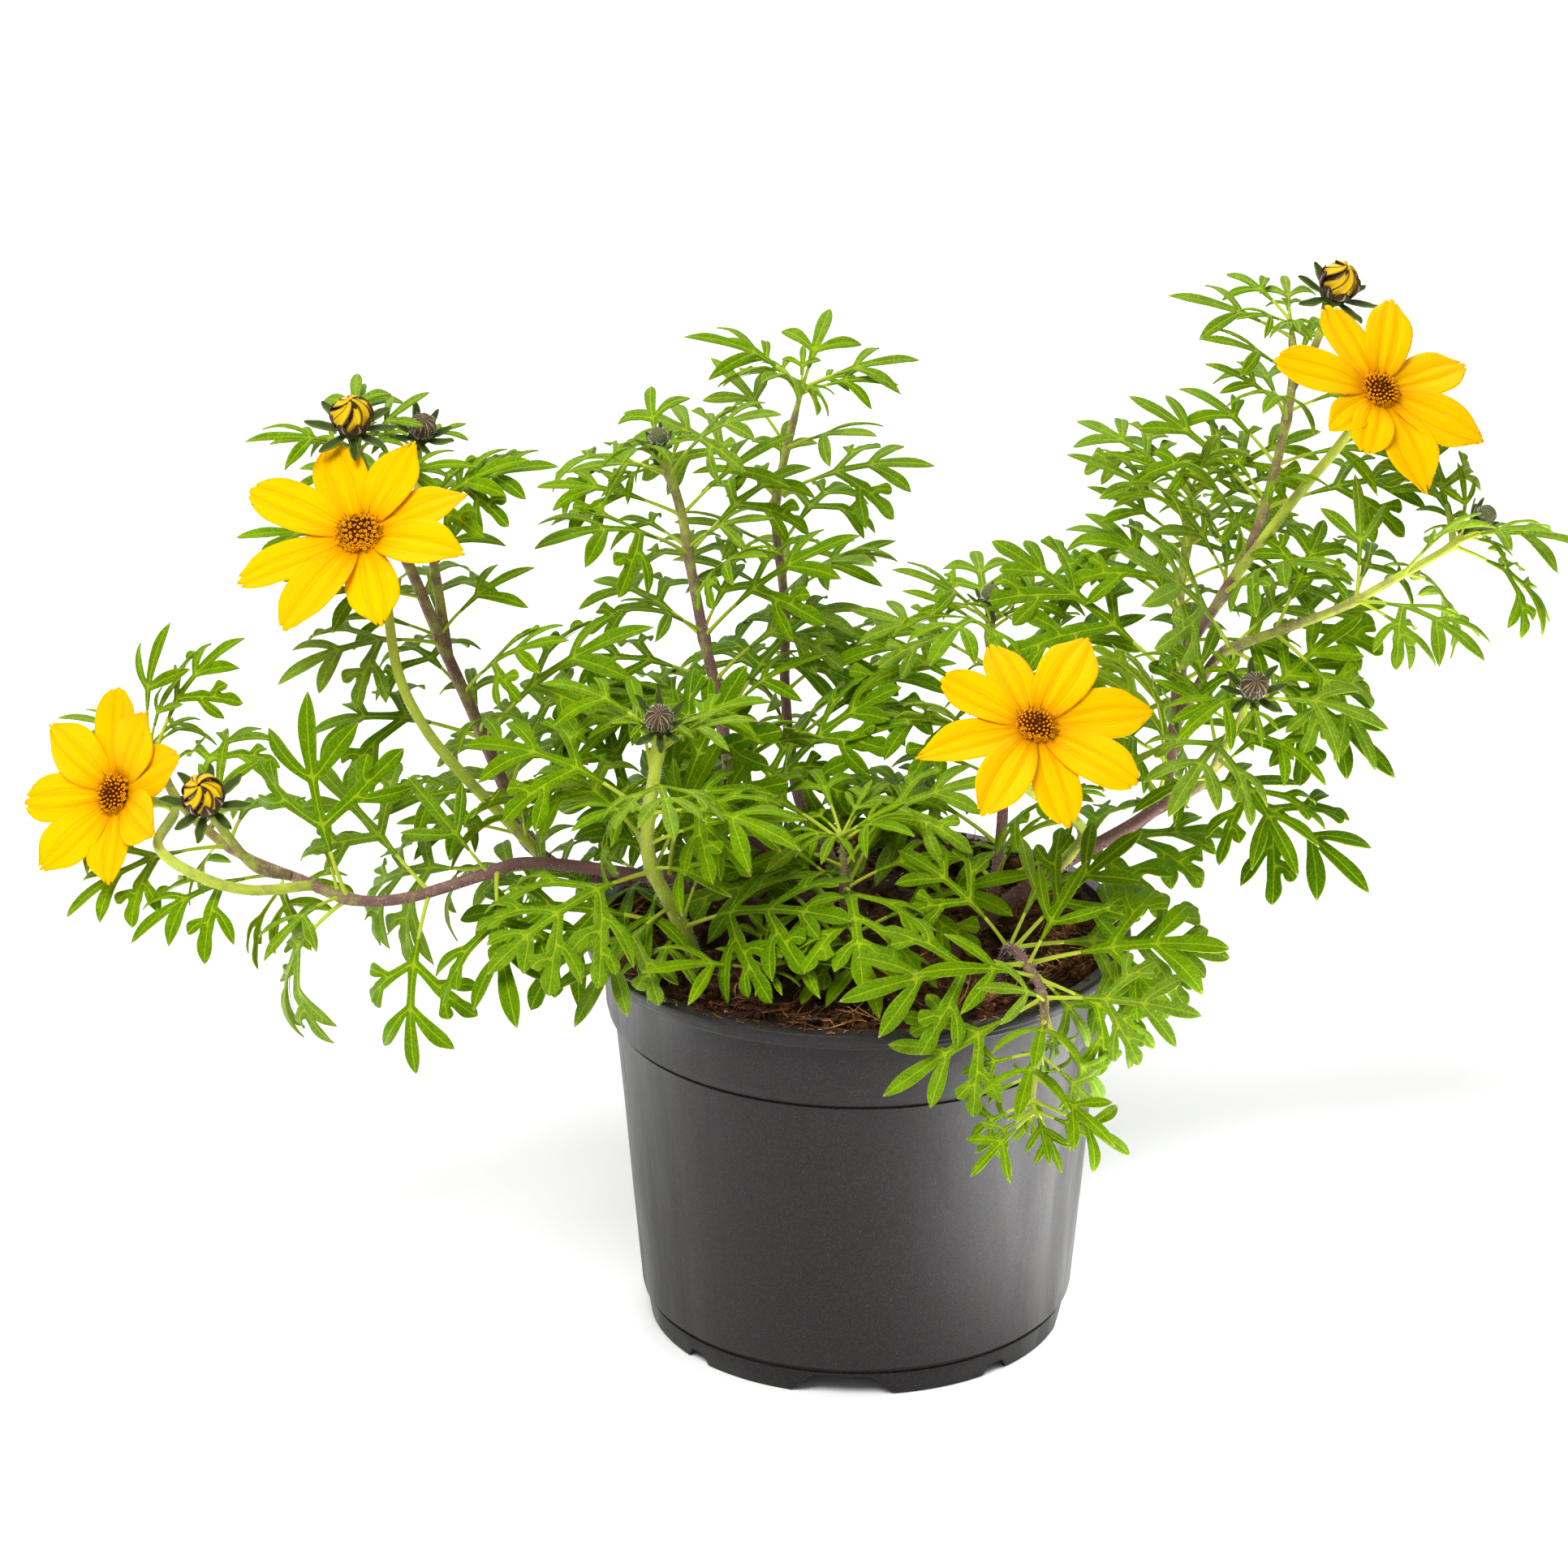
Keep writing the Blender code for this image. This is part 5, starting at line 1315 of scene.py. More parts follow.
def add_floret(draft, matrix, ripe, high, wide, gloom, draw):
    """A small tube floret: a closed knob, or five curled lobes round a dark post when it is ripe."""
    turns = [2 * pi * step / FLORET_LOBES for step in range(FLORET_LOBES)]
    rings = []
    # Each ring's darkness, deepest at the floret's foot, is painted shade between the florets
    for reach, rise, dark in RIPE_RINGS if ripe else CLOSED_RINGS:
        spots = [Vector((cos(turn) * wide * reach, sin(turn) * wide * reach, high * rise)) for turn in turns]
        rings.append([draft.point(matrix @ spot, dark=max(dark, gloom)) for spot in spots])
    for lower, upper in zip(rings, rings[1:]):
        for step in range(FLORET_LOBES):
            after = (step + 1) % FLORET_LOBES
            draft.face((lower[step], lower[after], upper[after], upper[step]), ((0, 0),) * 4)
    top = rings[-1]
    if not ripe:
        centre = draft.point(matrix @ Vector((0, 0, high)), dark=max(CLOSED_DARK, gloom))
        for step in range(FLORET_LOBES):
            draft.face((top[step], top[(step + 1) % FLORET_LOBES], centre), ((0, 0),) * 3)
        return
    centre = draft.point(matrix @ Vector((0, 0, high * POST_HEIGHT)), dark=POST_DARK)
    for step in range(FLORET_LOBES):
        after = (step + 1) % FLORET_LOBES
        turn = 2 * pi * (step + 0.5) / FLORET_LOBES
        reach = draw.uniform(*LOBE_CURL)
        spot = Vector((cos(turn) * wide * reach, sin(turn) * wide * reach, high * draw.uniform(*LOBE_RISE)))
        tip = draft.point(matrix @ spot, dark=draw.choice(LOBE_DARK))
        draft.face((top[step], tip, top[after]), ((0, 0),) * 3)
        draft.face((centre, top[step], top[after]), ((0, 0),) * 3)
    if draw.random() < NO_POST:
        return
    foot = matrix @ Vector((0, 0, high * POST_HEIGHT))
    lean = [draw.uniform(-POST_LEAN, POST_LEAN) * wide for _ in range(2)]
    post = Vector((*lean, high * draw.uniform(*POST_REACH)))
    add_needle(draft, foot, matrix @ post, wide * POST_WIDTH, dark=draw.uniform(*POST_TIP_DARK))


def build_florets(name, head, draw):
    """A bloom's disc: a dome with florets in spirals, ripe ones outside and closed ones inside."""
    draft = Draft("dark")
    matrix = head_matrix(head) @ Matrix.Scale(DISC_SPREAD[name], 4)
    dome = [(DOME_RADIUS * share, height) for share, height in DOME_FOOT]
    for step in range(DOME_STEPS + 1):
        turn = pi / 2 * step / DOME_STEPS
        dome.append((DOME_RADIUS * cos(turn) + DOME_TOP, DOME_HEIGHT * sin(turn)))
    # The dome shows between the florets and is painted dark as their shade
    add_lathe(draft, matrix, dome, DOME_SIDES, dark=DOME_SHADE)
    for index in range(FLORETS):
        share = sqrt((index + 0.5) / FLORETS)
        turn = index * GOLDEN_TURN
        spread = share * FLORET_SPREAD
        ripe = share + draw.uniform(-RIPE_STRAY, RIPE_STRAY) > RIPE_FROM[name]
        high = (FLORET_HEIGHT[0] + FLORET_HEIGHT[1] * share) * draw.uniform(*FLORET_VARY)
        spot = Vector((cos(turn) * DOME_RADIUS * DOME_COVER * sin(spread),
                       sin(turn) * DOME_RADIUS * DOME_COVER * sin(spread),
                       DOME_HEIGHT * DOME_COVER * cos(spread)))
        tilt = share * FLORET_LEAN + draw.uniform(-FLORET_STRAY, FLORET_STRAY)
        lean = Matrix.Rotation(turn, 4, "Z") @ Matrix.Rotation(tilt, 4, "Y")
        lean = lean @ Matrix.Rotation(draw.uniform(*ANY_SPIN), 4, "Z")
        gloom = max(0.0, GLOOM[0] - share * GLOOM[1]) * min(1.0, RIPE_FROM[name] * GLOOM[2])
        wide = (FLORET_WIDTH[0] + FLORET_WIDTH[1] * share) * (FLORET_RIPE_WIDTH if ripe else 1.0)
        add_floret(draft, matrix @ Matrix.Translation(spot) @ lean, ripe, high, wide, gloom, draw)
    return draft


def add_bract(draft, spin, line, width, shape, **values):
    """A bract or a folded petal: a strip along a line of (out, round, up) places in a head's own frame."""
    rows = []
    count = len(line) - 1
    for index, (out, swing, up) in enumerate(line[:-1]):
        turn = Matrix.Rotation(swing, 4, "Z")
        half = width / 2 * shape[index]
        row = []
        for step in range(-2, 3):
            side = step / 2
            lift = abs(side) * half * STRIP_HOLLOW
            wrap = side * side * half * half / max(out, LEAST_OUT) * STRIP_ROUND
            spot = Vector((out + lift * STRIP_OUT - wrap, side * half, up + lift * STRIP_UP))
            row.append(draft.point(spin @ turn @ spot, edge=abs(side), **values))
        rows.append(row)
    out, swing, up = line[-1]
    tip = draft.point(spin @ Matrix.Rotation(swing, 4, "Z") @ Vector((out, 0, up)), edge=0.5, **values)
    for index, (lower, upper) in enumerate(zip(rows, rows[1:])):
        low, high = index / count, (index + 1) / count
        for side in range(4):
            one, other = side / 4, (side + 1) / 4
            draft.face((lower[side], upper[side], upper[side + 1], lower[side + 1]),
                       ((one, low), (one, high), (other, high), (other, low)))
    low = (count - 1) / count
    for side in range(4):
        draft.face((rows[-1][side], tip, rows[-1][side + 1]),
                   ((side / 4, low), ((side + 0.5) / 4, 1.0), ((side + 1) / 4, low)))


def build_calyx(head, draw):
    """The ring of green bracts under a head, and a bloom's inner ring of short brown ones."""
    draft = Draft("brown", "edge")
    matrix = head_matrix(head)
    radius, reach, rise, width = CALYXES[head.kind]
    foot = radius * BRACT_FOOT
    for index in range(BRACTS):
        turn = 2 * pi * (index + draw.uniform(-BRACT_STRAY, BRACT_STRAY)) / BRACTS
        high = rise + draw.uniform(-BRACT_RISE, BRACT_RISE)
        length = reach * draw.uniform(*BRACT_REACH)
        line = []
        for step in range(BRACT_STEPS + 1):
            share = step / BRACT_STEPS
            line.append((foot + (length - foot) * share, draw.uniform(-BRACT_WANDER, BRACT_WANDER) * step,
                         LID_DROP - BRACT_SINK + high * share ** BRACT_RISE_POWER))
        breadth = width * draw.uniform(*BRACT_BREADTH)
        add_bract(draft, matrix @ Matrix.Rotation(turn, 4, "Z"), line, breadth, BRACT_SHAPE)
    if head.kind == "bloom":
        line = [(radius * INNER_FOOT + INNER_REACH * step / BRACT_STEPS, 0.0,
                 LID_DROP - INNER_SINK + INNER_RISE * step / BRACT_STEPS) for step in range(BRACT_STEPS + 1)]
        for index in range(BRACTS):
            spin = matrix @ Matrix.Rotation(2 * pi * (index + 0.5) / BRACTS, 4, "Z")
            add_bract(draft, spin, line, width * INNER_WIDTH, BRACT_SHAPE, brown=INNER_BROWN)
    return draft


def build_cup(head):
    """The solid part of a calyx, from the stalk's end up to the head."""
    draft = Draft("brown", "edge")
    radius = CALYXES[head.kind][0]
    profile = [(girth, -CUP_DROP * drop) for girth, drop in CUP_STALK]
    profile += [(radius * share, -CUP_DROP * drop) for share, drop in CUP_WALL]
    profile += [(radius, LID_DROP - INNER_SINK), (radius * CUP_LID, LID_DROP)]
    add_lathe(draft, head_matrix(head), profile, CUP_SIDES, lambda turn: 1 + CUP_RIDGE * cos(turn * BRACTS))
    return draft


def body_profile(head, share):
    """A bud's radius and height at a share of its height."""
    radius, height = BUD_SIZES[head.kind]
    if head.kind == "opening":
        most, start, rate, power = OPENING_GIRTH
        girth = sin(pi * min(most, start + share * rate)) ** power
    else:
        least, power = CLOSED_GIRTH
        girth = sqrt(max(least, 1 - (share * 2 - 1) ** 2)) ** power
    return radius * girth, height * (share - BODY_FOOT)


def build_body(head, draw):
    """A bud's core: dark behind the petals of an opening bud, low, ribbed and streaked in a closed one."""
    draft = Draft("shade")
    shift = draw.uniform(*ANY_TURN)
    inner, lower = CORE_SHARES if head.kind == "opening" else (1.0, 1.0)
    profile = []
    for index in range(BODY_STEPS + 1):
        girth, height = body_profile(head, index / BODY_STEPS)
        profile.append((girth * inner, height * lower))

    def swell(turn):
        return BODY_RIDGE[0] + BODY_RIDGE[1] * abs(sin(turn * 4 + shift)) ** 0.5

    add_lathe(draft, head_matrix(head), profile, BODY_SIDES, swell)
    return draft


def build_folds(head, draw):
    """The twisted yellow petals of an opening bud."""
    draft = Draft("shade", "edge")
    matrix = head_matrix(head)
    for index in range(FOLDS):
        turn = 2 * pi * (index + draw.uniform(-FOLD_STRAY, FOLD_STRAY)) / FOLDS
        swing = draw.uniform(*FOLD_SWING)
        bulge = draw.uniform(*FOLD_BULGE)
        top = draw.uniform(*FOLD_TOP)
        line = []
        for step in range(FOLD_STEPS + 1):
            share = step / FOLD_STEPS
            place = FOLD_FOOT[0] + FOLD_FOOT[1] * share * top if share < 1 else min(1.0, top)
            girth, height = body_profile(head, place)
            closing = 1 - FOLD_CLOSE[0] * share ** FOLD_CLOSE[1]
            girth = (girth * bulge + FOLD_LAYER * share * (index % 3)) * closing
            line.append((girth, swing * share ** FOLD_POWER, height + FOLD_LAYER * (index % 2)))
        width = BUD_SIZES[head.kind][0] * FOLD_WIDTH
        spin = matrix @ Matrix.Rotation(turn, 4, "Z")
        add_bract(draft, spin, line, width, FOLD_SHAPE, shade=draw.uniform(-1, 1))
    return draft


def build_scales(head, draw):
    """The dark streaked scales that hug the lower half of an opening bud."""
    draft = Draft("shade", "edge")
    matrix = head_matrix(head)
    for index in range(FOLDS):
        turn = 2 * pi * (index + 0.5 + draw.uniform(-SCALE_STRAY, SCALE_STRAY)) / FOLDS
        top = draw.uniform(*SCALE_TOP)
        line = []
        for step in range(SCALE_STEPS + 1):
            girth, height = body_profile(head, SCALE_FOOT + top * step / SCALE_STEPS)
            line.append((girth * SCALE_OUT[0] + SCALE_OUT[1], 0.0, height))
        width = BUD_SIZES[head.kind][0] * SCALE_WIDTH
        spin = matrix @ Matrix.Rotation(turn, 4, "Z")
        add_bract(draft, spin, line, width, SCALE_SHAPE, shade=draw.uniform(-1, 1))
    return draft


def node(tree, kind, inputs=None, **settings):
    """Add a node, with a value or a link for each named input, and its settings."""
    made = tree.nodes.new(kind)
    for label, value in settings.items():
        setattr(made, label, value)
    for label, value in (inputs or {}).items():
        if isinstance(value, bpy.types.NodeSocket):
            tree.links.new(value, made.inputs[label])
        else:
            made.inputs[label].default_value = value
    return made


def mixed(tree, share, one, other, kind="MIX"):
    """A colour between two, or one worked on the other."""
    settings = {"data_type": "RGBA", "blend_type": kind, "clamp_factor": True}
    return node(tree, "ShaderNodeMix", {0: share, 6: one, 7: other}, **settings).outputs[2]


def sums(tree, kind, one, other=0.0, clamp=False):
    """One sum of two values."""
    return node(tree, "ShaderNodeMath", {0: one, 1: other}, operation=kind, use_clamp=clamp).outputs[0]


def between(tree, value, low, high, start=0.0, end=1.0):
    """A value's smooth step from low to high."""
    inputs = {"Value": value, "From Min": low, "From Max": high, "To Min": start, "To Max": end}
    return node(tree, "ShaderNodeMapRange", inputs, interpolation_type="SMOOTHSTEP").outputs[0]


def tone(colour, light=1.0):
    """A colour with its alpha, a little lighter or darker."""
    return (colour[0] * light, colour[1] * light, colour[2] * light, 1.0)


def new_group(name, inputs, outputs):
    """A shader node group with its inputs and outputs; gives the group and its two end nodes."""
    tree = bpy.data.node_groups.new(name, "ShaderNodeTree")
    for label, kind, value in inputs:
        socket = tree.interface.new_socket(label, in_out="INPUT", socket_type=kind)
        if value is not None:
            socket.default_value = value
    for label, kind in outputs:
        tree.interface.new_socket(label, in_out="OUTPUT", socket_type=kind)
    return tree, tree.nodes.new("NodeGroupInput"), tree.nodes.new("NodeGroupOutput")


def mottle_group():
    """Soft blotches of two sizes and a fine grain, from a place on the piece."""
    tree, start, end = new_group("mottle", (
        ("Vector", "NodeSocketVector", None), ("Size", "NodeSocketFloat", 200.0)),
        (("Blotch", "NodeSocketFloat"), ("Grain", "NodeSocketFloat")))
    wide = {"Vector": start.outputs[0], "Scale": start.outputs[1], "Detail": 3.0, "Roughness": 0.6}
    blotch = node(tree, "ShaderNodeTexNoise", wide)
    close = sums(tree, "MULTIPLY", start.outputs[1], GRAIN_RATE)
    grain = node(tree, "ShaderNodeTexNoise", {"Vector": start.outputs[0], "Scale": close, "Detail": 2.0})
    tree.links.new(between(tree, blotch.outputs[0], 0.32, 0.68), end.inputs[0])
    tree.links.new(between(tree, grain.outputs[0], 0.30, 0.70), end.inputs[1])
    return tree


def vein_group():
    """A leaf's broad rib, its side veins and the small puckers between them."""
    tree, start, end = new_group("leaf_veins", (
        ("Place", "NodeSocketVector", None), ("Surface", "NodeSocketVector", None),
        ("Rib", "NodeSocketFloat", 1.0)),
        (("Rib Mask", "NodeSocketFloat"), ("Vein Mask", "NodeSocketFloat"), ("Height", "NodeSocketFloat")))
    rib = between(tree, start.outputs[2], *RIB_WIDTH, 1.0, 0.0)
    parts = node(tree, "ShaderNodeSeparateXYZ", {0: start.outputs[1]})
    aside = sums(tree, "ABSOLUTE", parts.outputs[0])
    slant = sums(tree, "SUBTRACT", parts.outputs[1], sums(tree, "MULTIPLY", aside, VEIN_SLANT))
    noisy = {"Vector": start.outputs[0], "Scale": WANDER_RATE, "Detail": 1.0}
    wander = node(tree, "ShaderNodeTexNoise", noisy)
    slant = sums(tree, "ADD", slant, sums(tree, "MULTIPLY", wander.outputs[0], VEIN_WANDER))
    wave = sums(tree, "SINE", sums(tree, "MULTIPLY", slant, VEIN_RATE))
    vein = between(tree, wave, VEIN_FROM, 1.0)
    cells = node(tree, "ShaderNodeTexVoronoi", {"Vector": start.outputs[0], "Scale": PUCKER_RATE},
                 feature="DISTANCE_TO_EDGE")
    pucker = between(tree, cells.outputs["Distance"], 0.0, PUCKER_EDGE)
    height = sums(tree, "MULTIPLY", pucker, PUCKER_DEPTH)
    height = sums(tree, "SUBTRACT", height, sums(tree, "MULTIPLY", vein, VEIN_DEPTH))
    height = sums(tree, "SUBTRACT", height, sums(tree, "MULTIPLY", rib, RIB_DEPTH))
    net = sums(tree, "SUBTRACT", 1.0, pucker)
    mask = sums(tree, "MAXIMUM", vein, sums(tree, "MULTIPLY", net, NET_SHARE), clamp=True)
    for value, socket in zip((rib, mask, height), end.inputs):
        tree.links.new(value, socket)
    return tree


def streak_group():
    """Fine lines that run along a petal, a bract or a stalk, from its UV map."""
    tree, start, end = new_group("streaks", (
        ("Surface", "NodeSocketVector", None), ("Across", "NodeSocketFloat", 20.0),
        ("Along", "NodeSocketFloat", 1.0)), (("Fine", "NodeSocketFloat"), ("Broad", "NodeSocketFloat")))
    parts = node(tree, "ShaderNodeSeparateXYZ", {0: start.outputs[0]})
    x = sums(tree, "MULTIPLY", parts.outputs[0], start.outputs[1])
    y = sums(tree, "MULTIPLY", parts.outputs[1], start.outputs[2])
    place = node(tree, "ShaderNodeCombineXYZ", {0: x, 1: y})
    fine = node(tree, "ShaderNodeTexNoise", {"Vector": place.outputs[0], "Scale": 1.0, "Detail": 3.0})
    broad = node(tree, "ShaderNodeTexNoise", {"Vector": place.outputs[0], "Scale": 0.28, "Detail": 1.0})
    tree.links.new(between(tree, fine.outputs[0], 0.32, 0.68), end.inputs[0])
    tree.links.new(between(tree, broad.outputs[0], 0.35, 0.65), end.inputs[1])
    return tree


def group(name):
    """A shared node group, made the first time that it is asked for."""
    makers = {"mottle": mottle_group, "leaf_veins": vein_group, "streaks": streak_group}
    return bpy.data.node_groups.get(name) or makers[name]()


def use(tree, name, inputs):
    """Place a shared node group in a material."""
    return node(tree, "ShaderNodeGroup", inputs, node_tree=group(name))


class Paint:
    """A material whose colour is laid on in coats."""

    def __init__(self, name, **constants):
        self.material = bpy.data.materials.new(name)
        self.material.use_nodes = True
        self.tree = self.material.node_tree
        self.shader = self.tree.nodes["Principled BSDF"]
        for label, value in constants.items():
            self.shader.inputs[label.replace("_", " ")].default_value = value

    def value(self, label):
        """A point value that the piece carries."""
        return node(self.tree, "ShaderNodeAttribute", attribute_name=label).outputs["Fac"]

    def place(self):
        """A place on the piece."""
        return node(self.tree, "ShaderNodeTexCoord").outputs["Object"]

    def surface(self):
        """A place on the piece's UV map."""
        return node(self.tree, "ShaderNodeUVMap", uv_map="surface").outputs[0]

    def across_and_along(self):
        """How far across the piece a place is, and how far along it."""
        return node(self.tree, "ShaderNodeSeparateXYZ", {0: self.surface()}).outputs[:2]

    def mottle(self, size, squash=1.0):
        """Blotches and grain of a size, drawn out along the height where they are squashed."""
        place = self.place()
        if squash != 1.0:
            squashed = {"Vector": place, "Scale": (1.0, 1.0, squash)}
            place = node(self.tree, "ShaderNodeMapping", squashed).outputs[0]
        return use(self.tree, "mottle", {"Vector": place, "Size": size}).outputs

    def streaks(self, across, along):
        """Fine and broad lines along the piece."""
        lines = {"Surface": self.surface(), "Across": across, "Along": along}
        return use(self.tree, "streaks", lines).outputs

    def times(self, one, other):
        """The product of two values."""
        return sums(self.tree, "MULTIPLY", one, other)

    def step(self, value, low, high, start=0.0, end=1.0):
        """A value's smooth step from low to high."""
        return between(self.tree, value, low, high, start, end)

    def ground(self, mask, one, other, light=1.0, other_light=1.0):
        """The first coat: one colour, and another where the mask is."""
        self.colour = mixed(self.tree, mask, tone(one, light), tone(other, other_light))

    def coat(self, colour, mask, share=1.0, light=1.0):
        """Lay a colour over the coats so far, where the mask is and as far as the share says."""
        cover = mask if share == 1.0 else self.times(mask, share)
        self.colour = mixed(self.tree, cover, self.colour, tone(colour, light))

    def finish(self, height=None, strength=0.0, depth=0.0, rough=None):
        """Feed the colour, a height and a roughness to the shader, and give the material."""
        links = {"Base Color": self.colour, "Roughness": rough}
        if height is not None:
            relief = {"Height": height, "Strength": strength, "Distance": depth}
            links["Normal"] = node(self.tree, "ShaderNodeBump", relief).outputs[0]
        for label, value in links.items():
            if value is not None:
                self.tree.links.new(value, self.shader.inputs[label])
        return self.material


def leaf_material(name, settings, under):
    """The upper or lower face of the leaves."""
    old, young, pale = settings.leaf_old, settings.leaf_young, settings.leaf_rib
    paint = Paint(name, Specular_IOR_Level=0.06, Specular_Tint=(0.9, 1.0, 0.25, 1.0), Subsurface_Weight=0.16,
                  Subsurface_Scale=0.0006, Subsurface_Radius=(0.6, 1.0, 0.08))
    blotch, grain = paint.mottle(260.0)
    lines = {"Place": paint.place(), "Surface": paint.surface(), "Rib": paint.value("rib")}
    rib, vein, relief = use(paint.tree, "leaf_veins", lines).outputs
    paint.ground(paint.value("tone"), old, young)
    paint.coat(settings.leaf_dull, paint.step(paint.value("cast"), 0.55, 1.0, 0.0, 0.85))
    paint.coat(old, blotch, 0.50, light=0.78)
    paint.coat(young, grain, 0.28, light=1.15)
    if under:
        paint.coat(settings.leaf_under, 0.55)
    paint.coat(old, paint.step(relief, 0.0, 0.6, 0.0, 0.35), light=0.7)
    paint.coat(pale, vein, 0.22)
    paint.coat(pale, rib, 0.68)
    paint.coat(pale, paint.step(paint.value("margin"), 0.84, 0.99, 0.0, 0.24))
    paint.coat(LEAF_TIP, paint.step(paint.value("tip"), 0.55, 0.97))
    return paint.finish(relief, -0.9 if under else 0.9, 0.00018, paint.step(grain, 0.0, 1.0, 0.38, 0.58))


def stalk_material(settings):
    """Stems from purple brown at the foot to pale green above, and the leaves' pale ribs."""
    green, purple = settings.stem_green, settings.stem_purple
    paint = Paint("stalk", Roughness=0.55, Specular_IOR_Level=0.10, Sheen_Weight=0.04, Sheen_Roughness=0.45)
    fine, broad = paint.streaks(16.0, 1.2)
    blotch, grain = paint.mottle(300.0)
    patch = paint.times(sums(paint.tree, "SUBTRACT", blotch, 0.5), 0.25)
    age = sums(paint.tree, "ADD", paint.value("age"), patch)
    worn = paint.step(age, 0.05, 0.60, 0.04, 0.30)
    paint.ground(paint.value("pale"), green, settings.leaf_rib)
    paint.coat(green, fine, 0.25, light=1.25)
    paint.coat(purple, paint.step(age, 0.15, 0.70))
    paint.coat(purple, broad, worn, light=1.8)
    paint.coat(purple, grain, worn, light=0.6)
    return paint.finish(fine, 0.4, 0.0001)


def hair_material():
    """The fine white hairs."""
    paint = Paint("hair", Roughness=0.55, Specular_IOR_Level=0.4)
    paint.ground(paint.mottle(500.0)[0], *HAIR_COLOURS)
    return paint.finish()


def petal_material(settings, under):
    """The ray petals: clear yellow, deeper yellow and painted shade in the grooves, streaked with orange at
    the foot.
    """
    deep = settings.petal_deep
    paint = Paint("petal_under" if under else "petal_face", Roughness=0.50, Specular_IOR_Level=0.04,
                  Specular_Tint=(1.0, 0.75, 0.1, 1.0), Subsurface_Weight=0.10, Subsurface_Scale=0.0008,
                  Subsurface_Radius=(1.0, 0.7, 0.05))
    along = paint.across_and_along()[1]
    fine = paint.streaks(40.0, 1.3)[0]
    paint.ground(paint.step(paint.value("shade"), -1.0, 1.0, 0.0, 0.22), settings.petal, deep)
    paint.coat(deep, fine, 0.28)
    # The grooves are darker: partly the petal's own deeper yellow, partly painted shade in the creases
    paint.coat(deep, paint.value("groove"), paint.step(fine, 0.1, 0.9, 0.10, 0.55), light=0.85)
    low, lowest = paint.step(along, 0.05, 0.50, 1.0, 0.0), paint.step(along, 0.02, 0.22, 1.0, 0.0)
    paint.coat(deep, low, paint.step(fine, 0.0, 1.0, 0.35, 0.9), light=0.92)
    paint.coat(settings.petal_foot, lowest, 0.60)
    if under:
        paint.coat(deep, 0.35, light=0.80)
    return paint.finish(fine, 0.55, 0.00014)


def floret_material(settings):
    """The disc's florets, from orange yellow to dark red brown at their posts, with painted shade at their
    feet and on the dome.
    """
    paint = Paint("floret", Roughness=0.60, Specular_IOR_Level=0.03)
    blotch, grain = paint.mottle(900.0)
    paint.ground(blotch, settings.floret, settings.floret, other_light=0.75)
    # The same dark red brown is the posts' own colour and the painted shade at the florets' feet and on the
    # dome
    paint.coat(settings.floret_post_and_shade, paint.step(paint.value("dark"), 0.10, 0.80))
    return paint.finish(grain, 0.3, 0.0001)


def bract_material(settings):
    """Cups and bracts: dark green with a paler edge, the inner ones brown."""
    paint = Paint("bract", Roughness=0.50, Specular_IOR_Level=0.06)
    fine = paint.streaks(9.0, 1.2)[0]
    paint.ground(fine, settings.bract, settings.bract, other_light=2.1)
    paint.coat(settings.bract_edge, paint.step(paint.value("edge"), 0.60, 0.95, 0.0, 0.85))
    paint.coat(settings.bud_streak, paint.value("brown"), light=1.6)
    paint.coat(settings.bract, paint.mottle(500.0)[0], 0.4, light=0.6)
    return paint.finish(fine, 0.5, 0.00012)


def fold_material(settings):
    """The folded petals of an opening bud: yellow with deeper streaks and dark edges."""
    paint = Paint("petal_fold", Roughness=0.50, Specular_IOR_Level=0.12)
    fine = paint.streaks(12.0, 1.6)[0]
    low = paint.step(paint.across_and_along()[1], 0.10, 0.60, 1.0, 0.0)
    paint.ground(paint.times(fine, 0.70), settings.fold, settings.petal_deep, other_light=0.45)
    paint.coat(settings.bud_streak, low, paint.step(fine, 0.25, 0.75))
    paint.coat(settings.bud_streak, paint.step(paint.value("edge"), 0.55, 1.0, 0.0, 0.92), light=1.4)
    return paint.finish(fine, 0.5, 0.00015)


def bud_material(kind, settings, foliage):
    """A bud's body: dark streaked scales, a brown button with pale seams, or a young grey green one."""
    streak, brown, seam = settings.bud_streak, settings.bud_brown, settings.bud_seam
    paint = Paint("bud_" + kind, Roughness=0.62, Specular_IOR_Level=0.1, Sheen_Weight=0.06)
    fine, broad = paint.streaks(9.0 if kind == "opening" else 110.0, 1.6)
    blotch, grain = paint.mottle(900.0)
    if kind == "opening":
        paint.ground(fine, streak, streak, 0.7, 1.5)
        paint.coat(seam, paint.step(broad, 0.70, 1.0, 0.0, 0.55))
    elif kind == "closed":
        across, along = paint.across_and_along()
        wander = paint.times(sums(paint.tree, "SUBTRACT", blotch, 0.5), 0.020)
        turn = paint.times(sums(paint.tree, "ADD", across, wander), BUD_SEAMS * pi)
        line = sums(paint.tree, "ABSOLUTE", sums(paint.tree, "SINE", turn))
        paint.ground(fine, brown, brown, 1.3, 0.35)
        paint.coat(seam, paint.step(broad, 0.80, 1.0, 0.0, 0.45), light=0.8)
        paint.coat(seam, paint.step(line, 0.0, 0.24, 0.9, 0.0), paint.step(along, 0.3, 1.0, 0.5, 1.0))
    else:
        paint.ground(fine, brown, foliage.leaf_old, 0.8)
        paint.coat(seam, grain, 0.5, light=0.6)
    return paint.finish(fine, 0.8, 0.0002)


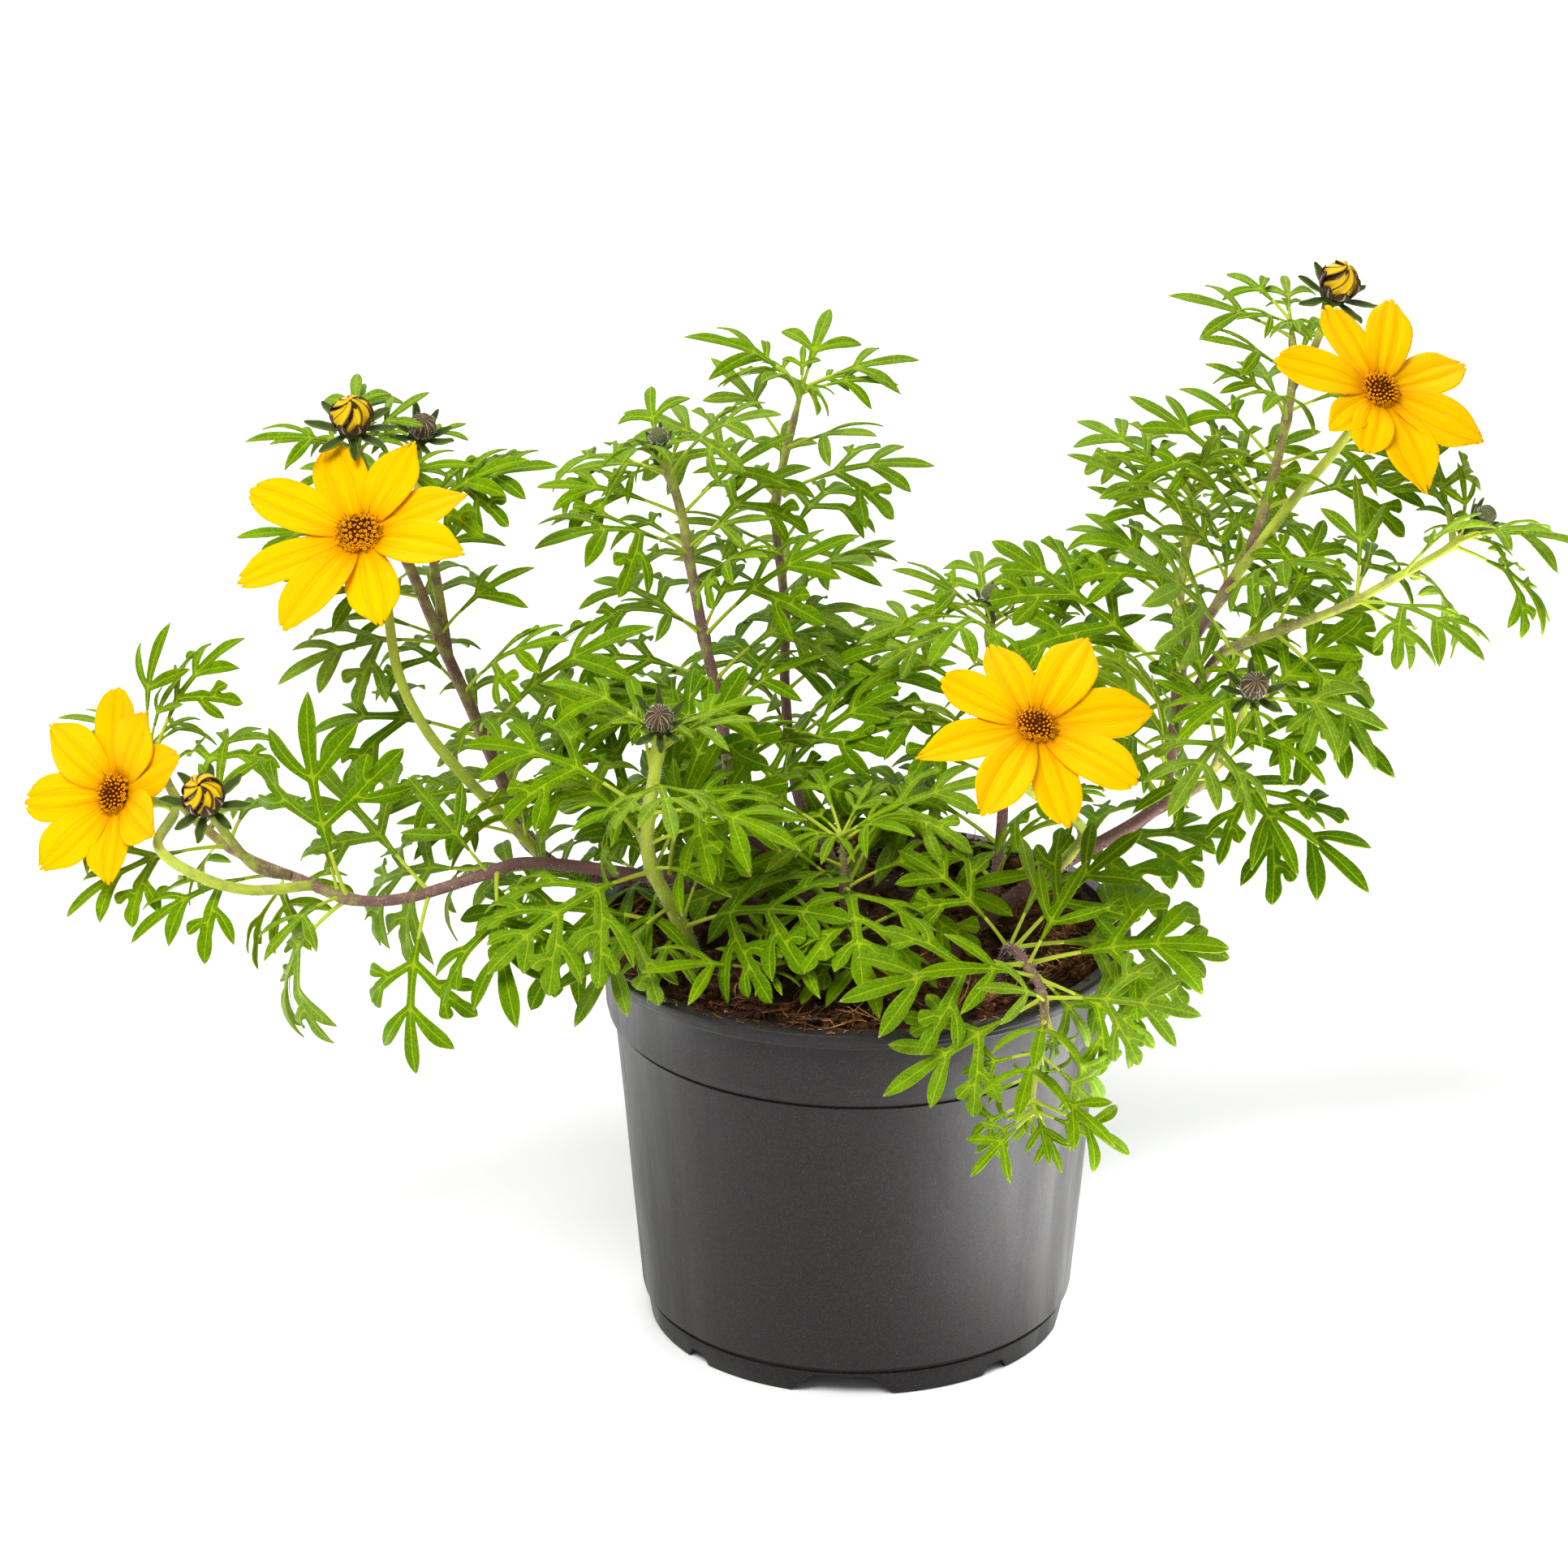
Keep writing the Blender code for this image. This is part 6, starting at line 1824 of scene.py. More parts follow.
def pot_material(name, settings, gloss):
    """Dark grey moulded plastic, satin, with faint streaks and dust."""
    paint = Paint(name, Specular_IOR_Level=gloss)
    wipe = paint.mottle(90.0, squash=0.12)[0]
    grain = paint.mottle(700.0)[1]
    fine = paint.mottle(1100.0, squash=0.05)[0]
    paint.ground(paint.times(wipe, 0.35), settings.plastic, settings.plastic, other_light=1.35)
    paint.coat(POT_DUST, paint.step(grain, 0.55, 1.0), settings.dust)
    rough = sums(paint.tree, "ADD", paint.step(wipe, 0.0, 1.0, 0.34, 0.48), paint.times(fine, 0.05))
    height = sums(paint.tree, "ADD", grain, paint.times(fine, 0.6))
    return paint.finish(height, 0.12, 0.00012, rough)


def peat_material(name, light, dark, roughness=0.9):
    """Peat, fibre or moss in a lighter and a darker colour; some crumbs are paler than others."""
    paint = Paint(name, Roughness=roughness, Specular_IOR_Level=0.12)
    blotch, grain = paint.mottle(420.0)
    damp = paint.mottle(65.0)[0]
    paint.ground(blotch, light, dark)
    paint.coat(light, paint.step(paint.value("shade"), 0.60, 1.0, 0.0, 0.9), light=2.3)
    paint.coat(dark, grain, 0.4, light=0.6)
    paint.coat(dark, paint.step(damp, 0.42, 0.62, 0.0, 0.80), light=0.8)
    return paint.finish(grain, 0.6, 0.0003)


def turned(name, profile, sides):
    """A solid turned about the pot's axis: a first ring is extruded and resized along the profile."""
    bpy.ops.object.select_all(action="DESELECT")
    radius, height = profile[0]
    centre = Vector((POT_AXIS.x, POT_AXIS.y, height))
    bpy.ops.mesh.primitive_circle_add(vertices=sides, radius=radius, fill_type="TRIFAN", location=centre)
    piece = bpy.context.object
    piece.name = name
    bpy.ops.object.mode_set(mode="EDIT")
    bpy.ops.mesh.select_all(action="DESELECT")
    bpy.ops.mesh.select_mode(type="EDGE")
    bm = bmesh.from_edit_mesh(piece.data)
    for edge in bm.edges:
        edge.select_set(edge.is_boundary)
    bm.select_flush(True)
    bmesh.update_edit_mesh(piece.data)
    for (start, low), (end, high) in zip(profile, profile[1:]):
        centre.z = high
        move = {"value": (0, 0, high - low)}
        bpy.ops.mesh.extrude_region_move(TRANSFORM_OT_translate=move)
        share = end / start
        bpy.ops.transform.resize(value=(share, share, 1.0), center_override=centre)
    bpy.ops.mesh.merge(type="CENTER")
    bpy.ops.mesh.select_all(action="SELECT")
    bpy.ops.mesh.normals_make_consistent(inside=False)
    bpy.ops.object.mode_set(mode="OBJECT")
    bpy.ops.object.transform_apply(location=True, rotation=True, scale=True)
    return piece


def pot_profile():
    """The pot's section, from the middle of the floor's underside out, up and over the lip, and back in.

    Steps of a few tenths of a millimetre beside a measure round off its edge.
    """
    lip = POT_HEIGHT - LIP_DEPTH
    ring = FOOT_RADIUS - WALL
    inside = FLOOR_Z + WALL
    return (
        (FLOOR_CENTRE, FLOOR_Z), (FLOOR_MIDDLE, FLOOR_Z), (ring - 0.0006, FLOOR_Z),
        (ring - 0.0001, FLOOR_Z - 0.0006), (ring - 0.0002, 0.0004), (ring + 0.0001, 0.0),
        (FOOT_RADIUS - 0.0003, 0.0), (FOOT_RADIUS, 0.0004),
        (FOOT_RADIUS + 0.0007, BODY_FOOT_Z - 0.0013), (FOOT_RADIUS + 0.0003, BODY_FOOT_Z - 0.0010),
        (FOOT_RADIUS + 0.0003, BODY_FOOT_Z - 0.0004), (BODY_FOOT_RADIUS - 0.0008, BODY_FOOT_Z - 0.0002),
        (BODY_FOOT_RADIUS - 0.0002, BODY_FOOT_Z + 0.0003), (BODY_FOOT_RADIUS, BODY_FOOT_Z + 0.0012),
        *BODY_BELLY, (BODY_TOP_RADIUS - 0.0001, BODY_TOP_Z - 0.0012),
        (BODY_TOP_RADIUS - 0.0005, BODY_TOP_Z - 0.0008), (BODY_TOP_RADIUS - 0.0005, BODY_TOP_Z - 0.0002),
        (BODY_TOP_RADIUS + 0.0009, BODY_TOP_Z + 0.0001), (BODY_TOP_RADIUS + 0.0013, BODY_TOP_Z + 0.0005),
        (COLLAR_FOOT_RADIUS - 0.0001, COLLAR_FOOT_Z - 0.0003),
        (COLLAR_FOOT_RADIUS + 0.0001, COLLAR_FOOT_Z + 0.0004),
        (COLLAR_RADIUS - 0.0001, lip - 0.0014), (COLLAR_RADIUS - 0.0005, lip - 0.0010),
        (COLLAR_RADIUS - 0.0005, lip - 0.0004), (LIP_RADIUS - 0.0012, lip - 0.0002),
        (LIP_RADIUS - 0.0005, lip), (LIP_RADIUS - 0.0002, lip + 0.0004), (LIP_RADIUS - 0.0002, lip + 0.0012),
        (LIP_RADIUS, lip + 0.0015), (LIP_RADIUS, POT_HEIGHT - 0.0011),
        (LIP_RADIUS - 0.0002, POT_HEIGHT - 0.0005), (LIP_RADIUS - 0.0007, POT_HEIGHT - 0.0001),
        (LIP_RADIUS - 0.0013, POT_HEIGHT),
        (COLLAR_RADIUS + 0.0010, POT_HEIGHT), (COLLAR_RADIUS + 0.0005, POT_HEIGHT - 0.0002),
        (COLLAR_RADIUS + 0.0002, POT_HEIGHT - 0.0009), (COLLAR_RADIUS - WALL, lip - 0.0010),
        (COLLAR_FOOT_RADIUS - WALL, COLLAR_FOOT_Z + 0.0004), (BODY_TOP_RADIUS - WALL, BODY_TOP_Z),
        (BODY_FOOT_RADIUS - WALL, inside + 0.0006), (BODY_FOOT_RADIUS - WALL - 0.0008, inside),
        (FLOOR_MIDDLE, inside), (FLOOR_CENTRE, inside))


def notch(size, turn):
    """A wedge for one notch of the foot ring, wider at the bottom."""
    bottom, top, height = size
    out = Vector((cos(turn), sin(turn), 0)) * FOOT_RADIUS
    middle = Vector((0, 0, (height - NOTCH_DIP) / 2))
    bpy.ops.mesh.primitive_cube_add(size=1.0, location=POT_AXIS + out + middle, rotation=(0, 0, turn),
                                    scale=(NOTCH_REACH, bottom, height + NOTCH_DIP))
    wedge = bpy.context.object
    bpy.ops.object.mode_set(mode="EDIT")
    bpy.ops.mesh.select_mode(type="VERT")
    bpy.ops.mesh.select_all(action="DESELECT")
    bm = bmesh.from_edit_mesh(wedge.data)
    for vertex in bm.verts:
        vertex.select_set(vertex.co.z > 0)
    bm.select_flush(True)
    bmesh.update_edit_mesh(wedge.data)
    bpy.ops.transform.resize(value=(1, top / bottom, 1), orient_type="LOCAL",
                             center_override=wedge.location + Vector((0, 0, height / 2)))
    bpy.ops.object.mode_set(mode="OBJECT")
    return wedge


def cut_away(piece, tools):
    """Cut the joined tools out of a piece."""
    bpy.ops.object.select_all(action="DESELECT")
    for tool in tools:
        tool.select_set(True)
    bpy.context.view_layer.objects.active = tools[0]
    bpy.ops.object.join()
    cutter = bpy.context.object
    modifier = piece.modifiers.new("cut", "BOOLEAN")
    modifier.object = cutter
    modifier.operation = "DIFFERENCE"
    modifier.solver = "EXACT"
    apply_all(piece)
    bpy.data.objects.remove(cutter, do_unlink=True)


def soil_height(x, y):
    """The packed soil's surface over a point, from the pot's axis."""
    reach = sqrt(x * x + y * y) / SOIL_RADIUS
    lumps = sin(x * SOIL_WAVES[0] + SOIL_PHASE) * cos(y * SOIL_WAVES[1])
    lumps += SOIL_CROSS_LUMP * sin(x * SOIL_WAVES[2] + y * SOIL_WAVES[3])
    aside = ((x - MOUND_PLACE[0]) ** 2 + (y - MOUND_PLACE[1]) ** 2) / MOUND_RADIUS ** 2
    fade = min(1.0, SOIL_RIM_FADE * (1.0 - reach))
    return SOIL_RIM_Z + SOIL_LUMP * lumps * fade + MOUND_HEIGHT * max(0.0, 1.0 - aside)


def soil_top(x, y):
    """The soil's fine surface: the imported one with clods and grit, banked up against the rim."""
    clods = noise.fractal(Vector((x, y, 0.0)) * CLOD_RATE, *CLOD_NOISE)
    reach = sqrt(x * x + y * y) / SOIL_RADIUS
    bank = min(1.0, max(0.0, (reach - BANK_START) / (1 - BANK_START)))
    return soil_height(x, y) + CLOD_HEIGHT * clods - CLOD_DROP + BANK_HEIGHT * bank


def scatter(draw, edge, inner=0.0):
    """A place on the soil, from the pot's axis, outside an inner radius."""
    reach = sqrt(inner * inner + (edge * edge - inner * inner) * draw.random())
    turn = draw.uniform(0, 2 * pi)
    x, y = reach * cos(turn), reach * sin(turn)
    return Vector((x, y, soil_top(x, y)))


def crumb_model():
    """One modelled crumb: its points and faces."""
    bpy.ops.object.select_all(action="DESELECT")
    bpy.ops.mesh.primitive_ico_sphere_add(subdivisions=1, radius=1.0)
    model = bpy.context.object
    points = [vertex.co.copy() for vertex in model.data.vertices]
    faces = [tuple(face.vertices) for face in model.data.polygons]
    bpy.data.objects.remove(model, do_unlink=True)
    return points, faces


def build_crumbs(count, draw, sizes, inner=0.0, heap=0.0, draft=None):
    """Crumbs pressed into the soil, each a squashed copy of one modelled crumb, heaped up near the rim."""
    draft = draft or Draft("shade")
    shape, faces = crumb_model()
    small, large, power = sizes
    for _ in range(count):
        size = small + (large - small) * draw.random() ** power
        centre = scatter(draw, SOIL_RADIUS - size * 0.5, inner)
        centre.z += size * draw.uniform(*CRUMB_SINK) + heap * draw.random() ** HEAP_POWER
        turn = Matrix.Rotation(draw.uniform(*ANY_TURN), 3, "Z")
        turn = turn @ Matrix.Rotation(draw.uniform(*ANY_TILT), 3, "X")
        stretch = Vector([draw.uniform(*squash) for squash in CRUMB_SQUASH])
        shade = draw.random()
        numbers = []
        for place in shape:
            rough = place * draw.uniform(*CRUMB_ROUGH) * size
            spot = turn @ Vector((rough.x * stretch.x, rough.y * stretch.y, rough.z * stretch.z))
            numbers.append(draft.point(centre + spot, shade=shade))
        for face in faces:
            draft.face([numbers[corner] for corner in face], ((0, 0),) * 3)
    return draft


def add_spill(draft, draw):
    """Short fibres that have spilled over the pot's lip, most of them in front."""
    for _ in range(SPILL_FIBRES):
        turn = draw.gauss(-pi / 2, SPILL_SPREAD)
        reach = draw.uniform(COLLAR_RADIUS + SPILL_INSET[0], LIP_RADIUS - SPILL_INSET[1])
        centre = Vector((cos(turn) * reach, sin(turn) * reach, POT_HEIGHT + FIBRE_CLEAR))
        heading = Vector((draw.uniform(-1, 1), draw.uniform(-1, 1), draw.uniform(*SPILL_TILT)))
        heading *= draw.uniform(*SPILL_HALF)
        bend = Vector((draw.uniform(-1, 1), draw.uniform(-1, 1), SPILL_RISE)) * SPILL_BEND
        girth = draw.uniform(*SPILL_GIRTH)
        points = [centre - heading, centre + bend, centre + heading]
        add_tube(draft, points, [girth] * 3, FIBRE_SIDES, shade=draw.random())


def add_fibres(draft, count, draw):
    """Fibres that lie on the soil or stand out of it, most of them near the rim, each a thin bent needle."""
    for index in range(count):
        foot = scatter(draw, SOIL_RADIUS * FIBRE_EDGE, SOIL_RADIUS * FIBRE_INNER if index % 3 else 0.0)
        foot.z += draw.uniform(0.0, FIBRE_RISE) if index % 3 else 0.0
        length = draw.uniform(*FIBRE_LENGTH)
        turn = draw.uniform(0, 2 * pi)
        heading = Vector((cos(turn), sin(turn), draw.uniform(*FIBRE_LIFT))).normalized()
        bend = Vector([draw.uniform(-FIBRE_BEND, FIBRE_BEND) for _ in range(3)])
        points = []
        for step in range(FIBRE_POINTS):
            share = step / (FIBRE_POINTS - 1)
            spot = foot + heading * length * share + bend * length * share * share * 0.5
            reach = sqrt(spot.x ** 2 + spot.y ** 2)
            if reach > SOIL_RADIUS and spot.z < POT_HEIGHT + FIBRE_OVER:
                spot.x *= SOIL_RADIUS / reach
                spot.y *= SOIL_RADIUS / reach
            spot.z = max(spot.z, soil_top(spot.x, spot.y) + FIBRE_CLEAR)
            points.append(spot)
        thick = draw.uniform(*FIBRE_GIRTH)
        radii = [thick * (1 - FIBRE_TAPER * step) for step in range(FIBRE_POINTS)]
        add_tube(draft, points, radii, FIBRE_SIDES, shade=draw.random())


def colour(name, description, default):
    """A colour setting in linear RGB."""
    return FloatVectorProperty(name=name, description=description, default=default, size=3, min=0.0, max=1.0,
                               subtype="COLOR")


def whole(name, description, default, most, least=0):
    """A whole number setting."""
    return IntProperty(name=name, description=description, default=default, min=least, max=most)


def decimal(name, description, default, most=1.0, least=0.0, **kind):
    """A number setting, which may be a share or a length."""
    return FloatProperty(name=name, description=description, default=default, min=least, max=most, **kind)


class BidensPotSettings(PropertyGroup):
    plastic: colour("Plastic", "Colour of the nursery pot", (0.0080, 0.0066, 0.0070))
    dust: decimal("Dust", "How much dust lies on the pot", 0.12, subtype="FACTOR")
    sides: whole("Sides", "Steps round the pot", 160, 256, 32)


class BidensPeatSettings(PropertyGroup):
    peat: colour("Peat", "Lighter brown of the peat", (0.170, 0.066, 0.024))
    peat_dark: colour("Dark Peat", "Darker brown of the peat", (0.016, 0.008, 0.004))
    fibre: colour("Fibre", "Colour of the fibres", (0.460, 0.230, 0.095))
    crumbs: whole("Crumbs", "Number of crumbs on the soil", 1300, 4000)
    fibres: whole("Fibres", "Number of fibres on the soil", 790, 2000)
    clods: whole("Clods", "Number of clods along the rim", 620, 2000)
    moss: whole("Moss", "Number of moss tufts on the soil", 90, 1000)


class BidensFoliageSettings(PropertyGroup):
    leaf_young: colour("Young Leaf", "Upper face of young leaves", (0.185, 0.352, 0.001))
    leaf_old: colour("Old Leaf", "Upper face of old leaves", (0.051, 0.156, 0.0005))
    leaf_dull: colour("Dull Leaf", "Upper face of the greyer leaves", (0.230, 0.345, 0.052))
    leaf_under: colour("Leaf Underside", "Lower face of the leaves", (0.200, 0.295, 0.006))
    leaf_rib: colour("Rib", "Ribs and leaf stalks", (0.370, 0.470, 0.015))
    stem_green: colour("Green Stem", "Upper stems and flower stalks", (0.430, 0.510, 0.050))
    stem_purple: colour("Purple Stem", "Lower stems", (0.165, 0.082, 0.080))
    fold: decimal("Fold", "How far the leaf halves fold up", 0.34, subtype="FACTOR")
    hair_density: decimal("Hairs", "Hairs for each millimetre of stem", 6.4, 40.0)


class BidensBloomSettings(PropertyGroup):
    petal: colour("Petal", "Clear yellow of the ray petals", (0.900, 0.515, 0.0004))
    # Also darkens the petals' grooves, partly as painted shade in the creases
    petal_deep: colour("Petal Groove", "Deeper yellow of the grooves", (0.800, 0.330, 0.0003))
    petal_foot: colour("Petal Foot", "Orange at the foot of the petals", (0.560, 0.165, 0.0004))
    fold: colour("Folded Petal", "Yellow of the opening buds' petals", (0.860, 0.600, 0.001))
    floret: colour("Floret", "Orange of the disc florets", (0.930, 0.350, 0.001))
    # The posts' dark red brown, also painted as shade at the florets' feet and on the dome
    floret_post_and_shade: colour("Floret Post", "Dark brown between the florets", (0.080, 0.013, 0.001))
    bud_streak: colour("Bud Scale", "Dark brown of the opening buds' scales", (0.050, 0.022, 0.010))
    bud_brown: colour("Closed Bud", "Brown of the closed buds", (0.090, 0.050, 0.026))
    bud_seam: colour("Bud Seam", "Pale seams of the buds", (0.700, 0.580, 0.340))
    bract: colour("Bract", "Dark green of the bracts", (0.030, 0.050, 0.006))
    bract_edge: colour("Bract Edge", "Paler edge of the bracts", (0.190, 0.240, 0.060))


class BidensStageSettings(PropertyGroup):
    floor: colour("Floor", "Colour of the floor", (0.95, 0.95, 0.95))
    floor_size: decimal("Floor Size", "Width of the floor", 8.0, 40.0, 1.0, unit="LENGTH")
    light: decimal("Light", "Strength of the studio lights", 1.0, 4.0)


SETTINGS = {
    "bidens_pot": BidensPotSettings,
    "bidens_peat": BidensPeatSettings,
    "bidens_foliage": BidensFoliageSettings,
    "bidens_bloom": BidensBloomSettings,
    "bidens_stage": BidensStageSettings,
}


class BIDENS_OT_pot(Operator):
    """Model the nursery pot: a thin moulding with a rolled lip, a collar and a notched foot"""

    bl_idname = "bidens.pot"
    bl_label = "Nursery Pot"

    def execute(self, context):
        settings = context.scene.bidens_pot
        pot = turned("pot_shell", pot_profile(), settings.sides)
        tools = []
        for quarter in range(4):
            turn = NOTCH_TURN + quarter * pi / 2
            tools.append(notch(WIDE_NOTCH, turn))
            tools.append(notch(NARROW_NOTCH, NOTCH_TURN + (quarter + 0.5) * pi / 2))
            spot = POT_AXIS + Vector((cos(turn), sin(turn), 0)) * DRAIN_RING
            spot.z = FLOOR_Z + WALL / 2
            bpy.ops.mesh.primitive_cylinder_add(vertices=DRAIN_SIDES, radius=DRAIN_RADIUS, depth=WALL * 4,
                                                location=spot)
            tools.append(context.object)
        cut_away(pot, tools)
        pot.data.materials.clear()
        for name, gloss in POT_GLOSS:
            pot.data.materials.append(pot_material(name, settings, gloss))
        # Faces below the body's foot take the less glossy copy: painted shade on the foot ring
        for face in pot.data.polygons:
            face.material_index = int(face.center.z < BODY_FOOT_Z - FOOT_EDGE)
        pick(pot)
        bpy.ops.object.shade_smooth_by_angle(angle=SMOOTH_ANGLE)
        settle(pot, "pot_plastic", "pot")
        return {"FINISHED"}


class BIDENS_OT_soil(Operator):
    """Model the soil: a plug that fills the pot, with a cloddy top"""

    bl_idname = "bidens.soil"
    bl_label = "Soil"

    def execute(self, context):
        settings = context.scene.bidens_peat
        edge = COLLAR_RADIUS - WALL - SOIL_EDGE_GAP
        rings = [(SOIL_CENTRE + (edge - SOIL_CENTRE) * step / SOIL_RINGS, SOIL_RIM_Z)
                 for step in range(SOIL_RINGS + 1)]
        floor = FLOOR_Z + WALL + SOIL_WALL_GAP
        wall = [(BODY_TOP_RADIUS - WALL - SOIL_WALL_GAP, BODY_TOP_Z),
                (BODY_FOOT_RADIUS - WALL - SOIL_WALL_GAP, floor), (FLOOR_CENTRE, floor)]
        soil = turned("soil_bed", rings + wall, SOIL_SIDES)
        for vertex in soil.data.vertices:
            if vertex.co.z > SOIL_RIM_Z - WELD_REACH:
                vertex.co.z = soil_top(vertex.co.x - POT_AXIS.x, vertex.co.y - POT_AXIS.y)
        soil.data.materials.clear()
        soil.data.materials.append(peat_material("peat_bed", settings.peat, settings.peat_dark))
        soil.data.shade_smooth()
        settle(soil, "peat", "soil")
        return {"FINISHED"}


class BIDENS_OT_peat(Operator):
    """Strew crumbs, fibres and pale bits over the soil"""

    bl_idname = "bidens.peat"
    bl_label = "Peat Crumbs and Fibres"

    def execute(self, context):
        settings = context.scene.bidens_peat
        draw = random.Random(SEED)
        peat = (settings.peat, settings.peat_dark)
        crumbs = build_crumbs(settings.crumbs, draw, CRUMB_SIZES)
        build_crumbs(settings.clods, draw, CLOD_SIZES, SOIL_RADIUS * CLOD_INNER, CLOD_HEAP, crumbs)
        fibres = Draft("shade")
        add_fibres(fibres, settings.fibres, draw)
        add_spill(fibres, draw)
        moss = build_crumbs(settings.moss, draw, MOSS_SIZES)
        bits = build_crumbs(PALE_BITS, draw, PALE_SIZES)
        for name, draft, *looks in (
                ("peat_crumbs", crumbs, "peat_crumb", *peat),
                ("peat_fibres", fibres, "peat_fibre", settings.fibre, settings.peat),
                ("moss_tufts", moss, "moss_tuft", *MOSS_COLOURS, MOSS_ROUGHNESS),
                ("pale_bits", bits, "pale_bit", *PALE_COLOURS)):
            settle(draft.make(name, [peat_material(*looks)]), "peat", "soil")
        return {"FINISHED"}


class BIDENS_OT_foliage(Operator):
    """Grow the leafy stems: forks, leaf stalks, ribs and cut leaves"""

    bl_idname = "bidens.foliage"
    bl_label = "Leafy Stems"

    def execute(self, context):
        settings = context.scene.bidens_foliage
        faces = [leaf_material("leaf_face", settings, False), leaf_material("leaf_under", settings, True)]
        stalk = stalk_material(settings)
        for name in STEMS:
            stalks, sheet = build_stalks(name, settings)
            settle(stalks.make(name + "_stalks", [stalk]), "foliage", name)
            leaves = sheet.make(name + "_leaves", faces)
            thicken(leaves, BLADE_THICKNESS, under=1)
            settle(leaves, "foliage", name)
        return {"FINISHED"}


class BIDENS_OT_hairs(Operator):
    """Grow the white hairs on the stems"""

    bl_idname = "bidens.hairs"
    bl_label = "Stem Hairs"

    def execute(self, context):
        settings = context.scene.bidens_foliage
        draw = random.Random(HAIR_SEED)
        hairs = Draft()
        for name in STEMS:
            add_hairs(hairs, name, settings.hair_density, draw)
        settle(hairs.make("stem_hairs", [hair_material()]), "foliage", *STEMS)
        return {"FINISHED"}


class BIDENS_OT_blooms(Operator):
    """Model the four blooms: ray petals and disc florets"""

    bl_idname = "bidens.blooms"
    bl_label = "Blooms"

    def execute(self, context):
        settings = context.scene.bidens_bloom
        faces = [petal_material(settings, False), petal_material(settings, True)]
        floret = floret_material(settings)
        draw = random.Random(BLOOM_SEED)
        for name, head in HEADS.items():
            if head.kind != "bloom":
                continue
            rays = Draft("shade", "groove")
            for index, (turn, length) in enumerate(sorted(head.petals)):
                add_petal(rays, head, turn, length, 1 if index % 2 else -1, draw)
            petals = rays.make(name + "_rays", faces)
            thicken(petals, PETAL_THICKNESS, round_off=0, under=1)
            settle(petals, "petal_yellow", name + "_petals")
            disc = build_florets(name, head, draw).make(name + "_florets", [floret])
            settle(disc, "floret_orange", name + "_disc")
        return {"FINISHED"}


class BIDENS_OT_buds(Operator):
    """Model the cups and bracts under every head, and the buds"""

    bl_idname = "bidens.buds"
    bl_label = "Cups and Buds"

    def execute(self, context):
        settings = context.scene.bidens_bloom
        foliage = context.scene.bidens_foliage
        draw = random.Random(BUD_SEED)
        bract = bract_material(settings)
        bodies = {kind: bud_material(kind, settings, foliage) for kind in BUD_SIZES}
        fold = fold_material(settings)
        carriers = {part.head: name for name, shoots in STEMS.items() for part in shoots if part.head}
        slots = {"opening": "bud_yellow", "closed": "bud_brown", "young": "foliage"}
        for name, head in HEADS.items():
            carrier = carriers[name]
            calyx = build_calyx(head, draw).make(name + "_bracts", [bract])
            thicken(calyx, BRACT_THICKNESS)
            settle(calyx, "foliage", carrier)
            settle(build_cup(head).make(name + "_cup", [bract]), "foliage", carrier)
            if head.kind != "bloom":
                body = build_body(head, draw).make(name + "_body", [bodies[head.kind]])
                settle(body, slots[head.kind], carrier if head.kind == "young" else name)
            if head.kind == "opening":
                folds = build_folds(head, draw).make(name + "_folds", [fold])
                thicken(folds, FOLD_THICKNESS)
                settle(folds, "bud_yellow", name)
                scales = build_scales(head, draw).make(name + "_scales", [bodies["opening"]])
                thicken(scales, SCALE_THICKNESS)
                settle(scales, "bud_yellow", name)
        return {"FINISHED"}


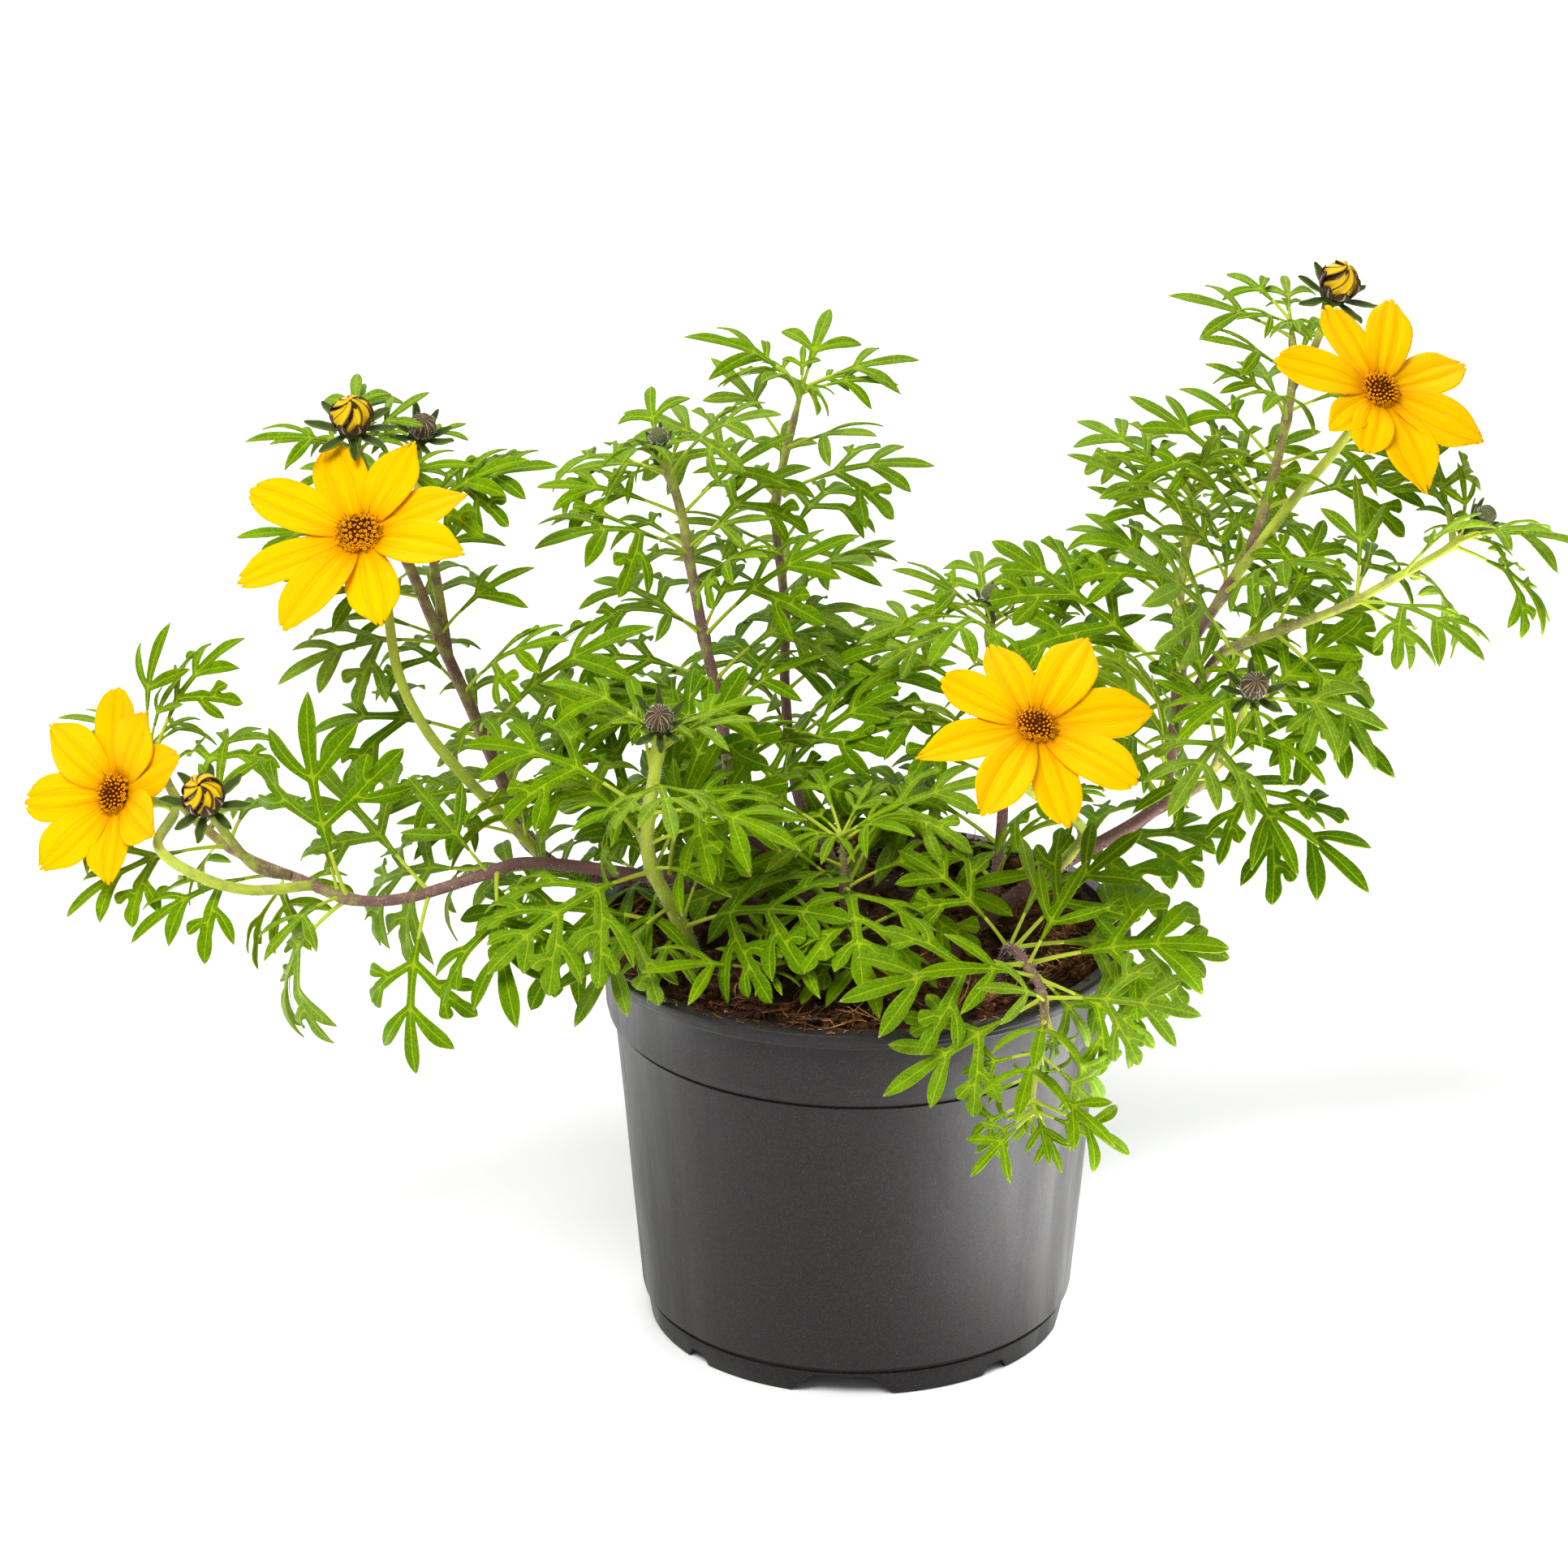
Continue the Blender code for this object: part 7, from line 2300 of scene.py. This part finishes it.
class BIDENS_OT_stage(Operator):
    """Set the floor, the studio light and the camera"""

    bl_idname = "bidens.stage"
    bl_label = "Stage"

    def execute(self, context):
        settings = context.scene.bidens_stage
        scene = context.scene
        bpy.ops.object.select_all(action="DESELECT")
        bpy.ops.mesh.primitive_plane_add(size=settings.floor_size, location=(0, 0, 0))
        floor = context.object
        floor.name = "floor"
        paint = Paint("floor", Base_Color=tone(settings.floor), Roughness=0.9, Specular_IOR_Level=0.0)
        floor.data.materials.append(paint.material)
        world = bpy.data.worlds.new("studio")
        world.use_nodes = True
        sky = world.node_tree.nodes["Background"]
        sky.inputs["Color"].default_value = (1.0, 1.0, 1.0, 1.0)
        sky.inputs["Strength"].default_value = WORLD_LIGHT * settings.light
        scene.world = world
        for name, place, (width, height), target, spread, power in LIGHTS:
            lamp = bpy.data.lights.new(name, "AREA")
            lamp.shape = "ELLIPSE" if width == height else "RECTANGLE"
            lamp.size = width
            lamp.size_y = height
            lamp.spread = radians(spread)
            lamp.energy = power * settings.light
            holder = bpy.data.objects.new(name, lamp)
            holder.location = place
            aim = Vector(target) - Vector(place)
            holder.rotation_euler = aim.to_track_quat("-Z", "Y").to_euler()
            scene.collection.objects.link(holder)
        camera = bpy.data.cameras.new("camera")
        camera.sensor_width = CAMERA_SENSOR
        camera.lens = CAMERA_LENS
        camera.clip_start = CAMERA_NEAR
        holder = bpy.data.objects.new("camera", camera)
        holder.location = CAMERA_PLACE
        holder.rotation_euler = (CAMERA_TILT, 0.0, 0.0)
        scene.collection.objects.link(holder)
        scene.camera = holder
        scene.view_settings.view_transform = "Standard"
        return {"FINISHED"}


STEPS = (BIDENS_OT_stage, BIDENS_OT_pot, BIDENS_OT_soil, BIDENS_OT_peat, BIDENS_OT_foliage, BIDENS_OT_hairs,
         BIDENS_OT_blooms, BIDENS_OT_buds)


class BIDENS_PT_panel(Panel):
    """Lists the steps of the potted bidens and their settings"""

    bl_label = "Potted Bidens"
    bl_idname = "BIDENS_PT_panel"
    bl_space_type = "VIEW_3D"
    bl_region_type = "UI"
    bl_category = "Bidens"

    def draw(self, context):
        for step in STEPS:
            self.layout.operator(step.bl_idname)
        for label, kind in SETTINGS.items():
            box = self.layout.box()
            for field in kind.__annotations__:
                box.prop(getattr(context.scene, label), field)


def register():
    """Register the settings, the operators and the panel."""
    for label, kind in SETTINGS.items():
        bpy.utils.register_class(kind)
        setattr(bpy.types.Scene, label, PointerProperty(type=kind))
    for step in STEPS:
        bpy.utils.register_class(step)
    bpy.utils.register_class(BIDENS_PT_panel)


def unregister():
    """Remove the panel, the operators and the settings."""
    bpy.utils.unregister_class(BIDENS_PT_panel)
    for step in reversed(STEPS):
        bpy.utils.unregister_class(step)
    for label, kind in SETTINGS.items():
        delattr(bpy.types.Scene, label)
        bpy.utils.unregister_class(kind)


def main():
    """Build every piece in turn."""
    register()
    for step in STEPS:
        group_name, operator = step.bl_idname.split(".")
        getattr(getattr(bpy.ops, group_name), operator)()


if __name__ == "__main__":
    main()
